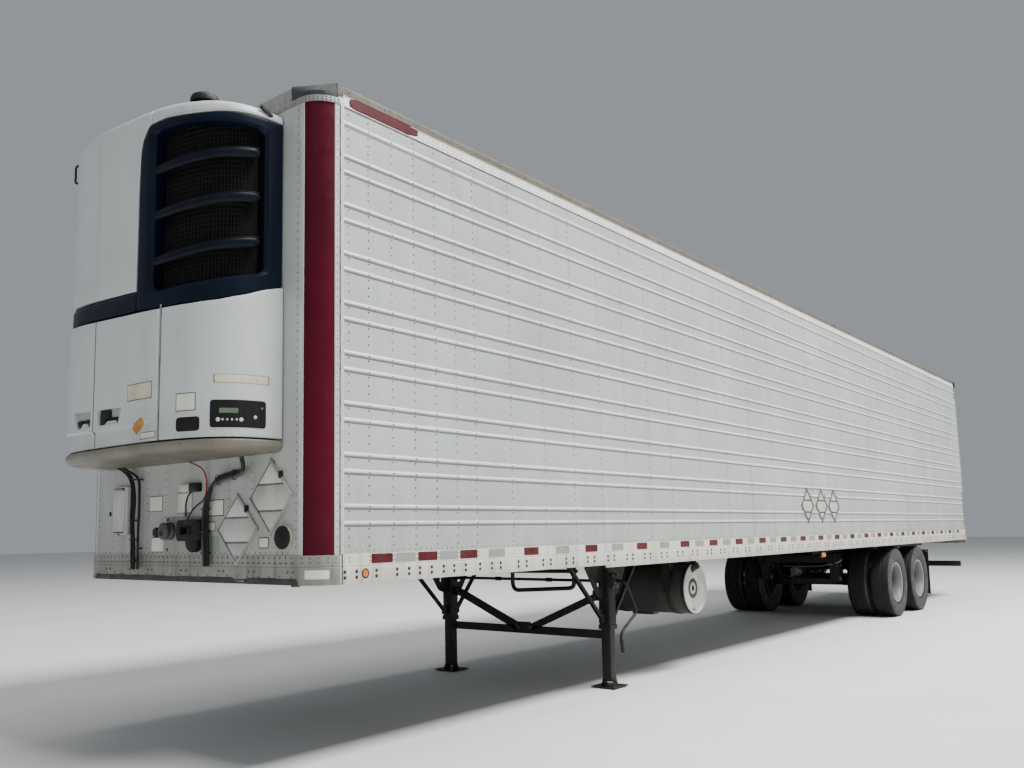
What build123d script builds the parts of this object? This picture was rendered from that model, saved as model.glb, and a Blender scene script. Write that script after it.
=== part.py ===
from build123d import *
import math
import os

os.makedirs("parts", exist_ok=True)

# A 53 ft refrigerated semi trailer, parked on its landing legs, with the
# cooling unit on its nose. Millimetres. X points to the nose, Y to the left
# side, Z up. The ground is z = 0. Places along the body are stations: the
# distance s behind the front face of the box.

# ---------------------------------------------------------------- body sizes
BODY_LENGTH = 16154.0      # front face to rear face, 53 ft
HALF_WIDTH = 1295.5        # outer face of the rails, 102 in over both
SHEET_Y = 1289.0           # outer face of the side sheets
RIB_PROUD = 8.0
LINER_Y = 1231.0           # inner face of the side walls
BODY_TOP = 4114.0
TOP_RAIL_LOW = 3980.0
RAIL_TOP = 1256.0
RAIL_LOW = 1083.0
RAIL_LIP_LOW = 1063.0      # the rail is deeper behind the coupler
RAIL_LIP_START = 3070.0
CORNER_Y = 1119.0          # centre of the rounded front corners
CORNER_S = 176.5
FRONT_SHEET_S = 6.5
FRONT_WALL_T = 100.0
FLOOR_TOP = 1345.0
FLOOR_LOW = 1212.0
BEAM_LOW = 1095.0
REAR_FRAME_S = 16050.0
REAR_PROUD = 70.0          # dock bumpers and hinges behind the rear face

# ------------------------------------------------------------- cooling unit
UNIT_DEPTH = 530.0
UNIT_HALF = 985.0
UNIT_SKIN = 25.0
UNIT_PAN_LOW = 1858.0
UNIT_TOP = 4090.0
UNIT_SEAM_Y = [-250.0, 465.0]    # seams beside the centre door
UNIT_HINGE_D = 34.0

# ------------------------------------------------------------------- running
AXLE_S = [11390.0, 12635.0]     # stations of the two axles
AXLE_Z = 508.0
TYRE_R = 508.0
TYRE_W = 280.0
DUAL_Y = [816.0, 1152.0]        # inner and outer wheel centre planes
RIM_R = 286.0
LEG_S = 3660.0
LEG_Y = 923.0
KINGPIN_S = 914.0

X_FRONT = (BODY_LENGTH + REAR_PROUD - UNIT_DEPTH) / 2.0


def X(s):
    return X_FRONT - s


def block(s0, s1, y0, y1, z0, z1):
    return Pos((X(s0) + X(s1)) / 2, (y0 + y1) / 2, (z0 + z1) / 2) * Box(
        abs(s1 - s0), abs(y1 - y0), abs(z1 - z0))


def along_x(pts, s0, s1):
    face = Face(Wire.make_polygon([Vector(X(s1), y, z) for y, z in pts]))
    return Solid.extrude(face, Vector(s1 - s0, 0, 0))


def along_y(pts, y0, y1):
    face = Face(Wire.make_polygon([Vector(X(s), y0, z) for s, z in pts]))
    return Solid.extrude(face, Vector(0, y1 - y0, 0))


def flip(shape):
    return mirror(shape, about=Plane.XZ)


def cyl_z(s, y, z0, z1, r):
    return Pos(X(s), y, (z0 + z1) / 2) * Cylinder(r, z1 - z0)


def cyl_y(s, z, y0, y1, r):
    return Pos(X(s), (y0 + y1) / 2, z) * Rot(90, 0, 0) * Cylinder(r, abs(y1 - y0))


def cyl_x(y, z, s0, s1, r):
    return Pos((X(s0) + X(s1)) / 2, y, z) * Rot(0, 90, 0) * Cylinder(r, abs(s1 - s0))


def bar(p0, p1, w, h, up=(0, 0, 1)):
    # straight bar of section w by h between two points given as (s, y, z)
    a = Vector(X(p0[0]), p0[1], p0[2])
    b = Vector(X(p1[0]), p1[1], p1[2])
    d = b - a
    side = d.cross(Vector(*up)).normalized()
    top = side.cross(d).normalized()
    corners = [a + side * (w / 2) * i + top * (h / 2) * j
               for i, j in ((1, 1), (-1, 1), (-1, -1), (1, -1))]
    return Solid.extrude(Face(Wire.make_polygon(corners)), d)


def tube_path(points, radii, r):
    path = FilletPolyline(*[Vector(X(s), y, z) for s, y, z in points], radius=radii)
    start = Plane(path @ 0, z_dir=path % 0)
    return sweep(start * Circle(r), path=path)


def save(name, shape):
    export_step(shape, "parts/" + name + ".step")


def group(*solids):
    return Compound(children=[s if isinstance(s, Solid) else Solid(s.solids()[0].wrapped)
                              for s in solids])


def rounded_plan(r_out, y_half, s_front, s_rear, z0, z1):
    # strip across the nose with rounded front corners, full inside
    body = block(s_front, CORNER_S, -CORNER_Y, CORNER_Y, z0, z1)
    sides = block(CORNER_S - 0.01, s_rear, -y_half, y_half, z0, z1) if s_rear > CORNER_S else None
    out = body
    if sides is not None:
        out = out + sides
    for side in (1, -1):
        disc = cyl_z(CORNER_S, side * CORNER_Y, z0, z1, r_out)
        quarter = disc & block(CORNER_S - r_out - 5, CORNER_S, side * CORNER_Y,
                               side * (CORNER_Y + r_out + 5), z0 - 1, z1 + 1)
        out = out + quarter
    return out


# =============================================================== side walls
# ribs: (height of the lower edge). Pairs every 12 in and one near the top.
RIB_PITCH = 304.8
RIB_FIRST = 1419.0
RIB_GAP = 100.0
RIB_H = 30.0
rib_heights = []
for k in range(8):
    rib_heights += [RIB_FIRST + RIB_PITCH * k, RIB_FIRST + RIB_PITCH * k + RIB_GAP]
rib_heights.append(3865.0)

wall_pts = [(LINER_Y, 1208.0), (1283.0, 1208.0), (1283.0, RAIL_TOP), (SHEET_Y, RAIL_TOP)]
for z in rib_heights:
    wall_pts += [(SHEET_Y, z), (SHEET_Y + RIB_PROUD, z + 6), (SHEET_Y + RIB_PROUD, z + RIB_H - 10),
                 (SHEET_Y, z + RIB_H)]
wall_pts += [(SHEET_Y, TOP_RAIL_LOW), (LINER_Y, TOP_RAIL_LOW)]
left_wall = along_x(wall_pts, CORNER_S, REAR_FRAME_S)
save("left_side_wall", left_wall)
save("right_side_wall", flip(left_wall))

# =============================================================== front wall
EVAP_Y = 560.0             # half width of the opening for the evaporator
EVAP_Z = (2950.0, 3880.0)
front_wall = block(FRONT_SHEET_S, FRONT_SHEET_S + FRONT_WALL_T, -CORNER_Y, CORNER_Y, 1254.0, TOP_RAIL_LOW)
front_wall = front_wall - block(-20, 200, -EVAP_Y - 3, EVAP_Y + 3, EVAP_Z[0] - 3, EVAP_Z[1] + 3)
save("front_wall", front_wall)

# insulated box that reaches through the front wall and hangs inside the nose
evap = along_y([(7.0, EVAP_Z[0]), (420.0, EVAP_Z[0]), (470.0, EVAP_Z[0] + 120),
                (470.0, EVAP_Z[1] - 60), (430.0, EVAP_Z[1]), (7.0, EVAP_Z[1])], -EVAP_Y, EVAP_Y)
save("evaporator_housing", evap)


# rounded corner posts: quarter rings from rail to rail
def corner_post(side):
    ring = cyl_z(CORNER_S, side * CORNER_Y, 1254.0, TOP_RAIL_LOW, 170.0) - cyl_z(
        CORNER_S, side * CORNER_Y, 1200.0, 4000.0, 112.0)
    return ring & block(0, CORNER_S, side * CORNER_Y, side * 1300.0, 1254.0, TOP_RAIL_LOW)


save("front_corner_posts", group(corner_post(1), corner_post(-1)))

# ================================================================ top rails
top_rail_pts = [(LINER_Y, TOP_RAIL_LOW), (HALF_WIDTH, TOP_RAIL_LOW), (HALF_WIDTH, BODY_TOP - 14),
                (HALF_WIDTH - 14, BODY_TOP), (LINER_Y, BODY_TOP)]
left_top_rail = along_x(top_rail_pts, CORNER_S, REAR_FRAME_S)
save("side_top_rails", group(left_top_rail, flip(left_top_rail)))

front_top = rounded_plan(176.5, HALF_WIDTH, 0.0, CORNER_S, TOP_RAIL_LOW, BODY_TOP)
front_top = front_top - block(66, 400, -CORNER_Y, CORNER_Y, 3900, 4200)
save("front_top_rail", front_top)

roof = block(CORNER_S, REAR_FRAME_S, -LINER_Y, LINER_Y, 4045.0, 4108.0) + block(
    66.0, CORNER_S + 1, -CORNER_Y, CORNER_Y, 4045.0, 4108.0)
save("roof_panel", roof)

# ============================================================= bottom rails
rail_pts = [(HALF_WIDTH, RAIL_LOW), (HALF_WIDTH, RAIL_TOP), (1283.0, RAIL_TOP), (1283.0, 1208.0),
            (LINER_Y, 1208.0), (LINER_Y, 1196.0), (1283.0, 1196.0), (1283.0, 1093.0),
            (1243.0, 1093.0), (1243.0, RAIL_LOW)]
left_rail = along_x(rail_pts, CORNER_S, REAR_FRAME_S)
lip = block(RAIL_LIP_START, REAR_FRAME_S, 1283.0, HALF_WIDTH, RAIL_LIP_LOW, RAIL_LOW + 1)
left_rail = left_rail + lip
save("side_bottom_rails", group(left_rail, flip(left_rail)))

front_rail = rounded_plan(176.5, HALF_WIDTH, 0.0, CORNER_S, RAIL_LOW, 1254.0) - rounded_plan(
    164.0, 1283.0, 12.5, 200.0, RAIL_LOW - 5, 1260.0)
save("front_bottom_rail", front_rail)

# ==================================================================== floor
floor = rounded_plan(110.0, LINER_Y - 2, FRONT_SHEET_S + FRONT_WALL_T, REAR_FRAME_S, FLOOR_LOW, FLOOR_TOP)
save("floor_deck", floor)

# I beams across the body every 12 in under one thin sheet
BEAM_FIRST = 1830.0
BEAM_PITCH = 304.8
BEAM_COUNT = 46
BEAM_FLANGE = 29.0
comb = [(1700.0, 1210.0), (1700.0, 1207.0)]
for i in range(BEAM_COUNT):
    c = BEAM_FIRST + BEAM_PITCH * i
    comb += [(c - 3, 1207.0), (c - 3, 1101.0), (c - BEAM_FLANGE, 1101.0), (c - BEAM_FLANGE, BEAM_LOW),
             (c + BEAM_FLANGE, BEAM_LOW), (c + BEAM_FLANGE, 1101.0), (c + 3, 1101.0), (c + 3, 1207.0)]
comb += [(16030.0, 1207.0), (16030.0, 1210.0)]
beams = along_y(comb, -1229.0, 1229.0)
save("floor_crossmembers", beams)

# ================================================================== coupler
plate = rounded_plan(160.0, 1228.0, CORNER_S - 160.0, 1680.0, 1083.0, 1093.0)
# fore-and-aft and cross channels on the plate: (s0, s1, y0, y1)
COUPLER_CHANNELS = [
    (20, 1675, 470, 500), (20, 1675, -500, -470), (200, 1675, 1180, 1205), (200, 1675, -1205, -1180),
    (300, 330, -1205, 1205), (760, 790, -1205, 1205), (1040, 1070, -1205, 1205), (1640, 1675, -1205, 1205),
]
coupler = plate
for s0, s1, y0, y1 in COUPLER_CHANNELS:
    coupler = coupler + block(s0, s1, y0, y1, 1092.0, 1208.0)
save("coupler_plate", coupler)

# kingpin: (radius, top, bottom)
KINGPIN = [(90.0, 1083.0, 1077.0), (35.7, 1077.0, 1048.0), (25.4, 1048.0, 1016.0), (35.7, 1016.0, 998.5)]
pin = None
for r, z1, z0 in KINGPIN:
    c = cyl_z(KINGPIN_S, 0, z0, z1, r)
    pin = c if pin is None else pin + c
save("kingpin", pin)

# ============================================================= landing gear
LEG_OUT = 58.0
LEG_IN = 46.0


def leg(side):
    y = side * LEG_Y
    out = block(LEG_S - LEG_OUT, LEG_S + LEG_OUT, y - LEG_OUT, y + LEG_OUT, 500, 1083)
    out = out + block(LEG_S - LEG_IN, LEG_S + LEG_IN, y - LEG_IN, y + LEG_IN, 40, 520)
    out = out + block(LEG_S - 62, LEG_S + 62, y - 62, y + 62, 500, 540)
    shoe = block(LEG_S - 120, LEG_S + 120, y - 120, y + 120, 0, 12)
    cushion = block(LEG_S - 75, LEG_S + 75, y - 60, y + 60, 12, 48)
    out = out + shoe + cushion
    # gear box at the outer top of the leg
    out = out + block(LEG_S - 50, LEG_S + 55, y + side * 50, y + side * 95, 850, 985)
    return out


save("landing_legs", group(leg(1), leg(-1)))

# bracing: one welded frame. Rows: (from (s, y, z), to (s, y, z), width, depth)
INNER = LEG_Y - LEG_OUT
brace_rows = []
for side in (1, -1):
    y = side * LEG_Y
    brace_rows += [
        ((LEG_S, side * 40, 452), (LEG_S, side * (INNER - 40), 784), 8, 66),
        ((3062, y, 1078), (LEG_S - LEG_OUT - 26, y, 590), 34, 30),
        ((4170, y, 1078), (LEG_S + LEG_OUT + 26, y, 590), 34, 30),
    ]
cross = block(LEG_S - 4, LEG_S + 4, -INNER + 1, INNER - 1, 412, 486) + block(
    LEG_S - 4, LEG_S + 55, -INNER + 1, INNER - 1, 412, 420)
cross = cross + block(LEG_S - 6, LEG_S + 6, -110, 110, 415, 520)
for side in (1, -1):
    cross = cross + block(LEG_S - 8, LEG_S + 8, side * (INNER - 1), side * (INNER - 90), 740, 830)
for p0, p1, w, h in brace_rows[0::3]:
    cross = cross + bar(p0, p1, w, h)
pieces = [cross]
for side in (1, -1):
    y = side * LEG_Y
    k = 0 if side == 1 else 3
    fore, aft = brace_rows[k + 1], brace_rows[k + 2]
    # top angle under the beams with a gusset on each side of the leg
    f = block(2985, LEG_S - LEG_OUT - 1, y - 40, y + 40, 1075, 1083) + bar(*fore)
    g = along_y([(3290, 1076), (LEG_S - LEG_OUT - 1, 1076), (LEG_S - LEG_OUT - 1, 760), (3480, 800)], y - 5, y + 5)
    f = f + (g - cyl_y(3530, 900, y - 20, y + 20, 32))
    f = f + block(LEG_S - LEG_OUT - 60, LEG_S - LEG_OUT - 1, y - 17, y + 17, 560, 640)
    a = block(LEG_S + LEG_OUT + 1, 4250, y - 40, y + 40, 1075, 1083) + bar(*aft)
    g = along_y([(4020, 1076), (LEG_S + LEG_OUT + 1, 1076), (LEG_S + LEG_OUT + 1, 760), (3840, 800)], y - 5, y + 5)
    a = a + (g - cyl_y(3790, 900, y - 20, y + 20, 32))
    a = a + block(LEG_S + LEG_OUT + 1, LEG_S + LEG_OUT + 60, y - 17, y + 17, 560, 640)
    pieces += [f, a]
save("landing_leg_bracing", group(*pieces))

# cross shaft between the gear boxes and the crank that hangs on the left
shaft = cyl_y(LEG_S, 917, -(INNER - 1), INNER - 1, 14)
crank = tube_path([(LEG_S, LEG_Y + 96, 917), (LEG_S, LEG_Y + 190, 917), (LEG_S + 60, LEG_Y + 200, 800),
                   (LEG_S + 170, LEG_Y + 205, 640), (LEG_S - 130, LEG_Y + 205, 480),
                   (LEG_S - 100, LEG_Y + 205, 320)], [30, 60, 60, 60], 11)
save("landing_gear_crank", group(shaft, crank))

# ================================================================ fuel tank
TANK_S = 4880.0
TANK_Z = 790.0
TANK_R = 245.0
TANK_Y = (230.0, 1180.0)
tank = cyl_y(TANK_S, TANK_Z, TANK_Y[0], TANK_Y[1], TANK_R)
tank = tank - cyl_y(TANK_S, TANK_Z, TANK_Y[1] - 22, TANK_Y[1] + 5, TANK_R - 22)
boss = cyl_y(TANK_S, TANK_Z, TANK_Y[1] - 24, TANK_Y[1] - 6, 62)
neck = Pos(X(TANK_S - 20), TANK_Y[1] - 10, TANK_Z + 205) * Rot(-50, 0, 0) * Cylinder(44, 90)
drain = block(TANK_S - 60, TANK_S + 60, 500, 740, TANK_Z - TANK_R - 22, TANK_Z - TANK_R + 25)
tank = tank + boss + neck + drain
save("fuel_tank", tank)

# two straps round the tank and their hangers from the beams
straps = []
for y in (420.0, 1010.0):
    ring = cyl_y(TANK_S, TANK_Z, y - 30, y + 30, TANK_R + 7) - cyl_y(TANK_S, TANK_Z, y - 40, y + 40, TANK_R + 1)
    post = block(TANK_S - 300, TANK_S + 300, y - 30, y + 30, 1062, 1090)
    arm = block(TANK_S - 300, TANK_S - 240, y - 30, y + 30, 760, 1070) + block(
        TANK_S + 240, TANK_S + 300, y - 30, y + 30, 760, 1070)
    arm = arm - cyl_y(TANK_S, TANK_Z, y - 40, y + 40, TANK_R + 1)
    straps.append(ring + post + arm)
save("fuel_tank_brackets", group(*straps))

# ============================================================ slider rails
SLIDE_Y = 537.0
RAIL_SECTION = [(-62, 1090), (-62, 1081), (-8, 1081), (-8, 972), (-62, 972), (-62, 962), (8, 962), (8, 1081),
                (62, 1081), (62, 1090)]
rail = along_x([(SLIDE_Y + y, z) for y, z in RAIL_SECTION], 9900.0, 15900.0)
save("slider_rails", group(rail, flip(rail)))

# ============================================================== rear frame
POST_Y = 1243.0
sill = block(REAR_FRAME_S, BODY_LENGTH, -HALF_WIDTH, HALF_WIDTH, 1000.0, 1340.0)
for side in (1, -1):
    for y, w in ((960.0, 240.0), (1190.0, 150.0)):
        sill = sill + block(BODY_LENGTH, BODY_LENGTH + REAR_PROUD, side * y - w / 2 if side > 0 else side * y - w / 2,
                            side * y + w / 2, 1012.0, 1130.0)
save("rear_sill", sill)

HINGE_S = 16200.0
HINGE_Y = 1270.0
HINGE_Z = [1560.0, 2140.0, 2720.0, 3300.0, 3800.0]


def rear_post(side):
    post = block(REAR_FRAME_S, BODY_LENGTH, side * POST_Y, side * HALF_WIDTH, 1342.0, 3988.0)
    for z in HINGE_Z:
        for dz in (-52.0, 52.0):
            post = post + block(BODY_LENGTH - 1, HINGE_S + 16, side * 1254.0, side * 1288.0, z + dz - 22, z + dz + 22)
        post = post + cyl_z(HINGE_S, side * HINGE_Y, z - 60, z + 60, 7.5)
    return post


header = block(REAR_FRAME_S, BODY_LENGTH, -HALF_WIDTH, HALF_WIDTH, 3990.0, BODY_TOP - 14) + along_x(
    [(-HALF_WIDTH, BODY_TOP - 15), (HALF_WIDTH, BODY_TOP - 15), (HALF_WIDTH - 14, BODY_TOP), (-HALF_WIDTH + 14, BODY_TOP)],
    REAR_FRAME_S, BODY_LENGTH)
save("rear_frame", group(rear_post(1), rear_post(-1), header))

# rear doors: plug panels, hung on five straps each
DOOR_OUT_S = 16150.0
DOOR_T = 78.0
DOOR_Z = (1352.0, 3978.0)


def rear_door(side):
    door = block(DOOR_OUT_S - DOOR_T, DOOR_OUT_S, side * 4.0, side * 1235.0, DOOR_Z[0], DOOR_Z[1])
    for z in HINGE_Z:
        door = door + block(DOOR_OUT_S - 2, DOOR_OUT_S + 14, side * 1010.0, side * 1236.0, z - 26, z + 26)
        # cranked link: thin beside the door, full depth only near the pin
        link = block(DOOR_OUT_S + 9, HINGE_S - 33, side * 1210.0, side * HINGE_Y, z - 26, z + 26)
        link = link + block(DOOR_OUT_S + 9, HINGE_S, side * (HINGE_Y - 39.0), side * HINGE_Y, z - 26, z + 26)
        link = link + cyl_z(HINGE_S, side * HINGE_Y, z - 26, z + 26, 16)
        door = door + (link - cyl_z(HINGE_S, side * HINGE_Y, z - 40, z + 40, 8.5))
    return door


save("rear_left_door", rear_door(1))
save("rear_right_door", rear_door(-1))

# lock rods: two upright bars a door with feet, guides and a flat handle
ROD_S = 16173.0
ROD_Y = [330.0, 900.0]


def lock_rods(side):
    out = []
    for y in ROD_Y:
        c = side * y
        rod = cyl_z(ROD_S, c, 1296.0, 4036.0, 13)
        for z in (1372.0, 2000.0, 3250.0, 3955.0):
            rod = rod + block(DOOR_OUT_S, ROD_S + 8, c - 32, c + 32, z - 20, z + 20)
        for z in (1296.0, 4002.0):
            rod = rod + block(ROD_S - 12, ROD_S + 13, c - 24, c + 24, z, z + 34)
        rod = rod + block(ROD_S + 1, ROD_S + 11, min(c, c - side * 430), max(c, c - side * 430), 1610.0, 1650.0) \
            if y > 500 else rod + block(ROD_S + 1, ROD_S + 11, c - 150, c + 150, 1760.0, 1800.0)
        out.append(rod)
    return out


save("left_lock_rods", group(*lock_rods(1)))
save("right_lock_rods", group(*lock_rods(-1)))

# smooth strip over the ribs at the rear of each side
fairing = block(15600.0, 16046.0, 1297.0, 1300.0, 1950.0, 3760.0)
fairing = fairing + block(15600.0, 15640.0, 1289.5, 1298.0, 1950.0, 3760.0)
fairing_cut = fairing - along_x(wall_pts, 15000.0, 16200.0)
save("rear_side_fairings", group(fairing_cut.solids().sort_by(SortBy.VOLUME)[-1],
                                 flip(fairing_cut.solids().sort_by(SortBy.VOLUME)[-1])))

# underride guard: one bar across on two posts
guard = block(16000.0, 16100.0, -1190.0, 1190.0, 560.0, 660.0)
for side in (1, -1):
    y = side * 360.0
    guard = guard + block(16010.0, 16090.0, y - 45, y + 45, 650.0, 998.0)
    guard = guard + bar((15700, y, 1075), (16020, y, 700), 50, 40)
    guard = guard + block(15640.0, 15780.0, y - 45, y + 45, 1062.0, 1094.0)
save("underride_guard", guard)

# ===================================================== things on the front
# U shaped tube that hangs under the floor ahead of the legs
hanger = tube_path([(3330, 128, 1094), (3330, 128, 835), (3330, 800, 872), (3330, 800, 1094)], [45, 45], 14)
save("hose_hanger", hanger)

# plate with the air couplings and the electric socket
box = block(-3.0, FRONT_SHEET_S, -233.0, 188.0, 1262.0, 1507.0)
box = box + block(-60.0, 0.0, -120.0, 120.0, 1330.0, 1490.0)
for y in (-175.0, 20.0):
    box = box + cyl_x(y, 1400.0, -85.0, 0.0, 40)
box = box + cyl_x(-300.0 + 20, 1400.0, -70.0, FRONT_SHEET_S, 30)
box = box + block(-20.0, FRONT_SHEET_S, -290.0, -220.0, 1380.0, 1420.0)
save("connector_box", box)

# flat document box and a round vent cap
doc = block(-30.0, FRONT_SHEET_S, -876.0, -690.0, 1394.0, 1734.0)
vent = cyl_x(1014.0, 1358.0, -31.0, FRONT_SHEET_S, 70)
save("front_wall_fittings", group(doc, vent))

# two hose bundles from the unit's pan down the front wall, clipped to it
bundle_a = tube_path([(-110, -660, 1830), (-75, -622, 1780), (-36, -588, 1690), (-32, -576, 1480), (-32, -572, 1300),
                      (-30, -566, 1160)], [60, 120, 700, 900], 22)
bundle_b = tube_path([(-80, 694, 1834), (-64, 688, 1778), (-40, 630, 1758), (-34, 470, 1738), (-34, 345, 1712),
                      (-34, 285, 1630), (-34, 256, 1510), (-34, 262, 1360), (-32, 268, 1180)],
                     [30, 40, 300, 80, 100, 300, 600], 22)
save("unit_conduits", group(bundle_a, bundle_b))

# ============================================================ cooling unit
# half outline of the unit seen from above, as arcs. Rows: depth in front of
# the wall at the middle, depth and y where the front ends, depth and y of the
# middle of the corner, half width, depth where the flat side starts.
LOWER_PLAN = (530.0, 450.0, 730.0, 345.0, 884.0, 985.0, 120.0)
UPPER_PLAN = (512.0, 432.0, 715.0, 328.0, 868.0, 968.0, 100.0)


def unit_plan(plan, inset, z0, z1):
    d, dx, yx, mx, my, w, flat = plan
    d, dx, yx, w = d - inset, dx - inset, yx - inset * 0.6, w - inset
    mx, my = mx - inset * 0.72, my - inset * 0.72
    p = lambda depth, y: Vector(X(-depth), y, z0)
    edges = [
        Edge.make_line(p(0, -w), p(flat, -w)),
        Edge.make_three_point_arc(p(flat, -w), p(mx, -my), p(dx, -yx)),
        Edge.make_three_point_arc(p(dx, -yx), p(d, 0), p(dx, yx)),
        Edge.make_three_point_arc(p(dx, yx), p(mx, my), p(flat, w)),
        Edge.make_line(p(flat, w), p(0, w)),
        Edge.make_line(p(0, w), p(0, -w)),
    ]
    return Solid.extrude(Face(Wire(edges)), Vector(0, 0, z1 - z0))


def slope_cut(z_wall, slope, above):
    # half space above or below the plane z = z_wall - slope * depth
    far = 700.0
    z_far = z_wall - slope * far
    z_back = z_wall + slope * 100.0
    if above:
        pts = [(100.0, z_back), (-far, z_far), (-far, 5000.0), (100.0, 5000.0)]
    else:
        pts = [(100.0, z_back), (-far, z_far), (-far, 0.0), (100.0, 0.0)]
    return along_y(pts, -1400.0, 1400.0)


def y_slab(y0, y1, d0=28.0):
    return block(-700.0, -d0, y0, y1, 1500.0, 4300.0)


PAN_TOP = (1926.0, 0.0)
LOW_BOTTOM = (1936.0, 0.0)
LOW_TOP = (2852.0, 0.24)
BAND_BOTTOM = (2861.0, 0.24)
BAND_TOP = (2985.0, 0.20)

shell_low = unit_plan(LOWER_PLAN, 0.0, 1700.0, 3100.0) - unit_plan(LOWER_PLAN, UNIT_SKIN, 1690.0, 3110.0)
shell_low = shell_low & slope_cut(*LOW_BOTTOM, True)
shell_low = shell_low & slope_cut(*LOW_TOP, False)
left_door = shell_low & y_slab(-1000.0, UNIT_SEAM_Y[0] - 3.5, UNIT_HINGE_D)
centre_door = shell_low & y_slab(UNIT_SEAM_Y[0] + 3.5, UNIT_SEAM_Y[1] - 3.5)
right_panel = shell_low & y_slab(UNIT_SEAM_Y[1] + 3.5, 1000.0, 0.0)
CP_Y = (828.0, 990.0)
CP_Z = (1988.0, 2148.0)
CP_D = 128.0
cp_hole = block(-700.0, -CP_D, CP_Y[0], CP_Y[1], CP_Z[0], CP_Z[1])
control = unit_plan(LOWER_PLAN, 3.0, 1700.0, 3100.0) - unit_plan(LOWER_PLAN, 21.0, 1690.0, 3110.0)
control = control & block(-700.0, -CP_D - 1.5, CP_Y[0] + 1.5, CP_Y[1], CP_Z[0] + 1.5, CP_Z[1] - 1.5)
right_panel = right_panel - cp_hole
# hinge knuckles on the axes of the two doors
for z in (2080.0, 2400.0, 2720.0):
    left_door = left_door + cyl_z(-UNIT_HINGE_D, -UNIT_HALF, z - 35, z + 35, 8)
    centre_door = centre_door + cyl_z(-498.9, 462.0, z - 30, z + 30, 5)
save("unit_left_door", left_door)
save("unit_centre_door", centre_door)
save("unit_right_panel", right_panel)
save("unit_control_panel", control)

# round-lipped pan under the doors
# steps of its rounded lip: (inset, bottom, top)
PAN_STEPS = [(4.0, 1882.0, PAN_TOP[0]), (14.0, 1868.0, 1883.0), (32.0, UNIT_PAN_LOW, 1869.0)]
pan = None
for inset, z0, z1 in PAN_STEPS:
    step = unit_plan(LOWER_PLAN, inset, z0, z1)
    pan = step if pan is None else pan + step
save("unit_base_pan", pan)

# crowned hood over the upper half: side profile and front profile


def hood(inset):
    body = unit_plan(UPPER_PLAN, inset, 2700.0, 4200.0)
    # seen from the side: the front rolls back into the top
    zt = UNIT_TOP - inset
    d = UPPER_PLAN[0] - inset
    prof = [
        Edge.make_line(Vector(X(100), -1300, 2600), Vector(X(-d - 60), -1300, 2600)),
        Edge.make_line(Vector(X(-d - 60), -1300, 2600), Vector(X(-d - 6), -1300, 3890 - inset)),
        Edge.make_three_point_arc(Vector(X(-d - 6), -1300, 3890 - inset), Vector(X(-d + 40), -1300, zt - 62),
                                  Vector(X(-d + 165), -1300, zt - 9)),
        Edge.make_line(Vector(X(-d + 165), -1300, zt - 9), Vector(X(0), -1300, zt)),
        Edge.make_line(Vector(X(0), -1300, zt), Vector(X(100), -1300, zt)),
        Edge.make_line(Vector(X(100), -1300, zt), Vector(X(100), -1300, 2600)),
    ]
    side = Solid.extrude(Face(Wire(prof)), Vector(0, 2600, 0))
    # seen from the front: a crowned top, the shoulder over the grille lower
    w = UPPER_PLAN[5] - inset
    front = [
        Edge.make_line(Vector(X(100), -w - 5, 2600), Vector(X(100), w + 5, 2600)),
        Edge.make_line(Vector(X(100), w + 5, 2600), Vector(X(100), w + 5, 3800 - inset)),
        Edge.make_three_point_arc(Vector(X(100), w + 5, 3800 - inset), Vector(X(100), w - 48, 3922 - inset),
                                  Vector(X(100), w - 190, 3990 - inset)),
        Edge.make_three_point_arc(Vector(X(100), w - 190, 3990 - inset), Vector(X(100), 120, zt),
                                  Vector(X(100), -w + 150, 4052 - inset)),
        Edge.make_three_point_arc(Vector(X(100), -w + 150, 4052 - inset), Vector(X(100), -w + 40, 4008 - inset),
                                  Vector(X(100), -w - 5, 3900 - inset)),
        Edge.make_line(Vector(X(100), -w - 5, 3900 - inset), Vector(X(100), -w - 5, 2600)),
    ]
    across = Solid.extrude(Face(Wire(front)), Vector(700, 0, 0))
    return (body & side) & across


hood_out = hood(0.0)
hood_in = hood(UNIT_SKIN)
hood_shell = hood_out - hood_in
hood_shell = hood_shell & slope_cut(*BAND_BOTTOM, True)
FRAME_Y = 205.0
CAP_Z = 3905.0
upper_zone = y_slab(-1000.0, FRAME_Y - 2.5, 0.0) & slope_cut(BAND_TOP[0] + 4, BAND_TOP[1], True)
cap_zone = block(-700.0, 0.0, FRAME_Y + 2.5, 1000.0, CAP_Z + 4, 4300.0)
upper_panel = hood_shell & upper_zone
cap = hood_shell & cap_zone
save("unit_upper_panels", group(upper_panel, cap))

# dark frame round the grille with the band that runs under the white panel
GRILLE_Y = (345.0, 930.0)
GRILLE_Z = (2880.0, 3850.0)
band_zone = y_slab(-1000.0, FRAME_Y + 30, 0.0) & slope_cut(*BAND_TOP, False)
frame_zone = block(-700.0, 0.0, FRAME_Y + 2.5, 1000.0, 2700.0, CAP_Z)
band = hood_shell & band_zone
frame = hood_shell & frame_zone
window = block(-700.0, -60.0, GRILLE_Y[0], GRILLE_Y[1], GRILLE_Z[0], GRILLE_Z[1])
window = window.fillet(70.0, window.edges().filter_by(Axis.X))
grille_frame = (band + frame) - window
# three curved louvres across the window, each a slice of the inner shell
louvre_shell = unit_plan(UPPER_PLAN, 22.0, 2700.0, 4000.0) - unit_plan(UPPER_PLAN, 86.0, 2690.0, 4010.0)
LOUVRES = [3080.0, 3365.0, 3650.0]
for z in LOUVRES:
    slice_ = louvre_shell & block(-700.0, -60.0, GRILLE_Y[0] - 25, GRILLE_Y[1] + 15, z - 24, z + 10)
    grille_frame = grille_frame + slice_
save("unit_grille_frame", grille_frame)

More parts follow.
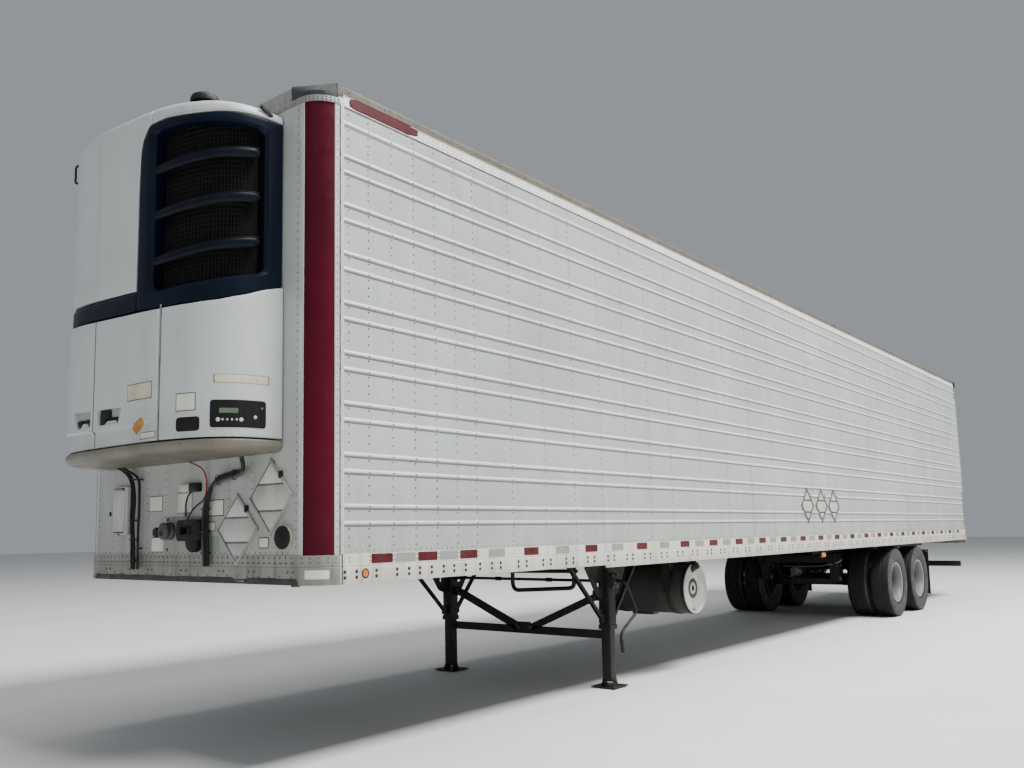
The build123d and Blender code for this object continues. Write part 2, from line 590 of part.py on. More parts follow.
# condenser core behind the louvres
coil = unit_plan(UPPER_PLAN, 90.0, 2880.0, 3860.0) & block(-700.0, -60.0, 260.0, 900.0, 2880.0, 3860.0)
save("unit_condenser", coil)

# back plate against the wall
back = block(-27.0, FRONT_SHEET_S, -940.0, 940.0, 1940.0, 3730.0)
save("unit_back_plate", back)

# diesel engine and compressor as one plain block
engine = block(-390.0, -40.0, -640.0, 520.0, 1932.0, 2620.0)
save("unit_engine", engine)

# =================================================== sliding tandem (bogie)
B_Y = SLIDE_Y
B_TOP = 952.0
B_LOW = 800.0
BOGIE_S = (10640.0, 13190.0)


def bogie_frame():
    parts = None
    for side in (1, -1):
        y = side * B_Y
        rail_ = block(BOGIE_S[0], BOGIE_S[1], y - 50, y + 50, B_LOW, B_TOP)
        parts = rail_ if parts is None else parts + rail_
    # cross tubes: (station, half size)
    for s, h in ((BOGIE_S[0] + 60, 45), (11390, 50), (12012, 50), (BOGIE_S[1] - 60, 45)):
        parts = parts + block(s - h, s + h, -B_Y, B_Y, 815, 930)
    # hanger boxes ahead of each axle carry the pivots of the arms
    for s in AXLE_S:
        for side in (1, -1):
            y = side * B_Y
            h = along_y([(s - 640, B_LOW + 2), (s - 400, B_LOW + 2), (s - 440, 540), (s - 590, 540)], y - 62, y + 62)
            h = h - block(s - 700, s - 300, y - 50, y + 50, 500, 700)
            parts = parts + h
    # arms that carry the mud flaps
    for side in (1, -1):
        parts = parts + block(BOGIE_S[1] - 60, BOGIE_S[1] + 45, side * B_Y, side * 1270, 905, 945)
    # air reservoir between the cross tubes
    parts = parts + cyl_y(12320, 760, -330, 330, 120) + block(12290, 12350, -200, 200, 860, 900)
    parts = parts + block(12012, 12350, -200, -150, 860, 920) + block(12012, 12350, 150, 200, 860, 920)
    return parts


save("bogie_frame", bogie_frame())

# trailing arms and the shock absorbers beside them
arms = []
for s in AXLE_S:
    for side in (1, -1):
        y = side * B_Y
        arm = along_y([(s - 575, 560), (s - 455, 690), (s - 120, 610), (s + 100, 600), (s + 230, 566), (s + 430, 566),
                       (s + 430, 536), (s + 100, 520), (s + 75, 440), (s - 75, 440), (s - 150, 520), (s - 530, 520)],
                      y - 42, y + 42)
        arm = arm - cyl_y(s, AXLE_Z, y - 60, y + 60, 64.5)
        arms.append(arm)
        shock = bar((s - 470, y - side * 96, 905), (s - 130, y - side * 96, 480), 50, 50)
        arms.append(shock)
save("suspension_arms", group(*arms))

# air springs on the tails of the arms
springs = []
for s in AXLE_S:
    for side in (1, -1):
        y = side * B_Y
        c = cyl_z(s + 335, y, 567, 799, 78) + cyl_z(s + 335, y, 640, 790, 112)
        springs.append(c)
save("air_springs", group(*springs))

# axles: straight tubes with thinner spindles at the ends
axles = []
SPINDLE_R = 38.0
for s in AXLE_S:
    a = cyl_y(s, AXLE_Z, -645, 645, 64) + cyl_y(s, AXLE_Z, -1180, 1180, SPINDLE_R)
    axles.append(a)
save("axles", group(*axles))

# brake chambers on the axle tubes
chambers = []
for s in AXLE_S:
    for side in (1, -1):
        y = side * 330.0
        c = cyl_x(y, 640, s + 90, s + 260, 82) + block(s + 40, s + 140, y - 60, y + 60, 560, 620)
        c = c + block(s - 40, s + 90, y - 25, y + 25, 573, 600)
        chambers.append(c)
save("brake_chambers", group(*chambers))

# mud flaps hang behind the wheels
flap = block(BOGIE_S[1] + 46, BOGIE_S[1] + 58, 690, 1285, 215, 948)
save("mud_flaps", group(flap, flip(flap)))

# ==================================================================== wheels
# tyre outline as (radius, offset from the wheel's middle plane), half shown
TYRE_HALF = [(RIM_R, 100), (RIM_R + 22, 122), (RIM_R + 90, 138), (RIM_R + 130, TYRE_W / 2), (RIM_R + 175, 136),
             (TYRE_R - 12, 122), (TYRE_R, 108)]
def revolve_y(pts, s, y_mid, side):
    # pts (radius, offset); offset grows to the outside of the vehicle
    face = Face(Wire.make_polygon([Vector(X(s), y_mid + side * o, AXLE_Z + r) for r, o in pts]))
    ax = Axis((X(s), 0, AXLE_Z), (0, 1, 0))
    return revolve(face, ax, 360)


def tyre(s, y, side):
    pts = TYRE_HALF + [(r, -o) for r, o in reversed(TYRE_HALF)]
    return revolve_y(pts, s, side * y, side)


def wheel_set(s, side):
    # both rims, their discs bolted face to face, the hub and the brake drum.
    # Rows: middle plane, outline as (radius, offset)
    y_in, y_out = DUAL_Y
    mid = (y_in + y_out) / 2
    gap = (y_out - y_in) / 2
    rim = [(RIM_R - 1, -102), (RIM_R - 1, 102), (RIM_R - 16, 108), (RIM_R - 16, -102)]
    rows = [
        (y_in, rim),
        (y_out, rim),
        (mid, [(RIM_R - 14, 30 - gap), (RIM_R - 14, 62 - gap), (205, 0), (88, 0), (88, -13), (198, -13)]),
        (mid, [(RIM_R - 14, gap - 30), (RIM_R - 14, gap - 62), (205, 0), (88, 0), (88, 13), (198, 13)]),
        (mid, [(42, -170), (105, -170), (105, -120), (92, -60), (92, 100), (70, 128), (58, 196), (42, 196)]),
        (mid, [(95, -120), (205, -120), (205, -310), (193, -310), (193, -135), (95, -135)]),
    ]
    out = None
    for y, pts in rows:
        piece = revolve_y(pts, s, side * y, side)
        out = piece if out is None else out + piece
    return out


wheel_names = [("front_left", 0, 1), ("front_right", 0, -1), ("rear_left", 1, 1), ("rear_right", 1, -1)]
for name, i, side in wheel_names:
    s = AXLE_S[i]
    save(name + "_tyres", group(tyre(s, DUAL_Y[0], side), tyre(s, DUAL_Y[1], side)))
    save(name + "_wheels", wheel_set(s, side))
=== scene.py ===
import math
import bpy
import bmesh
import numpy as np
from mathutils import Vector, Matrix


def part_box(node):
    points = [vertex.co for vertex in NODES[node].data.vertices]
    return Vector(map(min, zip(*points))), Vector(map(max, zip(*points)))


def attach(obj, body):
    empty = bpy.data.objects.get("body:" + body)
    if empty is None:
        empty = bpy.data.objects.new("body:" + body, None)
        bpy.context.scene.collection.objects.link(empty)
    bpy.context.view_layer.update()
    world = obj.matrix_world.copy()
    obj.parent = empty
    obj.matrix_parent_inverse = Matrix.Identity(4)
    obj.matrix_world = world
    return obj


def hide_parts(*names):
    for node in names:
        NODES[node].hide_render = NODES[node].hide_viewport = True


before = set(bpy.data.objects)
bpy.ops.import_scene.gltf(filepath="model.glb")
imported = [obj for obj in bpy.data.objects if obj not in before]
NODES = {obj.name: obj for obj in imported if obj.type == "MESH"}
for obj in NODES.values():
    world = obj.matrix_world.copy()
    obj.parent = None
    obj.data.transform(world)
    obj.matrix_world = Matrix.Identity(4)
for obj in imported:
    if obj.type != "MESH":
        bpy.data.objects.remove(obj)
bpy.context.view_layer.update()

# Places are stations like the CAD's: s metres behind the front face of the
# box, y to the left side, z up. A depth d ahead of the face is s = -d.
_a, _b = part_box("kingpin")
X0 = (_a.x + _b.x) / 2 + 0.914


# ------------------------------------------------------------------ geometry
class Geo:
    def __init__(self):
        self.v, self.f, self.m, self.n = [], [], [], 0

    def put(self, vf, m=0):
        V, F = vf
        V = np.asarray(V, float).reshape(-1, 3)
        n = self.n
        self.v.append(V)
        self.f.extend([tuple(i + n for i in f) for f in F])
        self.m.extend([m] * len(F))
        self.n += len(V)
        return self

    def both(self, vf, m=0):
        # the same shell on the left and on the right
        V, F = vf
        V = np.asarray(V, float).reshape(-1, 3)
        self.put((V, F), m)
        return self.put((V * [1, -1, 1], F), m)


def add(name, geo, mats, body="trailer", smooth=35, bevel=0, seg=2, replaces=(), subsurf=0):
    if not isinstance(geo, Geo):
        geo = Geo().put(geo)
    V = np.concatenate(geo.v).copy()
    V[:, 0] = X0 - V[:, 0]
    me = bpy.data.meshes.new(name)
    me.from_pydata(V.tolist(), [], geo.f)
    mats = mats if isinstance(mats, (list, tuple)) else [mats]
    for m in mats:
        me.materials.append(m)
    me.polygons.foreach_set("material_index", geo.m)
    bm = bmesh.new()
    bm.from_mesh(me)
    bmesh.ops.recalc_face_normals(bm, faces=bm.faces)
    bm.to_mesh(me)
    bm.free()
    me.validate()
    ob = bpy.data.objects.new(name, me)
    bpy.context.scene.collection.objects.link(ob)
    if bevel:
        b = ob.modifiers.new("edge", "BEVEL")
        b.width, b.segments, b.limit_method, b.angle_limit = bevel, seg, "ANGLE", math.radians(40)
        b.harden_normals = False
    if subsurf:
        m = ob.modifiers.new("sub", "SUBSURF")
        m.levels = m.render_levels = subsurf
    if smooth:
        me.polygons.foreach_set("use_smooth", [True] * len(me.polygons))
        me.set_sharp_from_angle(angle=math.radians(smooth))
    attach(ob, body)
    if replaces:
        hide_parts(*([replaces] if isinstance(replaces, str) else replaces))
    return ob


AX = {"s": 0, "y": 1, "z": 2}


def prism(poly, axis, a0, a1, cuts=()):
    # polygon in the two other coordinates, run along one axis
    k = AX[axis]
    o = [i for i in range(3) if i != k]
    st = [a0, *cuts, a1]
    n = len(poly)
    V = np.zeros((len(st), n, 3))
    for i, a in enumerate(st):
        V[i, :, k] = a
        V[i, :, o[0]] = [p[0] for p in poly]
        V[i, :, o[1]] = [p[1] for p in poly]
    F = [tuple(range(n))[::-1], tuple((len(st) - 1) * n + j for j in range(n))]
    for i in range(len(st) - 1):
        for j in range(n):
            b = (j + 1) % n
            F.append((i * n + j, i * n + b, (i + 1) * n + b, (i + 1) * n + j))
    return V.reshape(-1, 3), F


def box(s0, s1, y0, y1, z0, z1):
    return prism([(y0, z0), (y1, z0), (y1, z1), (y0, z1)], "s", s0, s1)


def rrect(a0, a1, b0, b1, r, n=4):
    # rounded rectangle as a list of (a, b)
    out = []
    for ca, cb, t in ((a1 - r, b1 - r, 0), (a0 + r, b1 - r, 90), (a0 + r, b0 + r, 180), (a1 - r, b0 + r, 270)):
        for i in range(n + 1):
            w = math.radians(t + 90 * i / n)
            out.append((ca + r * math.cos(w), cb + r * math.sin(w)))
    return out


def pad(poly, axis, a0, a1, edge=0.002):
    # prism whose far end (a1) has a soft edge: three rings
    k = AX[axis]
    o = [i for i in range(3) if i != k]
    P = np.array(poly, float)
    c = P.mean(0)
    size = np.abs(P - c).max(0)
    sh = lambda e: c + (P - c) * (1 - e / np.maximum(size, 1e-6))
    sg = 1 if a1 > a0 else -1
    rings = [(P, a0), (P, a1 - sg * edge), (sh(edge * 0.35), a1 - sg * edge * 0.35), (sh(edge), a1)]
    n = len(P)
    V = np.zeros((len(rings), n, 3))
    for i, (q, a) in enumerate(rings):
        V[i, :, k] = a
        V[i, :, o[0]] = q[:, 0]
        V[i, :, o[1]] = q[:, 1]
    F = [tuple(range(n))[::-1], tuple((len(rings) - 1) * n + j for j in range(n))]
    for i in range(len(rings) - 1):
        for j in range(n):
            b = (j + 1) % n
            F.append((i * n + j, i * n + b, (i + 1) * n + b, (i + 1) * n + j))
    return V.reshape(-1, 3), F


def frame_of(d):
    d = np.asarray(d, float)
    d = d / np.linalg.norm(d)
    a = np.array([0, 0, 1.0]) if abs(d[2]) < 0.9 else np.array([0, 1.0, 0])
    u = np.cross(a, d)
    u /= np.linalg.norm(u)
    return u, np.cross(d, u), d


def lathe(profile, centre, axis, n=32, loop=False, a0=0.0):
    # profile rows (radius, place along the axis); loop joins last to first
    u, v, w = frame_of(axis)
    c = np.asarray(centre, float)
    V, rings = [], []
    for r, a in profile:
        if r < 1e-6:
            rings.append([len(V)])
            V.append(c + w * a)
        else:
            ids = []
            for i in range(n):
                t = 2 * math.pi * i / n + a0
                ids.append(len(V))
                V.append(c + w * a + (u * math.cos(t) + v * math.sin(t)) * r)
            rings.append(ids)
    F = []
    pairs = list(zip(rings, rings[1:]))
    if loop:
        pairs.append((rings[-1], rings[0]))
    for A, B in pairs:
        if len(A) == 1 and len(B) == 1:
            continue
        for i in range(n):
            j = (i + 1) % n
            if len(A) == 1:
                F.append((A[0], B[i], B[j]))
            elif len(B) == 1:
                F.append((A[i], A[j], B[0]))
            else:
                F.append((A[i], A[j], B[j], B[i]))
    if not loop:
        for R in (rings[0], rings[-1]):
            if len(R) > 1:
                F.append(tuple(R))
    return np.array(V), F


def spline(points, per=6, radius=None):
    # smooth line through the points
    P = np.array(points, float)
    if len(P) < 3:
        return P
    ext = np.vstack([2 * P[0] - P[1], P, 2 * P[-1] - P[-2]])
    out = []
    for i in range(len(P) - 1):
        p0, p1, p2, p3 = ext[i:i + 4]
        for k in range(per):
            t = k / per
            out.append(0.5 * ((2 * p1) + (p2 - p0) * t + (2 * p0 - 5 * p1 + 4 * p2 - p3) * t * t
                              + (3 * p1 - p0 - 3 * p2 + p3) * t ** 3))
    out.append(P[-1])
    return np.array(out)


def tube(points, r, n=8, ends=True):
    P = np.asarray(points, float)
    T = np.gradient(P, axis=0)
    T /= np.linalg.norm(T, axis=1)[:, None]
    u, v, _ = frame_of(T[0])
    V = []
    rr = r if hasattr(r, "__len__") else [r] * len(P)
    for i in range(len(P)):
        u = u - T[i] * np.dot(u, T[i])
        u /= np.linalg.norm(u)
        v = np.cross(T[i], u)
        for k in range(n):
            a = 2 * math.pi * k / n
            V.append(P[i] + (u * math.cos(a) + v * math.sin(a)) * rr[i])
    F = []
    for i in range(len(P) - 1):
        for k in range(n):
            j = (k + 1) % n
            F.append((i * n + k, i * n + j, (i + 1) * n + j, (i + 1) * n + k))
    if ends:
        F.append(tuple(range(n)))
        F.append(tuple((len(P) - 1) * n + k for k in range(n)))
    return np.array(V), F


def slab(A, B):
    # closed sheet between two grids of the same size
    n, m = A.shape[:2]
    V = np.concatenate([A.reshape(-1, 3), B.reshape(-1, 3)])
    q = n * m
    F = []
    for i in range(n - 1):
        for j in range(m - 1):
            a, b, c, d = i * m + j, i * m + j + 1, (i + 1) * m + j + 1, (i + 1) * m + j
            F.append((a, b, c, d))
            F.append((q + d, q + c, q + b, q + a))
    for j in range(m - 1):
        F.append((j, j + 1, q + j + 1, q + j))
        k = (n - 1) * m
        F.append((k + j, k + j + 1, q + k + j + 1, q + k + j))
    for i in range(n - 1):
        F.append((i * m, (i + 1) * m, q + (i + 1) * m, q + i * m))
        k = m - 1
        F.append((i * m + k, (i + 1) * m + k, q + (i + 1) * m + k, q + i * m + k))
    return V, F


def rings(loops, close=True, caps=False):
    # loops of equal length joined one to the next
    L = [np.asarray(l, float) for l in loops]
    n = len(L[0])
    V = np.concatenate(L)
    F = []
    for i in range(len(L) - (0 if close else 1)):
        a, b = i * n, ((i + 1) % len(L)) * n
        for j in range(n):
            k = (j + 1) % n
            F.append((a + j, a + k, b + k, b + j))
    if caps:
        F.append(tuple(range(n)))
        F.append(tuple((len(L) - 1) * n + j for j in range(n)))
    return V, F


def dome(c, nrm, r, h, n=6, sink=0.0012):
    u, v, w = frame_of(nrm)
    c = np.asarray(c, float)
    V = []
    for rr, hh in ((r, -sink), (r * 0.92, h * 0.45), (r * 0.5, h)):
        for i in range(n):
            t = 2 * math.pi * i / n
            V.append(c + w * hh + (u * math.cos(t) + v * math.sin(t)) * rr)
    F = [tuple(range(n)), tuple(2 * n + i for i in range(n))]
    for a in (0, n):
        for i in range(n):
            j = (i + 1) % n
            F.append((a + i, a + j, a + n + j, a + n + i))
    return V, F


def hexbolt(c, nrm, r, h, washer=True):
    u, v, w = frame_of(nrm)
    c = np.asarray(c, float)
    V, F = [], []
    def ring(rad, hh, n, t0=0.0):
        k = len(V)
        for i in range(n):
            t = 2 * math.pi * i / n + t0
            V.append(c + w * hh + (u * math.cos(t) + v * math.sin(t)) * rad)
        return list(range(k, k + n))
    def skin(A, B):
        n = len(A)
        for i in range(n):
            j = (i + 1) % n
            F.append((A[i], A[j], B[j], B[i]))
    if washer:
        a, b = ring(r * 1.35, -0.001, 12), ring(r * 1.35, h * 0.22, 12)
        F.append(tuple(a)); F.append(tuple(b)); skin(a, b)
    a, b, d = ring(r, h * 0.15, 6), ring(r, h * 0.85, 6), ring(r * 0.82, h, 6)
    F.append(tuple(a)); F.append(tuple(d)); skin(a, b); skin(b, d)
    return V, F


def rivets(points, nrm, r=0.0048, h=0.0024, n=6):
    g = Geo()
    for p in points:
        g.put(dome(p, nrm, r, h, n))
    return g


def bar(p0, p1, w, h, up=(0, 0, 1)):
    a, b = np.array(p0, float), np.array(p1, float)
    d = b - a
    sd = np.cross(d, up); sd /= np.linalg.norm(sd)
    tp = np.cross(sd, d); tp /= np.linalg.norm(tp)
    V = [q + sd * (w / 2) * i + tp * (h / 2) * j for q in (a, b) for i, j in ((1, 1), (-1, 1), (-1, -1), (1, -1))]
    return V, [(0, 1, 2, 3), (4, 5, 6, 7), (0, 1, 5, 4), (1, 2, 6, 5), (2, 3, 7, 6), (3, 0, 4, 7)]


# ----------------------------------------------------------------- materials
def lin(r, g, b):
    f = lambda c: (c / 255 / 12.92) if c / 255 <= 0.04045 else ((c / 255 + 0.055) / 1.055) ** 2.4
    return (f(r), f(g), f(b), 1.0)


class Mat:
    def __init__(self, name):
        self.m = bpy.data.materials.new(name)
        self.m.use_nodes = True
        self.nt = self.m.node_tree
        self.nt.nodes.clear()
        out = self.nt.nodes.new("ShaderNodeOutputMaterial")
        self.b = self.nt.nodes.new("ShaderNodeBsdfPrincipled")
        self.nt.links.new(self.b.outputs[0], out.inputs[0])
        self.co = self.nt.nodes.new("ShaderNodeTexCoord").outputs["Object"]

    def put(self, sock, v):
        if isinstance(v, bpy.types.NodeSocket):
            self.nt.links.new(v, sock)
        else:
            sock.default_value = v

    def mapping(self, scale=(1, 1, 1), loc=(0, 0, 0), rot=(0, 0, 0), vec=None):
        n = self.nt.nodes.new("ShaderNodeMapping")
        self.nt.links.new(vec or self.co, n.inputs[0])
        n.inputs["Location"].default_value = loc
        n.inputs["Rotation"].default_value = rot
        n.inputs["Scale"].default_value = scale
        return n.outputs[0]

    def noise(self, scale, detail=3.0, rough=0.55, stretch=(1, 1, 1), loc=(0, 0, 0), dist=0.0):
        n = self.nt.nodes.new("ShaderNodeTexNoise")
        self.nt.links.new(self.mapping(stretch, loc), n.inputs["Vector"])
        n.inputs["Scale"].default_value = scale
        n.inputs["Detail"].default_value = detail
        n.inputs["Roughness"].default_value = rough
        n.inputs["Distortion"].default_value = dist
        return n.outputs["Fac"]

    def voronoi(self, scale, feature="F1", stretch=(1, 1, 1), out="Distance", rand=1.0):
        n = self.nt.nodes.new("ShaderNodeTexVoronoi")
        n.feature = feature
        self.nt.links.new(self.mapping(stretch), n.inputs["Vector"])
        n.inputs["Scale"].default_value = scale
        n.inputs["Randomness"].default_value = rand
        return n.outputs[out]

    def wave(self, scale, direction="X", dist=0.0, detail=0.0, profile="SIN", stretch=(1, 1, 1), kind="BANDS"):
        n = self.nt.nodes.new("ShaderNodeTexWave")
        n.wave_type, n.wave_profile = kind, profile
        if kind == "BANDS":
            n.bands_direction = direction
        self.nt.links.new(self.mapping(stretch), n.inputs["Vector"])
        n.inputs["Scale"].default_value = scale
        n.inputs["Distortion"].default_value = dist
        n.inputs["Detail"].default_value = detail
        return n.outputs["Fac"]

    def ramp(self, fac, a, b, x0=0.0, x1=1.0, mid=None, interp="LINEAR"):
        n = self.nt.nodes.new("ShaderNodeValToRGB")
        n.color_ramp.interpolation = interp
        e = n.color_ramp.elements
        e[0].position, e[1].position = x0, x1
        e[0].color, e[1].color = a, b
        if mid:
            k = e.new(mid[0])
            k.color = mid[1]
        self.put(n.inputs[0], fac)
        return n.outputs[0]

    def rng(self, v, a, b, c=0.0, d=1.0):
        n = self.nt.nodes.new("ShaderNodeMapRange")
        n.clamp = True
        self.put(n.inputs[0], v)
        for i, x in enumerate((a, b, c, d)):
            n.inputs[i + 1].default_value = x
        return n.outputs[0]

    def op(self, kind, a, b=0.0, clamp=False):
        n = self.nt.nodes.new("ShaderNodeMath")
        n.operation, n.use_clamp = kind, clamp
        self.put(n.inputs[0], a)
        self.put(n.inputs[1], b)
        return n.outputs[0]

    def mix(self, fac, a, b, blend="MIX"):
        n = self.nt.nodes.new("ShaderNodeMix")
        n.data_type, n.blend_type = "RGBA", blend
        self.put(n.inputs[0], fac)
        self.put(n.inputs[6], a)
        self.put(n.inputs[7], b)
        return n.outputs[2]

    def xyz(self):
        n = self.nt.nodes.new("ShaderNodeSeparateXYZ")
        self.nt.links.new(self.co, n.inputs[0])
        return n.outputs

    def nrm(self):
        g = self.nt.nodes.new("ShaderNodeNewGeometry")
        n = self.nt.nodes.new("ShaderNodeSeparateXYZ")
        self.nt.links.new(g.outputs["Normal"], n.inputs[0])
        return n.outputs

    def bump(self, h, strength=0.3, dist=0.002, normal=None):
        n = self.nt.nodes.new("ShaderNodeBump")
        n.inputs["Strength"].default_value = strength
        n.inputs["Distance"].default_value = dist
        self.put(n.inputs["Height"], h)
        if normal is not None:
            self.put(n.inputs["Normal"], normal)
        return n.outputs[0]

    def end(self, col, rough, normal=None, metal=0.0, coat=0.0, spec=0.5, trans=0.0, emit=None):
        self.put(self.b.inputs["Base Color"], col)
        self.put(self.b.inputs["Roughness"], rough)
        self.b.inputs["Metallic"].default_value = metal
        self.b.inputs["Specular IOR Level"].default_value = spec
        self.b.inputs["Coat Weight"].default_value = coat
        if normal is not None:
            self.put(self.b.inputs["Normal"], normal)
        return self.m


def surface(name, base, dirt, tone=0.06, streak=0.25, low=None, speck=0.1, rough=(0.35, 0.6), metal=0.0,
            peel=0.06, dent=0.0, scuff=0.0, coat=0.0, spec=0.5, streaks=9.0, big=0.9, lowamt=0.55, edge=None,
            brushed=None):
    """A weathered finish: cloudy tone, rain streaks, specks, grime that
    gathers low down, fine texture and shallow dents."""
    k = Mat(name)
    cloud = k.noise(big, 4.0, 0.6)
    d = tuple(x * (1 - tone * 2.2) for x in base[:3]) + (1,)
    h = tuple(min(1, x * (1 + tone)) for x in base[:3]) + (1,)
    col = k.ramp(cloud, d, h, 0.3, 0.7)
    fac = k.rng(k.noise(streaks, 5.0, 0.6, (1, 1, 0.055), (3.1, 1.7, 0)), 0.5, 0.78, 0, streak)
    soft = k.rng(k.noise(2.3, 6.0, 0.7, (1, 1, 0.6), (9, 2, 4)), 0.45, 0.8, 0, streak * 0.7)
    fac = k.op("ADD", fac, soft)
    if low:
        z = k.xyz()[2]
        g = k.rng(z, low[0], low[1], lowamt, 0.0)
        g = k.op("MULTIPLY", g, k.rng(k.noise(5.5, 6.0, 0.7, (1, 1, 0.5)), 0.25, 0.75, 0.25, 1.0))
        fac = k.op("ADD", fac, g)
    if speck:
        fac = k.op("ADD", fac, k.rng(k.noise(130, 3.0, 0.7), 0.62, 0.8, 0, speck))
    if scuff:
        sc = k.rng(k.noise(34, 4.0, 0.75, (0.35, 0.35, 1.7), (2, 5, 1)), 0.66, 0.74, 0, scuff)
        fac = k.op("ADD", fac, sc)
    fac = k.op("MINIMUM", fac, 0.95)
    col = k.mix(fac, col, dirt)
    rg = k.rng(k.noise(6, 5.0, 0.7, (1, 1, 0.4), (1, 8, 3)), 0.3, 0.75, rough[0], rough[1])
    hgt = k.noise(140, 2.0, 0.5)
    if brushed:
        st = {"X": (0.02, 1, 1), "Y": (1, 0.02, 1), "Z": (1, 1, 0.02)}[brushed]
        hgt = k.noise(420, 2.0, 0.5, st)
    nr = k.bump(hgt, peel, 0.0012)
    if dent:
        nr = k.bump(k.noise(4.2, 3.0, 0.5, (1, 1, 0.7), (6, 1, 2)), dent, 0.006, nr)
    return k.end(col, rg, nr, metal, coat, spec)


W_DIRT = lin(118, 112, 98)
G_DIRT = lin(86, 80, 70)
ROAD = lin(74, 68, 60)


def side_paint():
    """White paint of the ribbed sheets: a painted highlight on the upper flank
    of every rib, painted shade with some grime on its lower flank and just beneath it."""
    k = Mat("side_sheet_paint")
    col = k.ramp(k.noise(0.9, 4.0, 0.6), lin(172, 180, 179), lin(189, 197, 195), 0.3, 0.7)
    z = k.xyz()[2]
    ph = k.op("FRACT", k.op("DIVIDE", k.op("SUBTRACT", z, 1.419), 0.3048))
    n = k.nt.nodes.new("ShaderNodeValToRGB")
    e = n.color_ramp.elements
    stops = [(0.0, 0.10), (0.018, 0.22), (0.032, 0.5), (0.045, 0.80), (0.080, 0.95), (0.098, 0.60), (0.115, 0.5), (0.298, 0.5), (0.314, 0.12),
             (0.328, 0.10), (0.348, 0.26), (0.362, 0.5), (0.375, 0.82), (0.408, 0.95), (0.4265, 0.60), (0.445, 0.5), (0.970, 0.5), (0.986, 0.14)]
    e[0].position, e[0].color = stops[0][0], (stops[0][1],) * 3 + (1,)
    e[1].position, e[1].color = 1.0, (0.10, 0.10, 0.10, 1)
    for p, v in stops[1:]:
        q = e.new(p)
        q.color = (v, v, v, 1)
    k.put(n.inputs[0], ph)
    bw = k.nt.nodes.new("ShaderNodeRGBToBW")
    k.nt.links.new(n.outputs[0], bw.inputs[0])
    on_ = k.op("MULTIPLY", k.rng(z, 3.905, 3.915, 1.0, 0.0), k.rng(z, 1.395, 1.40, 0.0, 1.0))
    vary = k.rng(k.noise(3.0, 4.0, 0.7, (1, 1, 0.2)), 0.25, 0.75, 0.72, 1.0)
    # painted shade, with some grime, on the lower flank of each rib and just under it; painted highlight on the upper
    # flank
    dark = k.op("MULTIPLY", k.rng(bw.outputs[0], 0.5, 0.0, 0.0, 0.95), k.op("MULTIPLY", on_, vary))
    rib_highlight = k.op("MULTIPLY", k.rng(bw.outputs[0], 0.5, 1.0, 0.0, 0.85), on_)
    col = k.mix(rib_highlight, col, lin(240, 244, 242))
    col = k.mix(dark, col, lin(66, 70, 70))
    fac = k.rng(k.noise(7, 5.0, 0.6, (1, 1, 0.055), (3.1, 1.7, 0)), 0.5, 0.78, 0, 0.16)
    soft = k.rng(k.noise(2.3, 6.0, 0.7, (1, 1, 0.6), (9, 2, 4)), 0.45, 0.8, 0, 0.16)
    low = k.op("MULTIPLY", k.rng(z, 1.25, 2.0, 0.45, 0.0), k.rng(k.noise(5.5, 6.0, 0.7, (1, 1, 0.5)), 0.25, 0.75, 0.2, 1.0))
    sc = k.op("MULTIPLY", k.rng(k.noise(21, 5.0, 0.8, (0.5, 1, 1.3), (2, 5, 1)), 0.70, 0.76, 0, 0.75), k.rng(z, 1.30, 1.75, 1.0, 0.0))
    fac = k.op("MINIMUM", k.op("ADD", k.op("ADD", fac, soft), k.op("ADD", low, sc)), 0.9)
    col = k.mix(fac, col, W_DIRT)
    rg = k.rng(k.noise(6, 5.0, 0.7, (1, 1, 0.4), (1, 8, 3)), 0.3, 0.75, 0.30, 0.50)
    nr = k.bump(k.noise(140, 2.0, 0.5), 0.05, 0.0012)
    nr = k.bump(k.noise(4.2, 3.0, 0.5, (1, 1, 0.7), (6, 1, 2)), 0.16, 0.006, nr)
    return k.end(col, rg, nr, 0.0, 0.12)


m_side = side_paint()
# rivet heads painted near black: their dirty unpainted colour, darkened further as painted shade round each head
m_rivet = surface("rivet_heads", lin(50, 50, 49), lin(36, 33, 28), 0.1, 0.4, None, 0.2, (0.5, 0.7), metal=0.0, big=6, spec=0.25)
m_front = surface("front_sheet_paint", lin(190, 195, 193), lin(104, 98, 86), 0.03, 0.30, (1.25, 2.3), 0.08, (0.34, 0.55),
                  peel=0.05, dent=0.12, streaks=8)
m_rail = surface("side_rail_paint", lin(214, 212, 201), ROAD, 0.04, 0.40, (1.06, 1.2), 0.12, (0.35, 0.6), peel=0.06,
                 dent=0.06, streaks=14, lowamt=0.45)
m_toprail = surface("top_rail_aluminium", lin(242, 242, 238), lin(112, 96, 76), 0.04, 0.30, None, 0.12, (0.34, 0.58),
                    metal=0.0, streaks=12)
m_toprail_up = surface("top_rail_upper_band", lin(106, 98, 84), lin(60, 50, 38), 0.12, 0.7, None, 0.3, (0.5, 0.75),
                       streaks=10)
m_alu = surface("mill_aluminium", lin(186, 190, 190), lin(96, 92, 84), 0.05, 0.35, None, 0.12, (0.32, 0.55), metal=0.75,
                peel=0.10, brushed="X")
m_alu_grey = surface("corner_aluminium", lin(160, 161, 156), lin(70, 62, 52), 0.08, 0.6, (1.08, 1.3), 0.25, (0.4, 0.62),
                     metal=0.15, peel=0.10, dent=0.1)
m_nose_top = surface("nose_top_band", lin(150, 151, 148), lin(86, 80, 70), 0.06, 0.5, None, 0.2, (0.4, 0.62), metal=0.1, streaks=14)
m_cap = surface("cast_cap_dark", lin(46, 50, 54), lin(112, 108, 100), 0.1, 0.35, None, 0.2, (0.45, 0.65), metal=0.0, peel=0.3, spec=0.3)


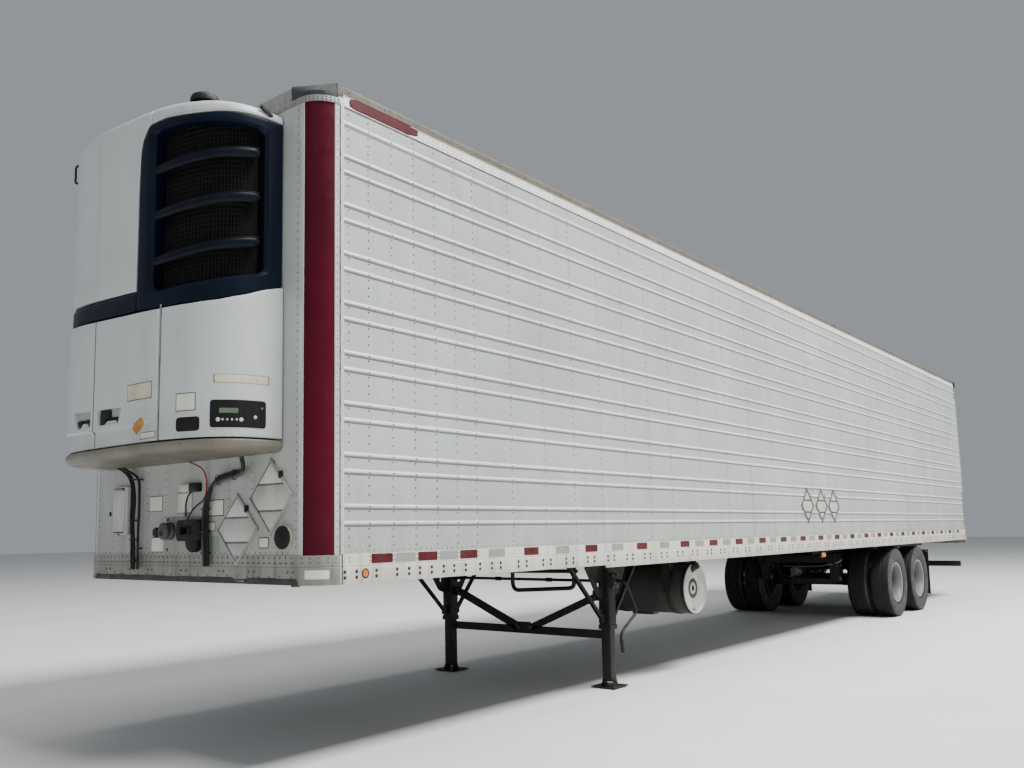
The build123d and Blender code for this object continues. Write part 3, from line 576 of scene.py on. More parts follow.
def red_paint():
    k = Mat("corner_red_paint")
    base = k.ramp(k.noise(1.4, 4.0, 0.6), lin(62, 1, 19), lin(80, 3, 28), 0.3, 0.7)
    # painted highlight: faces turned toward the side are lightened a little toward pale pink
    ny = k.nrm()[1]
    side_facing_lightening = k.op("MULTIPLY", k.rng(ny, 0.25, 0.95, 0.0, 0.05), k.rng(k.noise(5, 5.0, 0.7, (1, 1, 0.35)), 0.2, 0.8, 0.6, 1.0))
    col = k.mix(side_facing_lightening, base, lin(160, 70, 90))
    streak = k.rng(k.noise(14, 5.0, 0.6, (1, 1, 0.04)), 0.55, 0.8, 0, 0.3)
    col = k.mix(streak, col, lin(60, 6, 18))
    z = k.xyz()[2]
    low = k.op("MULTIPLY", k.rng(z, 1.25, 1.55, 1.0, 0.0), k.rng(k.noise(22, 6.0, 0.8, (1, 1, 0.30), (4, 4, 4)), 0.60, 0.68, 0.0, 0.45))
    col = k.mix(low, col, lin(160, 140, 144))
    sc = k.rng(k.noise(26, 5.0, 0.8, (1.6, 1.6, 0.16), (7, 3, 2)), 0.70, 0.74, 0, 0.35)
    col = k.mix(sc, col, lin(190, 170, 172))
    rg = k.rng(k.noise(8, 4.0, 0.7), 0.3, 0.7, 0.28, 0.5)
    return k.end(col, rg, k.bump(k.noise(120, 2.0, 0.5), 0.05, 0.001), 0.0, 0.0, spec=0.16)


m_red = red_paint()
m_trim = surface("corner_trim_bright", lin(214, 218, 218), lin(110, 106, 100), 0.04, 0.3, (1.25, 1.5), 0.1, (0.3, 0.5),
                 metal=0.3, streaks=16)


def tape(name, c0, c1):
    # prismatic sheeting: small cells in a quilted pattern
    k = Mat(name)
    cell = k.voronoi(210, "F1", rand=0.0)
    quilt = k.wave(20, "DIAGONAL", 0.0, profile="SAW")
    col = k.ramp(cell, c0, c1, 0.0, 0.7)
    col = k.mix(k.rng(quilt, 0.0, 0.06, 0.35, 0.0), col, c1)
    dirt = k.rng(k.noise(9, 6.0, 0.75), 0.5, 0.75, 0, 0.45)
    col = k.mix(dirt, col, lin(96, 80, 70))
    return k.end(col, k.rng(k.noise(14, 4.0, 0.6), 0.3, 0.7, 0.25, 0.5), k.bump(cell, 0.15, 0.0006), 0.0, 0.05, spec=0.3)


m_tape_r = tape("sheeting_red", lin(96, 3, 12), lin(62, 2, 9))
m_tape_w = tape("sheeting_white", lin(158, 166, 160), lin(128, 136, 131))

m_unit = surface("unit_white_gelcoat", lin(203, 209, 210), lin(124, 108, 82), 0.025, 0.20, (1.93, 2.15), 0.08, (0.26, 0.46), peel=0.03,
                 dent=0.05, streaks=6, coat=0.1, lowamt=0.3)
m_recess = surface("unit_recess_shade", lin(176, 173, 162), lin(110, 98, 78), 0.05, 0.4, None, 0.12, (0.4, 0.6), peel=0.03, big=9)
m_holder = surface("holder_frame_grey", lin(112, 114, 112), lin(70, 64, 56), 0.08, 0.4, None, 0.2, (0.4, 0.6), metal=0.1, big=6)
m_coupling = surface("coupling_dark_cast", lin(84, 86, 86), lin(56, 50, 44), 0.1, 0.5, None, 0.3, (0.45, 0.7), metal=0.25, peel=0.3, big=18)
m_rim = surface("rim_paint_grey", lin(116, 117, 116), lin(62, 57, 50), 0.10, 0.6, None, 0.3, (0.42, 0.68), metal=0.05, peel=0.1, streaks=12, big=4)
m_navy = surface("unit_navy_plastic", lin(10, 20, 38), lin(48, 52, 62), 0.12, 0.12, None, 0.06, (0.32, 0.5), peel=0.05,
                 streaks=7, spec=0.14)
m_navy_in = surface("unit_navy_inner", lin(5, 7, 14), lin(26, 26, 30), 0.12, 0.2, None, 0.12, (0.5, 0.7), peel=0.1, spec=0.12)
m_slat = surface("louvre_plastic", lin(9, 15, 28), lin(46, 50, 60), 0.1, 0.2, None, 0.12, (0.36, 0.55), peel=0.1, streaks=5, spec=0.15)
m_unit_in = surface("unit_inside_liner", lin(96, 98, 98), lin(50, 46, 42), 0.08, 0.5, None, 0.3, (0.5, 0.8), peel=0.3)
# the pan is painted a dark grey-brown rather than pale cream: painted shade for its shaded underside; it is also darker
# towards its lower edge
m_pan = surface("unit_pan", lin(122, 120, 108), lin(74, 62, 46), 0.06, 0.42, (1.85, 1.9), 0.12, (0.35, 0.6), peel=0.05,
                streaks=4, lowamt=0.6)
m_black = surface("black_plastic", lin(20, 21, 22), lin(80, 76, 70), 0.1, 0.25, None, 0.12, (0.42, 0.65), peel=0.2, spec=0.25)
m_rubber = surface("black_rubber", lin(24, 24, 25), lin(74, 70, 66), 0.1, 0.3, None, 0.18, (0.6, 0.85), peel=0.3, spec=0.25)
m_hose = surface("hose_rubber", lin(18, 19, 21), lin(74, 70, 64), 0.1, 0.3, None, 0.12, (0.38, 0.6), peel=0.15, spec=0.3)
m_hose_grey = surface("conduit_grey", lin(88, 90, 92), lin(60, 56, 50), 0.1, 0.35, None, 0.15, (0.4, 0.6), peel=0.15)
m_tie = surface("tie_plastic", lin(44, 44, 46), lin(96, 92, 86), 0.1, 0.3, None, 0.1, (0.35, 0.55))
m_wire_red = surface("wire_red", lin(148, 34, 28), lin(70, 50, 44), 0.1, 0.3, None, 0.1, (0.35, 0.6))
m_steel_blk = surface("chassis_black_paint", lin(22, 22, 23), lin(72, 64, 54), 0.1, 0.30, (0.0, 1.1), 0.16, (0.45, 0.75), peel=0.25,
                      lowamt=0.24, streaks=10, spec=0.25)
m_leg = surface("leg_paint_worn", lin(26, 27, 28), lin(84, 78, 68), 0.12, 0.36, (0.0, 0.6), 0.2, (0.45, 0.7), peel=0.2,
                lowamt=0.22, metal=0.0, scuff=0.35, spec=0.25)
m_zinc = surface("zinc_plate", lin(178, 180, 178), lin(92, 86, 76), 0.1, 0.4, None, 0.25, (0.3, 0.55), metal=0.8, peel=0.2, big=18)
m_bolt = surface("bolt_zinc", lin(96, 95, 90), lin(54, 48, 42), 0.12, 0.5, None, 0.3, (0.4, 0.65), metal=0.3, big=30)
m_rust = surface("rubbed_steel", lin(132, 128, 124), lin(98, 66, 44), 0.12, 0.5, None, 0.35, (0.35, 0.65), metal=0.7, peel=0.25, big=9)
# the disc is painted much darker than the rim: some grime, and painted shade inside the rim
m_disc = surface("wheel_paint", lin(66, 68, 70), lin(44, 40, 36), 0.12, 0.6, None, 0.35, (0.45, 0.7), metal=0.05,
                 peel=0.1, streaks=12, big=5)
m_drum = surface("drum_cast_iron", lin(66, 62, 58), lin(104, 74, 54), 0.14, 0.5, None, 0.35, (0.6, 0.85), metal=0.3, peel=0.5, big=8)
# the aluminium tank body is painted dark grey as painted shade, for it hangs in the shade under the floor, while its
# end stays bright; it is also darker towards its bottom
m_tank_body = surface("tank_body_alu", lin(58, 58, 57), lin(40, 36, 31), 0.08, 0.5, (0.5, 0.8), 0.2, (0.45, 0.7), metal=0.15,
                      peel=0.1, lowamt=0.5, spec=0.3)
m_tank_end = surface("tank_end_bright", lin(172, 172, 169), lin(104, 98, 88), 0.08, 0.4, None, 0.15, (0.25, 0.45), metal=0.25,
                     peel=0.08, big=4)
m_label = surface("blank_label_pale", lin(226, 226, 216), lin(140, 132, 114), 0.05, 0.35, None, 0.15, (0.4, 0.6), peel=0.05, big=7)
m_label_cream = surface("blank_label_cream", lin(214, 208, 186), lin(136, 120, 92), 0.05, 0.35, None, 0.15, (0.4, 0.6), peel=0.05, big=7)
m_label_edge = surface("blank_label_border", lin(96, 97, 94), lin(66, 60, 52), 0.05, 0.35, None, 0.15, (0.4, 0.6), big=7)
m_label_green = surface("blank_label_grey_green", lin(150, 160, 148), lin(104, 100, 86), 0.08, 0.4, None, 0.2, (0.4, 0.6), big=9)
m_plate_red = surface("blank_plate_dark_red", lin(82, 10, 24), lin(60, 34, 32), 0.08, 0.35, None, 0.1, (0.35, 0.55), big=3, spec=0.25)
m_doc = surface("document_box_plastic", lin(206, 209, 206), lin(120, 112, 98), 0.04, 0.35, (1.4, 1.6), 0.15, (0.35, 0.55), streaks=14)
m_tan = surface("tan_ring", lin(168, 160, 142), lin(100, 92, 76), 0.06, 0.4, None, 0.2, (0.45, 0.65), big=12)
m_green = surface("lens_green_grey", lin(96, 118, 92), lin(40, 50, 40), 0.1, 0.1, None, 0.0, (0.15, 0.3), coat=0.4, big=12)
m_button = surface("button_light", lin(206, 208, 206), lin(130, 126, 118), 0.05, 0.2, None, 0.1, (0.3, 0.5), big=20)
m_roof = surface("roof_sheet", lin(214, 216, 212), lin(110, 104, 92), 0.06, 0.4, None, 0.15, (0.4, 0.6), streaks=3, big=1.4)
m_liner = surface("liner_scuffed", lin(226, 227, 222), lin(140, 134, 122), 0.03, 0.3, (1.35, 2.2), 0.08, (0.35, 0.55), peel=0.15,
                  scuff=0.35)
m_seal = surface("door_gasket", lin(34, 34, 35), lin(90, 86, 78), 0.1, 0.3, None, 0.1, (0.55, 0.8))
m_door = surface("door_paint", lin(224, 226, 222), lin(124, 114, 96), 0.03, 0.35, (1.35, 2.4), 0.1, (0.32, 0.52), peel=0.05, dent=0.08,
                 streaks=8, coat=0.15)
m_rearsteel = surface("rear_frame_stainless", lin(176, 178, 176), lin(96, 86, 72), 0.05, 0.45, (1.0, 1.8), 0.2, (0.32, 0.55), metal=0.7,
                      peel=0.1, brushed="Z")
m_lens_red = surface("lens_red", lin(140, 16, 18), lin(70, 12, 12), 0.15, 0.1, None, 0.0, (0.12, 0.3), coat=0.5, big=25)
m_lens_amber = surface("lens_amber", lin(214, 122, 24), lin(130, 70, 16), 0.15, 0.15, None, 0.0, (0.12, 0.3), coat=0.5, big=25)


def floor_alu():
    k = Mat("t_floor_aluminium")
    x, y, z = k.xyz()
    track = k.rng(k.noise(1.1, 5.0, 0.65, (0.3, 2.2, 1)), 0.35, 0.7, 0.0, 0.6)
    col = k.ramp(k.noise(3, 5.0, 0.6, (0.2, 3, 1)), lin(146, 148, 148), lin(190, 192, 190), 0.3, 0.7)
    col = k.mix(track, col, lin(104, 98, 90))
    rg = k.rng(k.noise(7, 5.0, 0.7, (0.2, 3, 1)), 0.3, 0.7, 0.3, 0.6)
    return k.end(col, rg, k.bump(k.noise(260, 2.0, 0.5, (0.05, 1, 1)), 0.2, 0.001), 0.8)


m_floor_alu = floor_alu()


def galvanised(name, a, b, dirt):
    k = Mat(name)
    sp = k.voronoi(46, "F1", out="Color")
    g = k.nt.nodes.new("ShaderNodeRGBToBW")
    k.nt.links.new(sp, g.inputs[0])
    col = k.ramp(g.outputs[0], a, b, 0.1, 0.9)
    col = k.mix(k.rng(k.noise(4.5, 6.0, 0.7), 0.45, 0.75, 0, 0.6), col, dirt)
    col = k.mix(k.rng(k.noise(18, 5.0, 0.7, (1, 1, 0.3)), 0.6, 0.75, 0, 0.4), col, lin(108, 76, 52))
    rg = k.rng(k.noise(30, 4.0, 0.6), 0.3, 0.7, 0.4, 0.65)
    return k.end(col, rg, k.bump(k.noise(90, 3.0, 0.5), 0.12, 0.001), 0.55)


m_galv = galvanised("galvanised_steel", lin(132, 136, 138), lin(176, 178, 178), lin(84, 78, 70))


def tyre_mat():
    k = Mat("tyre_rubber")
    dust = k.rng(k.noise(7, 6.0, 0.7), 0.3, 0.72, 0.05, 0.6)
    col = k.mix(dust, lin(38, 38, 39), lin(104, 103, 101))
    # painted shade: faces turned away from the side (the tread band) are painted darker than the dusty side walls
    flat = k.rng(k.op("ABSOLUTE", k.nrm()[1]), 0.62, 0.90, 0.0, 1.0)
    col = k.mix(flat, k.mix(k.rng(k.noise(9, 5.0, 0.7), 0.4, 0.8, 0, 0.5), lin(17, 18, 21), lin(44, 43, 42)), col)
    col = k.mix(k.rng(k.noise(60, 4.0, 0.7), 0.55, 0.75, 0, 0.3), col, lin(30, 29, 29))
    z = k.xyz()[2]
    return k.end(col, k.rng(k.noise(24, 4.0, 0.6), 0.3, 0.7, 0.7, 0.92), k.bump(k.noise(180, 3.0, 0.6), 0.35, 0.0015), 0.0, spec=0.3)


m_tyre = tyre_mat()


def coil_mat():
    # fins: a fine upright comb with darker rows of pipe behind
    k = Mat("condenser_fins")
    fins = k.wave(95, "Y", 0.6, 1.0, stretch=(1, 1, 1))
    rows = k.wave(6.2, "Z", 0.2, 0.5)
    col = k.ramp(fins, lin(5, 5, 6), lin(26, 26, 27), 0.25, 0.85)
    col = k.mix(k.rng(rows, 0.7, 0.95, 0, 0.45), col, lin(8, 8, 8))
    col = k.mix(k.rng(k.noise(4, 6.0, 0.75), 0.42, 0.75, 0, 0.6), col, lin(22, 20, 18))
    return k.end(col, k.rng(k.noise(9, 4.0, 0.6), 0.3, 0.7, 0.45, 0.75), k.bump(fins, 0.6, 0.003), 0.1, spec=0.15)


m_coil = coil_mat()


def engine_mat():
    k = Mat("engine_oily")
    col = k.ramp(k.noise(5, 6.0, 0.7), lin(40, 40, 42), lin(96, 94, 90), 0.3, 0.7)
    col = k.mix(k.rng(k.noise(3.1, 5.0, 0.7), 0.5, 0.7, 0, 0.8), col, lin(30, 24, 20))
    return k.end(col, k.rng(k.noise(8, 4.0, 0.6), 0.3, 0.7, 0.3, 0.75), k.bump(k.noise(26, 5.0, 0.7), 0.5, 0.01), 0.45)


m_engine = engine_mat()


def crumpled(name, a, b):
    # thin plate pushed in by knocks
    k = Mat(name)
    col = k.ramp(k.noise(9, 6.0, 0.7), a, b, 0.3, 0.72)
    col = k.mix(k.rng(k.noise(30, 5.0, 0.75), 0.6, 0.72, 0, 0.55), col, lin(150, 144, 134))
    n1 = k.bump(k.noise(11, 4.0, 0.6, (1, 1, 2.2)), 0.8, 0.01)
    return k.end(col, k.rng(k.noise(12, 4.0, 0.6), 0.3, 0.7, 0.4, 0.7), k.bump(k.noise(70, 3.0, 0.6), 0.3, 0.002, n1), 0.2)


m_dented = crumpled("dented_lip_black", lin(34, 34, 35), lin(64, 62, 60))

m_placard = surface("placard_plate", lin(204, 206, 200), lin(120, 112, 98), 0.04, 0.3, None, 0.12, (0.34, 0.55), metal=0.15, big=6)
m_placard_rail = surface("placard_rail", lin(166, 169, 166), lin(104, 98, 88), 0.06, 0.35, None, 0.15, (0.4, 0.6), metal=0.1, big=6)
m_placard_line = surface("placard_line", lin(104, 106, 105), lin(70, 66, 58), 0.08, 0.3, None, 0.12, (0.5, 0.7), big=6)
# dark gaps, grooves and small dark parts; also the painted shadow lines along the top rail
m_dark_line = surface("dark_gaps_and_shadow_lines", lin(30, 29, 28), lin(58, 52, 44), 0.1, 0.2, None, 0.1, (0.6, 0.8))
m_fin_dark = surface("guard_wire_dark", lin(14, 15, 18), lin(40, 38, 36), 0.1, 0.2, None, 0.1, (0.4, 0.6), big=8)
m_tan_label = surface("blank_label_tan", lin(190, 128, 52), lin(120, 88, 50), 0.06, 0.25, None, 0.12, (0.4, 0.6), big=9)


# ---------------------------------------------------------------- side walls
RIBS = sorted([1.419 + 0.3048 * k for k in range(8)] + [1.519 + 0.3048 * k for k in range(8)] + [3.865])
COLS = [0.411 + 0.2032 * i for i in range(6)]
COLS += [COLS[-1] + 0.4064 * i for i in range(1, 8)]
COLS += [COLS[-1] + 0.6096 * i for i in range(1, 19)]
COLS = [c for c in COLS if c < 15.9]
S_A, S_B = 0.1765, 16.05


def side_profile():
    # (z, how far the sheet stands out, share of the pillow at that height)
    rows = [(1.256, 0.0, 0.0)]
    zs = [1.256] + RIBS
    for i, z in enumerate(RIBS):
        below = zs[i] + (0.030 if i else 0.0)
        span = z - below
        for t in (0.18, 0.5, 0.82):
            if span > 0.12 or t == 0.5:
                rows.append((below + span * t, 0.0, 1.0 if span > 0.12 else 0.5))
        rows += [(z, 0.0, 0.0), (z + 0.004, 0.0052, 0.0), (z + 0.009, 0.0080, 0.0), (z + 0.019, 0.0080, 0.0),
                 (z + 0.025, 0.0050, 0.0), (z + 0.030, 0.0, 0.0)]
    rows += [(3.925, 0.0, 0.8), (3.955, 0.0, 0.5), (3.980, 0.0, 0.0)]
    return rows


def side_grid():
    rows = side_profile()
    st, wt = [S_A], [0.0]
    edges = [S_A] + COLS + [S_B]
    for a, b in zip(edges, edges[1:]):
        for t in (0.06, 0.25, 0.5, 0.75, 0.94, 1.0):
            st.append(a + (b - a) * t)
            wt.append(max(0.0, 1 - abs(2 * t - 1) ** 2.4) * min(1.0, (b - a) / 0.4))
    A = np.zeros((len(st), len(rows), 3))
    for i, (s, w) in enumerate(zip(st, wt)):
        bay = math.sin(i // 6 * 12.9898) * 0.5 + 0.5
        for j, (z, o, p) in enumerate(rows):
            vary = math.sin(i // 6 * 7.1 + j * 1.3) * 0.35 + 0.65
            A[i, j] = (s, 1.289 + o + 0.0030 * w * p * vary * (0.5 + bay), z)
    return A


LINER_Z = [1.208, 1.345, 1.349, 1.62, 1.624, 1.632, 1.636, 2.30, 2.304, 2.318, 2.322, 3.30, 3.304, 3.318, 3.322, 3.98]
LINER_O = [0, 0, -0.0015, -0.0015, 0.003, 0.003, -0.0, 0.0, 0.004, 0.004, 0, 0, 0.004, 0.004, 0, 0]


def side_wall(name, sg, node):
    A = side_grid()
    g = Geo()
    n, m, _ = A.shape
    inner = [(1.231 + (o if o > 0 else 0.0), z) for z, o in zip(LINER_Z, LINER_O)]
    loop = [(1.283, 1.208), (1.283, 1.256)]
    ring = []
    for i in range(n):
        L = [(A[i, 0, 0], y, z) for y, z in loop]
        L += [tuple(p) for p in A[i]]
        L += [(A[i, 0, 0], y, z) for y, z in reversed(inner)]
        ring.append(np.array(L) * [1, sg, 1])
    g.put(rings(ring, close=False, caps=True))
    return add(name, g, m_side, smooth=28, replaces=node)


side_wall("side_skin_left", 1, "left_side_wall")
side_wall("side_skin_right", -1, "right_side_wall")


def near_rib(z, gap=0.012):
    return any(r - gap < z < r + 0.030 + gap for r in RIBS)


RIV_Z = [z for z in np.arange(1.30, 3.965, 0.0508) if not near_rib(z)]
for nm, sg in (("left", 1), ("right", -1)):
    g = Geo()
    for c in [0.193, 0.247] + COLS:
        for z in RIV_Z:
            g.put(dome((c, sg * 1.289, z), (0, sg, 0), 0.0062, 0.0028, 6))
        for r in RIBS:
            if c > 0.3:
                g.put(dome((c, sg * 1.297, r + 0.014), (0, sg, 0), 0.0062, 0.0024, 6))
    for s in np.arange(0.30, 16.03, 0.0508):
        g.put(dome((s, sg * 1.289, 1.272), (0, sg, 0), 0.0046, 0.0024, 6))
    add("side_rivets_" + nm, g, m_rivet, smooth=60)

# lap joints of the side sheets: a thin second sheet edge at every fourth column
g = Geo()
zz = []
for a, b in zip([1.2575] + [r + 0.0305 for r in RIBS], RIBS + [3.979]):
    if b - a > 0.05:
        zz.append((a, b))
for c in COLS[1::3]:
    for a, b in zz:
        g.both(box(c - 0.020, c + 0.020, 1.2885, 1.2901, a, b))
add("side_lap_joints", g, m_side, smooth=0)

# ------------------------------------------------------------- bottom rails
RAIL = [(1.2955, 1.083), (1.2955, 1.176), (1.2935, 1.1785), (1.2935, 1.187), (1.2955, 1.1895), (1.2955, 1.1925),
        (1.2945, 1.196), (1.2945, 1.250), (1.2930, 1.256), (1.283, 1.256), (1.283, 1.208), (1.231, 1.208),
        (1.231, 1.196), (1.283, 1.196), (1.283, 1.093), (1.243, 1.093), (1.243, 1.083)]
g = Geo()
g.both(prism(RAIL, "s", S_A, S_B))
g.both(prism([(1.283, 1.0632), (1.2955, 1.0632), (1.2955, 1.0835), (1.283, 1.0835)], "s", 3.070, S_B))
add("bottom_side_rails", g, m_rail, smooth=0, replaces="side_bottom_rails")

g = Geo()
for c in COLS + [0.247]:
    for z in (1.212, 1.238):
        g.both(dome((c, 1.2945, z), (0, 1, 0), 0.0052, 0.0028))
add("rail_rivets", g, m_rivet, smooth=60)

g = Geo()
singles = [0.209, 0.302, 0.463, 0.639, 0.744, 0.843, 0.953, 1.068, 1.172, 1.290, 1.440]
for s in singles:
    for z in (1.121, 1.154):
        g.both(hexbolt((s, 1.2955, z), (0, 1, 0), 0.0112, 0.0030, False))
pairs = [1.570 + 0.3048 * k for k in range(48) if 1.570 + 0.3048 * k < 15.9]
for s in pairs:
    for ds in (0.0, 0.098):
        for z in (1.121, 1.154):
            g.both(hexbolt((s + ds, 1.2955, z), (0, 1, 0), 0.0112, 0.0030, False))
add("rail_bolts", g, m_dark_line, smooth=30)

# sheeting on the rail
gr, gw = Geo(), Geo()


def strip(g, s):
    g.both(pad(rrect(s - 0.09, s + 0.09, 1.1965, 1.2525, 0.004, 2), "y", 1.2942, 1.2962, 0.0006))


for i in range(5):
    strip(gw if i % 2 else gr, (COLS[i] + COLS[i + 1]) / 2)
for i in range(5, 12):
    strip(gr if i % 2 == 0 else gw, (COLS[i] + COLS[i + 1]) / 2)
for c in COLS[12:]:
    if c + 0.29 < 15.9:
        strip(gr, c + 0.198)
    if c + 0.59 < 15.7:
        strip(gw, c + 0.50)
add("rail_sheeting_red", gr, m_tape_r, smooth=0)
add("rail_sheeting_white", gw, m_tape_w, smooth=0)

# marker lamps: a round one at the front, oval ones that hang from the rail
g, gb = Geo(), Geo()
g.both(lathe([(0.0, 0.0036), (0.012, 0.0034), (0.020, 0.0022), (0.0225, -0.001), (0, -0.001)], (0.373, 1.2955, 1.14), (0, 1, 0), 20))
gb.both(lathe([(0.0225, -0.001), (0.0225, 0.002), (0.0275, 0.0026), (0.030, 0.001), (0.030, -0.001)], (0.373, 1.2955, 1.14), (0, 1, 0), 20, loop=True))
for s in (8.24,):
    g.both(pad(rrect(s - 0.055, s + 0.055, 0.985, 1.035, 0.02, 4), "y", 1.270, 1.290, 0.006))
    gb.both(pad(rrect(s - 0.065, s + 0.065, 0.975, 1.064, 0.015, 4), "y", 1.250, 1.271, 0.003))
for s in (15.93,):
    g.both(pad(rrect(s - 0.035, s + 0.035, 1.118, 1.150, 0.012, 4), "y", 1.2945, 1.2990, 0.002))
add("marker_lens_amber", g, m_lens_amber, smooth=50)
add("marker_lamp_housings", gb, m_black, smooth=50)

# small blank square plates on the rail
g, gb = Geo(), Geo()
for s, z in ((15.30, 1.30),):
    g.both(pad(rrect(s - 0.05, s + 0.05, 1.1965, 1.24, 0.004, 2), "y", 1.2942, 1.2964, 0.0006))
add("rail_blank_labels", g, m_label, smooth=0)

# ------------------------------------------------------------------ top rails
g = Geo()
TOPR = [(1.231, 3.980), (1.2945, 3.980), (1.2955, 3.983), (1.2955, 4.044), (1.2925, 4.047), (1.2925, 4.056), (1.2945, 4.060),
        (1.2945, 4.098), (1.2915, 4.106), (1.2830, 4.112), (1.270, 4.114), (1.231, 4.114)]
g.both(prism(TOPR, "s", S_A, S_B))
top = add("top_side_rails", g, [m_toprail, m_toprail_up], smooth=0, replaces="side_top_rails")
for p in top.data.polygons:
    if p.center.z > 4.052:
        p.material_index = 1
g = Geo()
for s in np.arange(0.20, 16.03, 0.0508):
    for z in (3.995, 4.028):
        g.both(dome((s, 1.2955, z), (0, 1, 0), 0.0042, 0.0024))
for s in np.arange(0.25, 16.03, 0.1524):
    g.both(dome((s, 1.2945, 4.080), (0, 1, 0), 0.0045, 0.0024))
add("top_rail_rivets", g, m_rivet, smooth=60)

# blank dark red plate on the lower band of the rail, with a lighter edge
g, ge = Geo(), Geo()
PL_OUT = [(0.244, 4.020), (0.252, 4.040), (0.272, 4.050), (0.300, 4.053), (0.742, 4.053), (0.752, 4.060), (0.775, 4.056), (0.800, 4.050), (0.850, 4.046),
          (0.872, 4.036), (0.850, 4.026), (0.868, 4.014), (0.846, 4.002), (0.800, 3.994), (0.775, 3.988), (0.752, 3.984), (0.742, 3.987), (0.300, 3.987),
          (0.272, 3.990), (0.252, 4.000)]
ge.both(pad([(a, b) for a, b in PL_OUT], "y", 1.2950, 1.2978, 0.0008))
c_ = (0.545, 4.020)
g.both(pad([(c_[0] + (a - c_[0]) * 0.975, c_[1] + (b - c_[1]) * 0.86) for a, b in PL_OUT], "y", 1.2970, 1.2984, 0.0004))
add("top_rail_blank_plates", g, m_plate_red, smooth=0)
add("top_rail_plate_edges", ge, m_red, smooth=0)

# edge lines of the top rail: painted shadow, dark strips over and under the bright band where its steps are shadowed
g = Geo()
g.both(box(S_A, S_B, 1.2925, 1.2948, 4.0466, 4.0510))
g.both(box(S_A, S_B, 1.2885, 1.2935, 3.9765, 3.9802))
add("top_rail_shadow_lines", g, m_dark_line, smooth=0)

# roof seams and bows that show through the roof sheet
g = Geo()
for s in np.arange(0.6096, 16.0, 1.2192):
    g.put(box(s - 0.025, s + 0.025, -1.228, 1.228, 4.107, 4.1095))
add("roof_lap_seams", g, m_roof, smooth=0)
g = Geo()
for s in np.arange(0.25, 16.0, 0.1016):
    g.both(dome((s, 1.205, 4.108), (0, 0, 1), 0.0045, 0.0022))
for s in np.arange(0.6096, 16.0, 1.2192):
    for y in np.arange(-1.15, 1.16, 0.1):
        g.put(dome((s, y, 4.1095), (0, 0, 1), 0.0045, 0.0022))
add("roof_rivets", g, m_rivet, smooth=60)


# ---------------------------------------------------------------- front wall
CY, CS = 1.119, 0.1765


def arc_pt(r, deg, z, sg=1):
    t = math.radians(deg)
    return (CS - r * math.cos(t), sg * (CY + r * math.sin(t)), z)


g = Geo()
for sg in (1, -1):
    for a0, a1 in ((2.5, 12), (78, 88.5)):
        n = 6
        A = np.array([[arc_pt(0.1722, a0 + (a1 - a0) * i / n, z, sg) for z in (1.2545, 3.979)] for i in range(n + 1)])
        B = np.array([[arc_pt(0.1695, a0 + (a1 - a0) * i / n, z, sg) for z in (1.2545, 3.979)] for i in range(n + 1)])
        g.put(slab(A, B))
    # raised beads at the edges of the trims
    for a in (12.4, 77.6):
        A = np.array([[arc_pt(0.1735 if k == 1 else 0.1700, a - 0.9 + 0.9 * k, z, sg) for z in (1.2545, 3.979)] for k in range(3)])
        B = np.array([[arc_pt(0.1690, a - 0.9 + 0.9 * k, z, sg) for z in (1.2545, 3.979)] for k in range(3)])
        g.put(slab(A, B))
add("corner_trims", g, m_trim, smooth=40)
g = Geo()
g.both(box(0.1765, 0.200, 1.2885, 1.2985, 1.2565, 3.979))
g.both(box(0.200, 0.208, 1.2885, 1.2925, 1.2565, 3.979))
add("corner_side_strips", g, m_trim, smooth=0)

CORNER_RIV = Geo()
for sg in (1, -1):
    for z in np.arange(1.30, 3.97, 0.0508):
        CORNER_RIV.put(dome((0.0065, sg * 1.104, z), (-1, 0, 0), 0.0046, 0.0024))
        p = arc_pt(0.1722, 83.5, z, sg)
        CORNER_RIV.put(dome(p, (-math.cos(math.radians(83.5)), sg * math.sin(math.radians(83.5)), 0), 0.0042, 0.0022))
add("corner_rivets", CORNER_RIV, m_rivet, smooth=60)

# sheet seams of the front wall with their rivets
g, gr = Geo(), Geo()
FRONT_Z = np.arange(1.30, 3.97, 0.0508)
for y in (-1.106, -0.905, -0.473, -0.245, 0.213, 0.453, 0.693, 0.905, 1.107):
    g.put(box(0.0050, 0.0068, y - 0.024, y + 0.024, 1.2545, 3.979))
    for z in FRONT_Z:
        gr.put(dome((0.0050, y, z), (-1, 0, 0), 0.0046, 0.0026))
for y in np.arange(-1.10, 1.11, 0.0508):
    gr.put(dome((0.0062, y, 1.268), (-1, 0, 0), 0.0044, 0.0026))
    gr.put(dome((0.0000, y, 1.210), (-1, 0, 0), 0.0040, 0.0024))
    for z in (3.995, 4.030):
        gr.put(dome((0.0000, y, z), (-1, 0, 0), 0.0040, 0.0024))
add("front_sheet_seams", g, m_front, smooth=0)
add("front_rivets", gr, m_rivet, smooth=60)

# wide sheet joint ribs beside the opening of the cooling unit
g = Geo()
for z in (1.90,):
    g.put(box(0.0030, 0.0066, -1.10, 1.10, z - 0.012, z + 0.012))
add("front_cross_joint", g, m_front, smooth=0)


def nose_loop(r_out, z, s_front, y_end=1.119, grow=0.0, n=10, tail=CS):
    # outline across the nose from the left side round to the right
    L = [(tail, 1.119 + r_out, z)] if tail > CS + 1e-6 else []
    for i in range(n + 1):
        L.append(arc_pt(r_out, 90 - 90 * i / n, z, 1))
    for i in range(n + 1):
        L.append(arc_pt(r_out, 90 * i / n, z, -1))
    if tail > CS + 1e-6:
        L.append((tail, -1.119 - r_out, z))
    return np.array(L)


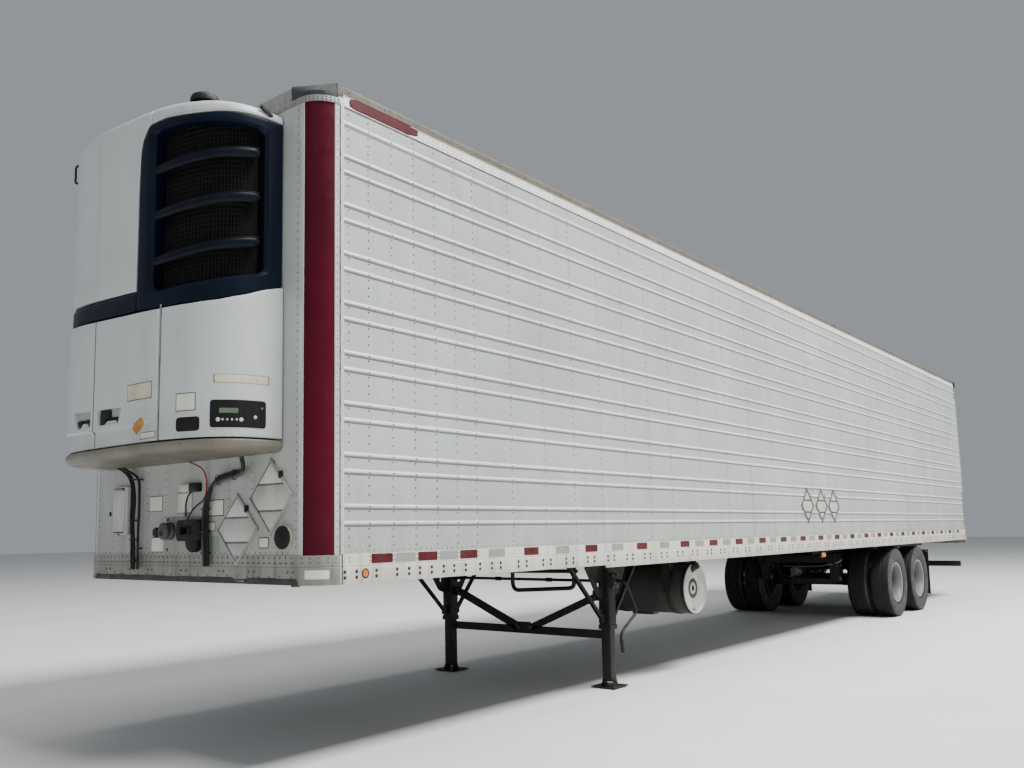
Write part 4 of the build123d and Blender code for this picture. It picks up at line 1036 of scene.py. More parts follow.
# bottom rail across the nose: outer band, groove, lower plate, in one section
SEC = [(0.1765, 1.116), (0.1765, 1.184), (0.1740, 1.186), (0.1740, 1.1915), (0.1765, 1.1935), (0.1765, 1.2535), (0.1640, 1.2540),
       (0.1640, 1.0845)]
loops = [nose_loop(r, z, 0) for r, z in SEC]
g = Geo()
V, F = rings(loops, close=True)
n = len(loops[0])
k = len(loops)
g.put((V, [f for f in F if not (f[0] % n == n - 1 and f[1] % n == 0)] + [tuple(i * n for i in range(k)), tuple(i * n + n - 1 for i in range(k))]))
add("nose_bottom_rail", g, m_alu_grey, smooth=40, replaces="front_bottom_rail")

# corner plates below the band
g = Geo()
for sg in (1, -1):
    A = np.array([[arc_pt(0.1765, d, z, sg) for z in (1.0845, 1.1165)] for d in np.linspace(4, 90, 15)])
    B = np.array([[arc_pt(0.1640, d, z, sg) for z in (1.0845, 1.1165)] for d in np.linspace(4, 90, 15)])
    g.put(slab(A, B))
add("nose_corner_plates", g, m_alu_grey, smooth=40)

# pressed, knocked lip along the lower edge of the nose
rng = np.random.default_rng(7)
base = nose_loop(0.1765, 0, 0, n=14)
base = base[np.abs(base[:, 1]) < 1.135]
pts = []
for a, b in zip(base, base[1:]):
    d = np.linalg.norm(b - a)
    m = max(1, int(d / 0.028))
    for i in range(m):
        pts.append(a + (b - a) * i / m)
pts.append(base[-1])
pts = np.array(pts)
w = rng.normal(0, 1, len(pts))
w = np.convolve(w, np.ones(5) / 5, "same")
w2 = np.convolve(rng.normal(0, 1, len(pts)), np.ones(3) / 3, "same")
cen = np.array([CS, 0, 0])
A, B = [], []
for i, p in enumerate(pts):
    if abs(p[1]) <= 1.119:
        nn = np.array([1.0, 0, 0])
    else:
        q = np.array([CS, math.copysign(1.119, p[1]), 0]) - p
        nn = q / max(np.linalg.norm(q), 1e-6)
    row, rowb = [], []
    for z, inset in ((1.122, -0.0010), (1.112, -0.0012), (1.100, -0.0015), (1.088, -0.0005), (1.0835, 0.004), (1.0835, 0.020)):
        k = 1.0 if z < 1.11 else 0.2
        dd = inset + 0.0055 * k * abs(w[i]) + 0.002 * k * abs(w2[i])
        zz_ = z - (0.0 if z > 1.11 else 0) + (0.004 * w2[i] if z > 1.111 else 0)
        row.append(p * [1, 1, 0] + nn * dd + [0, 0, zz_])
        rowb.append(p * [1, 1, 0] + nn * (dd + 0.004) + [0, 0, zz_ + (0.003 if inset < 0.02 else 0.003)])
    A.append(row)
    B.append(rowb)
add("nose_knocked_lip", slab(np.array(A), np.array(B)), m_dented, smooth=50)

g = Geo()
for y in (-0.978, -0.93, -0.67, -0.62, -0.437, -0.388, -0.043, 0.014, 0.373, 0.420, 0.673, 0.724, 1.039, 1.088):
    g.put(hexbolt((0.0, y, 1.157), (-1, 0, 0), 0.0075, 0.0045, False))
for sg in (1, -1):
    for deg in (14, 30, 47, 64, 80):
        t = math.radians(deg)
        for z in (1.212, 1.238):
            g.put(dome(arc_pt(0.1765, deg, z, sg), (-math.cos(t), sg * math.sin(t), 0), 0.0052, 0.0026))
add("nose_rail_bolts", g, m_bolt, smooth=40)
g = Geo()
for i in range(43):
    y = -1.071 + 0.051 * i
    for z in (1.208, 1.2395):
        g.put(dome((0.0, y, z), (-1, 0, 0), 0.0060, 0.0026, 6))
for i in range(22):
    g.put(dome((0.0, -1.071 + 0.102 * i, 1.130), (-1, 0, 0), 0.0056, 0.0026, 6))
add("nose_band_rivets", g, m_rivet, smooth=60)

# blank pale label on the lower corner plate, and the black joint beside it
g = Geo()
for sg in (1, -1):
    A = np.array([[arc_pt(0.1778, d, z, sg) for z in (1.120, 1.170)] for d in np.linspace(20, 66, 9)])
    B = np.array([[arc_pt(0.1764, d, z, sg) for z in (1.120, 1.170)] for d in np.linspace(20, 66, 9)])
    g.put(slab(A, B))
add("corner_blank_labels", g, m_label, smooth=40)
g = Geo()
for s0, s1 in ((0.186, 0.194),):
    g.both(box(s0, s1, 1.2945, 1.2962, 1.084, 1.2545))
add("rail_joint_seals", g, m_seal, smooth=0)

# top rail across the nose: lower band, groove, upper band, with corner castings
SECT = [(0.1765, 3.9805), (0.1765, 4.036), (0.1745, 4.039), (0.1745, 4.048), (0.1760, 4.052), (0.1760, 4.100), (0.1700, 4.110),
        (0.1600, 4.114), (0.110, 4.114), (0.110, 3.9805)]
LOWT = [(0.1765, 3.9805), (0.1765, 4.036), (0.1745, 4.039), (0.1745, 4.048), (0.1400, 4.050), (0.110, 4.050), (0.110, 3.9805)]
loops = [nose_loop(r, z, 0, n=12) for r, z in LOWT]
V, F = rings(loops, close=True)
n = len(loops[0])
k = len(loops)
g = Geo().put((V, [f for f in F if not (f[0] % n == n - 1 and f[1] % n == 0)] + [tuple(i * n for i in range(k)), tuple(i * n + n - 1 for i in range(k))]))
UPT = [(CS - r, z) for r, z in ((0.1745, 4.046), (0.1760, 4.052), (0.1760, 4.100), (0.1700, 4.110), (0.1600, 4.114), (0.110, 4.114), (0.110, 4.046))]
g.put(prism(UPT, "y", -1.052, 1.052))
# short bright ends between each casting and the long side rail
add("nose_top_rail", g, m_nose_top, smooth=40, replaces="front_top_rail")
g = Geo()
g.both(prism([(1.231, 4.030), (1.2960, 4.030), (1.2960, 4.098), (1.2915, 4.106), (1.2830, 4.112), (1.270, 4.1135), (1.231, 4.1135)], "s", 0.150, 0.196))
add("top_corner_ends", g, m_cap, smooth=30)

# corner castings: the foot follows the arc, the top is cut straight across
g = Geo()
for sg in (1, -1):
    out = [np.array((0.0, sg * 1.048, 0.0)), np.array((0.0, sg * 1.085, 0.0))]
    out += [np.array(arc_pt(0.1765, a, 0.0, sg)) for a in np.linspace(0, 83, 15)]
    c0_, c1_ = out[0], out[-1]
    cen_ = np.array([CS + 0.02, sg * 1.06, 0.0])
    L = []
    run = np.concatenate([[0], np.cumsum([np.linalg.norm(b - a) for a, b in zip(out, out[1:])])])
    for p, r_ in zip(out, run / run[-1]):
        chord = c0_ + (c1_ - c0_) * r_
        d_ = p - cen_
        d_ = d_ / np.linalg.norm(d_)
        lo2 = p + d_ * 0.0004
        up2 = chord * 0.97 + p * 0.03
        inn = cen_ + (p - cen_) * 0.30
        L.append(np.array([lo2 + [0, 0, 4.018], lo2 + [0, 0, 4.046], lo2 * 0.5 + up2 * 0.5 + d_ * 0.003 + [0, 0, 4.084], up2 + [0, 0, 4.109],
                           up2 - d_ * 0.006 + [0, 0, 4.1137], inn + [0, 0, 4.1137], inn + [0, 0, 4.018]]))
    g.put(rings(L, close=False, caps=True))
add("top_corner_castings", g, m_cap, smooth=28)
g = Geo()
for sg in (1, -1):
    for deg in np.arange(8, 90, 8.5):
        t = math.radians(deg)
        for z in (3.990, 4.007):
            g.put(dome(arc_pt(0.1765, deg, z, sg), (-math.cos(t), sg * math.sin(t), 0), 0.0042, 0.0024))
add("top_corner_rivets", g, m_rivet, smooth=60)


# ------------------------------------------------ things on the front wall
def label(g, gb, y0, y1, z0, z1, s=0.0062, r=0.004, t=0.0012):
    # blank plate with a thin border
    gb.put(pad(rrect(y0, y1, z0, z1, r, 3), "s", s, s - t, 0.0004))
    e = 0.0055
    g.put(pad(rrect(y0 + e, y1 - e, z0 + e, z1 - e, r * 0.6, 3), "s", s - t * 0.6, s - t - 0.0008, 0.0003))


g, gb, gk, gg = Geo(), Geo(), Geo(), Geo()
label(g, gb, -0.449, -0.285, 1.545, 1.652)
label(g, gb, -0.112, 0.060, 1.525, 1.662)
label(g, gk, 0.223, 0.406, 1.499, 1.603)
label(g, gb, 0.221, 0.318, 1.405, 1.465)
label(g, gb, -0.416, -0.257, 1.273, 1.374)
label(g, gk, 0.761, 0.857, 1.296, 1.361)
gg.put(pad(rrect(0.214, 0.362, 1.269, 1.375, 0.004, 3), "s", 0.0062, 0.0048, 0.0004))
add("front_labels_blank", g, m_label, smooth=0)
add("front_label_borders", gb, m_label_edge, smooth=0)
add("front_label_black_frames", gk, m_black, smooth=0)
add("front_label_grey_green", gg, m_label_green, smooth=0)

# connector plate with its bolts, casting, round coupling and plug
g = Geo()
g.put(pad(rrect(-0.222, 0.205, 1.272, 1.504, 0.006, 3), "s", 0.0066, -0.0030, 0.0015))
add("connector_plate", g, m_alu_grey, smooth=30, replaces="connector_box")
g = Geo()
for y in (-0.205, 0.188):
    for z in (1.290, 1.487):
        g.put(hexbolt((-0.003, y, z), (-1, 0, 0), 0.009, 0.006))
add("connector_plate_bolts", g, m_bolt, smooth=30)

# casting: a D shaped body with an open round socket, rounded underneath
outer = rrect(-0.025, 0.232, 1.345, 1.482, 0.028, 5)
K = len(outer)
hole = []
for y, z in outer:
    a = math.atan2(z - 1.412, y - 0.085)
    hole.append((0.085 + 0.042 * math.cos(a), 1.412 + 0.042 * math.sin(a)))


def at(loop, s):
    return np.array([(s, y, z) for y, z in loop])


def grow(loop, k, c):
    return [(c[0] + (y - c[0]) * k, c[1] + (z - c[1]) * k) for y, z in loop]


c0 = (0.104, 1.412)
g = Geo()
g.put(rings([at(outer, -0.001), at(outer, -0.048), at(grow(outer, 0.975, c0), -0.056), at(grow(outer, 0.93, c0), -0.060),
             at(grow(hole, 1.35, (0.085, 1.412)), -0.060), at(grow(hole, 1.28, (0.085, 1.412)), -0.072), at(grow(hole, 1.0, (0.085, 1.412)), -0.072),
             at(grow(hole, 0.92, (0.085, 1.412)), -0.030)], close=False, caps=True))
# lower rounded nose of the casting
g.put(lathe([(0.0, -0.001), (0.062, -0.001), (0.062, 0.040), (0.050, 0.052), (0.0, 0.055)], (-0.001, 0.130, 1.335), (-1, 0, 0), 24))
g.put(box(-0.04, -0.001, 0.06, 0.20, 1.33, 1.37))
add("connector_casting", g, m_black, smooth=35)

# round grey coupling
g = Geo()
g.put(lathe([(0.0, 0.0), (0.056, 0.0), (0.058, 0.006), (0.058, 0.022), (0.050, 0.030), (0.050, 0.044), (0.056, 0.050), (0.056, 0.062),
             (0.044, 0.070), (0.030, 0.070), (0.026, 0.058), (0.0, 0.058)], (-0.003, -0.165, 1.412), (-1, 0, 0), 28))
add("round_coupling", g, m_coupling, smooth=35)
g = Geo()
kn = []
prof = [(0.0, 0.0), (0.026, 0.0), (0.026, 0.016), (0.0335, 0.020), (0.0335, 0.058), (0.028, 0.064), (0.0, 0.066)]
V, F = lathe(prof, (0.0, -0.262, 1.405), (-1, 0, 0), 36)
for i in range(len(V)):
    r_ = math.hypot(V[i, 1] + 0.262, V[i, 2] - 1.405)
    if r_ > 0.03 and i % 2:
        V[i, 1] = -0.262 + (V[i, 1] + 0.262) * 0.93
        V[i, 2] = 1.405 + (V[i, 2] - 1.405) * 0.93
g.put((V, F))
g.put(prism(rrect(-0.30, -0.218, 1.374, 1.436, 0.01, 3), "s", 0.0065, -0.006))
add("round_plug", g, m_black, smooth=40)

# small box over the plate: clear left half, black right half, with its cable
g = Geo()
g.put(pad(rrect(-0.045, 0.070, 1.664, 1.715, 0.008, 4), "s", 0.0065, -0.030, 0.006))
add("small_box_clear", g, m_doc, smooth=40)
g = Geo()
g.put(pad(rrect(0.070, 0.164, 1.661, 1.717, 0.008, 4), "s", 0.0065, -0.034, 0.006))
add("small_box_black", g, m_black, smooth=40)

# flat document case: tray, raised lid with a bead round it, hinge pin and latch
g, gd_ = Geo(), Geo()
g.put(pad(rrect(-0.876, -0.690, 1.394, 1.734, 0.016, 5), "s", 0.0065, -0.022, 0.007))
g.put(pad(rrect(-0.868, -0.716, 1.424, 1.706, 0.010, 4), "s", -0.015, -0.0300, 0.005))
add("document_case", g, m_doc, smooth=40, replaces="front_wall_fittings")
for z in (1.411, 1.718):
    gd_.put(pad(rrect(-0.862, -0.728, z - 0.004, z + 0.004, 0.003, 3), "s", -0.020, -0.0245, 0.001))
gd_.put(pad(rrect(-0.752, -0.732, 1.706, 1.722, 0.004, 3), "s", -0.020, -0.0285, 0.002))
gd_.put(pad(rrect(-0.806, -0.786, 1.392, 1.404, 0.003, 3), "s", 0.0, -0.0240, 0.002))
gd_.put(box(0.0035, 0.0067, -0.694, -0.684, 1.398, 1.730))
gd_.put(pad(rrect(-0.962, -0.950, 1.530, 1.560, 0.004, 3), "s", 0.0065, -0.003, 0.001))
add("document_case_dark_parts", gd_, m_dark_line, smooth=30)

# round vent cap: dark ribbed face on a pale base
g = Geo()
g.put(lathe([(0.0, 0.020), (0.066, 0.020), (0.0685, 0.024), (0.0685, 0.031), (0.064, 0.0355), (0.030, 0.0372), (0.0, 0.0375)], (0.0065, 1.014, 1.358), (-1, 0, 0), 40))
for i in range(8):
    t_ = math.pi * i / 4 + 0.2
    g.put(bar((-0.0305, 1.014 + 0.012 * math.cos(t_), 1.358 + 0.012 * math.sin(t_)), (-0.0285, 1.014 + 0.060 * math.cos(t_), 1.358 + 0.060 * math.sin(t_)), 0.004, 0.004,
              up=(1, 0, 0)))
add("vent_cap", g, m_black, smooth=40)
g = Geo()
g.put(lathe([(0.055, 0.0), (0.0700, 0.0), (0.0700, 0.021), (0.0685, 0.0235), (0.055, 0.0235)], (0.0065, 1.014, 1.358), (-1, 0, 0), 40, loop=True))
add("vent_cap_base", g, m_tan, smooth=40)


# placard frames: a square on its point, split by two slots, with a raised
# rail along the lower and the upper right edges and a spring clip
def placard(cy, cz, hy, hz, clip, g, gc, gr, gd):
    S = 0.0065

    def P(a, b, s):
        return (s, cy + a * hy, cz + b * hz)

    def strap2(g, p, q, w, s0, s1):
        p, q = np.array(p, float), np.array(q, float)
        d = (q - p) / np.linalg.norm(q - p)
        nn = np.array([-d[1], d[0]])
        poly = [tuple(v) for v in (p + nn * w / 2, q + nn * w / 2, q - nn * w / 2, p - nn * w / 2)]
        g.put(pad(poly, "s", s0, s1, 0.001))

    # the plate in three pieces
    for z0, z1 in ((-1.0, -0.43), (-0.37, 0.33), (0.39, 1.0)):
        def half(z):
            return max(1 - abs(z), 0.012)
        poly = [(cy + half(z0) * hy, cz + z0 * hz), (cy - half(z0) * hy, cz + z0 * hz)]
        if z0 < 0 < z1:
            poly.append((cy - hy, cz))
        poly += [(cy - half(z1) * hy, cz + z1 * hz), (cy + half(z1) * hy, cz + z1 * hz)]
        if z0 < 0 < z1:
            poly.append((cy + hy, cz))
        g.put(pad(poly, "s", S, S - 0.004, 0.001))
    k = 1.08
    strap2(gr, (cy, cz + k * hz), (cy + k * hy, cz), 0.016, S, S - 0.014)
    strap2(gr, (cy + k * hy, cz), (cy, cz - k * hz), 0.016, S, S - 0.014)
    strap2(gr, (cy, cz - k * hz), (cy - k * hy, cz), 0.014, S, S - 0.010)
    k = 1.015
    for a, b in (((0, 1), (1, 0)), ((1, 0), (0, -1)), ((0, -1), (-1, 0)), ((-1, 0), (0, 1))):
        strap2(gd, (cy + a[0] * k * hy, cz + a[1] * k * hz), (cy + b[0] * k * hy, cz + b[1] * k * hz), 0.007, S, S - 0.0052)
    for zc_ in (-0.40, 0.36):
        hw = (1 - abs(zc_)) * hy * 0.98
        strap2(gd, (cy - hw, cz + zc_ * hz), (cy + hw, cz + zc_ * hz), 0.010, S + 0.001, S - 0.002)
    gc.put(pad(rrect(cy + clip[0] - 0.012, cy + clip[0] + 0.012, cz + clip[1] - 0.020, cz + clip[1] + 0.024, 0.006, 3), "s", S - 0.003, S - 0.020, 0.003))


g, gc, gr_, gd_ = Geo(), Geo(), Geo(), Geo()
placard(0.548, 1.412, 0.190, 0.200, (0.10, 0.12), g, gc, gr_, gd_)
placard(0.874, 1.600, 0.190, 0.208, (0.10, 0.125), g, gc, gr_, gd_)
add("placard_rails", gr_, m_placard_rail, smooth=30)
add("placard_edge_lines", gd_, m_placard_line, smooth=30)
add("placard_frames", g, m_placard, smooth=30)
add("placard_clips", gc, m_black, smooth=30)


# hoses down the front wall: clipped at every tie, so they hold their place
def hose(name, pts, r, mat, n=10, slot="rubber"):
    P = spline(pts, 8)
    return tube(P, r, n)


gh, gg2, gt, gred = Geo(), Geo(), Geo(), Geo()
A_ = [(-0.070, -0.735, 1.862), (-0.052, -0.680, 1.835), (-0.036, -0.628, 1.790), (-0.030, -0.600, 1.720), (-0.028, -0.594, 1.640),
      (-0.028, -0.599, 1.557), (-0.028, -0.602, 1.488), (-0.028, -0.594, 1.400), (-0.028, -0.588, 1.324), (-0.028, -0.582, 1.240), (-0.027, -0.578, 1.160)]
for i, (dy, ds, r) in enumerate(((0.010, 0.0, 0.0095), (-0.012, -0.004, 0.0085))):
    wob = [0.003 * math.sin(k * 1.7 + i * 2.1) for k in range(len(A_))]
    pts = [(a[0] + ds, a[1] + dy * (1 if k > 1 else 0.8) + w_, a[2]) for k, (a, w_) in enumerate(zip(A_, wob))]
    gh.put(tube(spline(pts, 8), r, 10))
A2 = [(-0.074, -0.690, 1.862), (-0.048, -0.612, 1.825), (-0.032, -0.556, 1.790), (-0.026, -0.532, 1.745), (-0.026, -0.526, 1.640), (-0.026, -0.525, 1.555),
      (-0.026, -0.530, 1.440), (-0.026, -0.531, 1.324), (-0.026, -0.529, 1.240), (-0.026, -0.527, 1.160)]
gh.put(tube(spline(A2, 8), 0.0085, 10))
B_ = [(-0.080, 0.696, 1.846), (-0.062, 0.689, 1.790), (-0.040, 0.640, 1.758), (-0.034, 0.560, 1.748), (-0.032, 0.480, 1.738),
      (-0.032, 0.395, 1.722), (-0.032, 0.330, 1.686), (-0.032, 0.290, 1.628), (-0.032, 0.262, 1.545), (-0.032, 0.256, 1.460),
      (-0.032, 0.258, 1.370), (-0.031, 0.264, 1.280), (-0.030, 0.270, 1.186)]
for i, (dy, dz, ds, r) in enumerate(((0.0, 0.0, 0.0, 0.0135), (0.022, 0.022, 0.004, 0.0095), (-0.019, -0.019, 0.002, 0.0095))):
    pts = []
    for k, a in enumerate(B_):
        f = min(1.0, k / 3)
        turn = min(1.0, max(0.0, (k - 5) / 3))
        pts.append((a[0] + ds, a[1] + dy * turn * f + 0.002 * math.sin(k * 1.3 + i), a[2] + dz * (1 - turn) * f * 0.8))
    (gg2 if i == 2 else gh).put(tube(spline(pts, 8), r, 10))
# thin lead in the middle: red and black
C_ = [(-0.075, 0.143, 1.850), (-0.03, 0.215, 1.805), (-0.012, 0.236, 1.745), (-0.008, 0.238, 1.698), (-0.006, 0.226, 1.640), (-0.010, 0.200, 1.600),
      (-0.014, 0.150, 1.575), (-0.02, 0.10, 1.54), (-0.045, 0.085, 1.480)]
gh.put(tube(spline(C_, 8), 0.0048, 8))
gred.put(tube(spline([(a[0] - 0.006, a[1] + 0.007, a[2]) for a in C_[:6]], 8), 0.0042, 8))
# cable from the small box down past the round coupling
E_ = [(-0.010, 0.075, 1.666), (-0.016, 0.045, 1.635), (-0.014, 0.020, 1.585), (-0.012, 0.016, 1.530), (-0.010, 0.012, 1.505)]
gh.put(tube(spline(E_, 8), 0.0055, 8))
add("wall_hoses_black", gh, m_hose, smooth=60, replaces="unit_conduits")
add("wall_conduit_grey", gg2, m_hose_grey, smooth=60)
add("wall_lead_red", gred, m_wire_red, smooth=60)


def tie(c, d, w, h, ring=0.0025, width=0.008):
    # flat strap round a bundle of half sizes w and h, across direction d
    u, v, t = frame_of(d)
    c = np.array(c, float)
    L = []
    for rr, tt in ((0.0, -width / 2), (ring, -width / 2), (ring, width / 2), (0.0, width / 2)):
        L.append([c + t * tt + u * (w + rr) * math.cos(a) + v * (h + rr) * math.sin(a) for a in np.linspace(0, 2 * math.pi, 17)[:-1]])
    return rings(L)


for z, yc_ in ((1.775, -0.585), (1.492, -0.600), (1.36, -0.592), (1.22, -0.580)):
    gt.put(tie((-0.029, yc_, z), (0, 0, 1), 0.026, 0.014))
    gt.put(box(-0.018, 0.0066, yc_ - 0.006, yc_ + 0.006, z - 0.006, z + 0.006))
for z, yc_ in ((1.772, -0.540), (1.30, -0.531)):
    gt.put(tie((-0.026, yc_, z), (0, 0, 1), 0.0125, 0.0125))
    gt.put(box(-0.016, 0.0066, yc_ - 0.005, yc_ + 0.005, z - 0.006, z + 0.006))
for c, d in (((-0.032, 0.560, 1.748), (0, 1, 0.1)), ((-0.032, 0.395, 1.722), (0, 1, 0.35)), ((-0.030, 0.262, 1.545), (0, 0, 1)),
             ((-0.030, 0.258, 1.400), (0, 0, 1)), ((-0.030, 0.264, 1.270), (0, 0, 1))):
    up = d[2] < 0.9
    gt.put(tie(c, d, 0.018 if up else 0.032, 0.032 if up else 0.018))
    gt.put(box(-0.024, 0.0066, c[1] - 0.006, c[1] + 0.006, c[2] - 0.006, c[2] + 0.006))
add("hose_ties", gt, m_tie, smooth=40)

# three holders for square cards on the left side: frames set on their points
g, gk, gf = Geo(), Geo(), Geo()
for c, in ((7.735,), (8.225,), (8.680,)):
    zc, h, w = 1.620, 0.217, 0.212
    O = [(c, zc + h), (c + w, zc), (c, zc - h), (c - w, zc)]
    for p, q in zip(O, O[1:] + O[:1]):
        p, q = np.array(p), np.array(q)
        d = (q - p) / np.linalg.norm(q - p)
        nn = np.array([-d[1], d[0]])
        gf.put(pad([tuple(v) for v in (p + nn * 0.0, q + nn * 0.0, q - nn * 0.020, p - nn * 0.020)], "y", 1.2890, 1.2992, 0.0012))
        gk.put(prism([tuple(v) for v in (p - nn * 0.019, q - nn * 0.019, q - nn * 0.034, p - nn * 0.034)], "y", 1.2890, 1.2974))
    for z in (zc + 0.062, zc - 0.082):
        half = w * (1 - abs(z - zc) / h) - 0.03
        gk.put(box(c - half, c + half, 1.2890, 1.2980, z - 0.008, z + 0.008))
    K = 0.93
    g.put(prism([(c, zc + h * K - 0.03), (c + w * K - 0.03, zc), (c, zc - h * K + 0.03), (c - w * K + 0.03, zc)], "y", 1.2890, 1.2972))
    gk.put(pad(rrect(c + 0.118, c + 0.136, zc + 0.105, zc + 0.135, 0.004, 3), "y", 1.2890, 1.2996, 0.001))
add("side_card_holders", g, m_placard, smooth=0)
add("side_card_holder_frames", gf, m_holder, smooth=0)
add("side_card_holder_grooves", gk, m_dark_line, smooth=0)


# ------------------------------------------------------------- cooling unit
class Plan:
    # outline of the unit from above, by its arc length u from the middle
    def __init__(self, W, D, N):
        self.W, self.D = W, D
        t = np.linspace(-math.pi / 2, math.pi / 2, 6001)
        y = np.sign(np.sin(t)) * W * np.abs(np.sin(t)) ** (2 / N)
        d = D * np.abs(np.cos(t)) ** (2 / N)
        d[0] = d[-1] = 0.0
        L = np.concatenate([[0], np.cumsum(np.hypot(np.diff(y), np.diff(d)))])
        L -= L[-1] / 2
        self.u = np.linspace(L[0], L[-1], 1601)
        self.y, self.d = np.interp(self.u, L, y), np.interp(self.u, L, d)
        ty, td = np.gradient(self.y), np.gradient(self.d)
        q = np.hypot(ty, td)
        self.ny, self.nd = -td / q, ty / q
        self.end = self.u[-1]

    def uy(self, y):
        return float(np.interp(y, self.y, self.u))

    def ud(self, d, sg):
        h = 801
        if sg > 0:
            return float(np.interp(-d, -self.d[h:], self.u[h:]))
        return float(np.interp(d, self.d[:h], self.u[:h]))

    def at(self, u, z, inset=0.0):
        y, d = np.interp(u, self.u, self.y), np.interp(u, self.u, self.d)
        ny, nd = np.interp(u, self.u, self.ny), np.interp(u, self.u, self.nd)
        yy, dd = y - ny * inset, d - nd * inset
        return (-max(dd, 0.0), yy, z)


LO = Plan(0.9840, 0.5272, 3.15)
UP = Plan(0.968, 0.512, 3.15)


def smooth_curve(P, rows, width=0.05):
    # rows of (u, z) made into one soft curve
    rows = sorted(rows)
    uu = np.linspace(-P.end, P.end, 801)
    zz = np.interp(uu, [r[0] for r in rows], [r[1] for r in rows])
    k = int(width / (uu[1] - uu[0])) * 2 + 1
    w = np.hanning(k + 2)[1:-1]
    zz = np.convolve(np.pad(zz, k // 2, mode="edge"), w / w.sum(), "valid")
    return lambda u: float(np.interp(u, uu, zz))


low_top = smooth_curve(LO, [(LO.ud(0.0, -1), 2.842), (LO.ud(0.15, -1), 2.822), (LO.uy(-0.88), 2.800), (LO.uy(-0.60), 2.775),
                            (LO.uy(-0.262), 2.753), (LO.uy(0.1), 2.736), (LO.uy(0.446), 2.724), (LO.uy(0.70), 2.724),
                            (LO.uy(0.863), 2.735), (LO.ud(0.25, 1), 2.772), (LO.ud(0.12, 1), 2.821), (LO.ud(0.0, 1), 2.853)])
band_low = smooth_curve(UP, [(UP.ud(0.0, -1), 2.866), (UP.ud(0.15, -1), 2.845), (UP.uy(-0.86), 2.822), (UP.uy(-0.70), 2.796),
                             (UP.uy(-0.3), 2.770), (UP.uy(0.192), 2.753), (UP.uy(0.423), 2.739), (UP.uy(0.609), 2.737),
                             (UP.uy(0.80), 2.742), (UP.uy(0.888), 2.757), (UP.ud(0.1, 1), 2.831), (UP.ud(0.0, 1), 2.862)])
band_top = smooth_curve(UP, [(UP.ud(0.0, -1), 2.975), (UP.ud(0.15, -1), 2.955), (UP.uy(-0.749), 2.914), (UP.uy(-0.573), 2.890),
                             (UP.uy(-0.156), 2.877), (UP.uy(0.19), 2.870)])
white_low = smooth_curve(UP, [(UP.ud(0.0, -1), 2.995), (UP.ud(0.15, -1), 2.975), (UP.uy(-0.736), 2.937), (UP.uy(-0.573), 2.917),
                              (UP.uy(-0.17), 2.894), (UP.uy(0.19), 2.878)])
frame_top = smooth_curve(UP, [(UP.uy(0.32), 3.915), (UP.uy(0.466), 3.918), (UP.uy(0.62), 3.900), (UP.uy(0.739), 3.890),
                              (UP.uy(0.934), 3.886), (UP.ud(0.0, 1), 3.884)])
crease = smooth_curve(LO, [(LO.uy(-0.95), 2.078), (LO.uy(-0.76), 2.067), (LO.uy(-0.2), 2.041), (LO.uy(0.21), 2.044),
                           (LO.uy(0.475), 2.066)])


def step(x):
    x = min(1.0, max(0.0, x))
    return x * x * (3 - 2 * x)


def spaced(a, b, pitch, edge=(0.0015, 0.004, 0.008)):
    n = max(2, int(round((b - a - 2 * edge[-1]) / pitch)))
    mid = np.linspace(a + edge[-1], b - edge[-1], n + 1)
    return [a] + [a + e for e in edge[:-1]] + list(mid) + [b - e for e in reversed(edge[:-1])] + [b]


def soft_edge(dist, r=0.008):
    if dist >= r:
        return 0.0
    return r - math.sqrt(max(0.0, r * r - (r - dist) ** 2))


# handle pockets: corners top left, top right, bottom right, bottom left, then the top of the dark slot
POCKETS = {"left": ((-0.539, 2.1905), (-0.281, 2.1800), (-0.2825, 2.0760), (-0.4700, 2.0765), (-0.5195, 2.1316), (-0.2829, 2.1285)),
           "centre": ((-0.198, 2.1740), (0.0974, 2.1702), (0.0600, 2.0725), (-0.1799, 2.0735), (-0.1832, 2.1236), (0.0822, 2.1131))}


def pline(p, q, y):
    t = min(1.0, max(0.0, (y - p[0]) / (q[0] - p[0])))
    return p[1] + (q[1] - p[1]) * t


def pside(p, q, z):
    t = min(1.0, max(0.0, (z - p[1]) / (q[1] - p[1])))
    return p[0] + (q[0] - p[0]) * t


def pocket(y, z, key):
    tl, tr, br, bl, nl, nr = POCKETS[key]
    e = min(pline(tl, tr, y) - z, z - pline(bl, br, y), y - pside(tl, bl, z), pside(tr, br, z) - y)
    return 0.030 * step(e / 0.0045) if e > 0 else 0.0


def skin_in(u, z, key=None, fade=None):
    # how far the door skin lies inside the outline
    y = float(np.interp(u, LO.u, LO.y))
    f = 1.0 if fade is None else step((fade - y) / 0.16)
    return 0.017 * f * step((crease(u) + 0.004 - z) / 0.016)


def skin_quad(c, d0, d1, fade=None, n=10, m=6, flat=False):
    # a thin patch with four corners (y, z) laid on the door skin
    c = [np.array(p, float) for p in c]
    A, B = [], []
    for i in range(n + 1):
        ra, rb = [], []
        for j in range(m + 1):
            s_, t_ = i / n, j / m
            p = (c[3] * (1 - s_) + c[2] * s_) * (1 - t_) + (c[0] * (1 - s_) + c[1] * s_) * t_
            u = LO.uy(p[0])
            k = 0.0 if flat else skin_in(u, p[1], fade=fade)
            ra.append(LO.at(u, p[1], k + d0))
            rb.append(LO.at(u, p[1], k + d1))
        A.append(ra)
        B.append(rb)
    return slab(np.array(A), np.array(B))


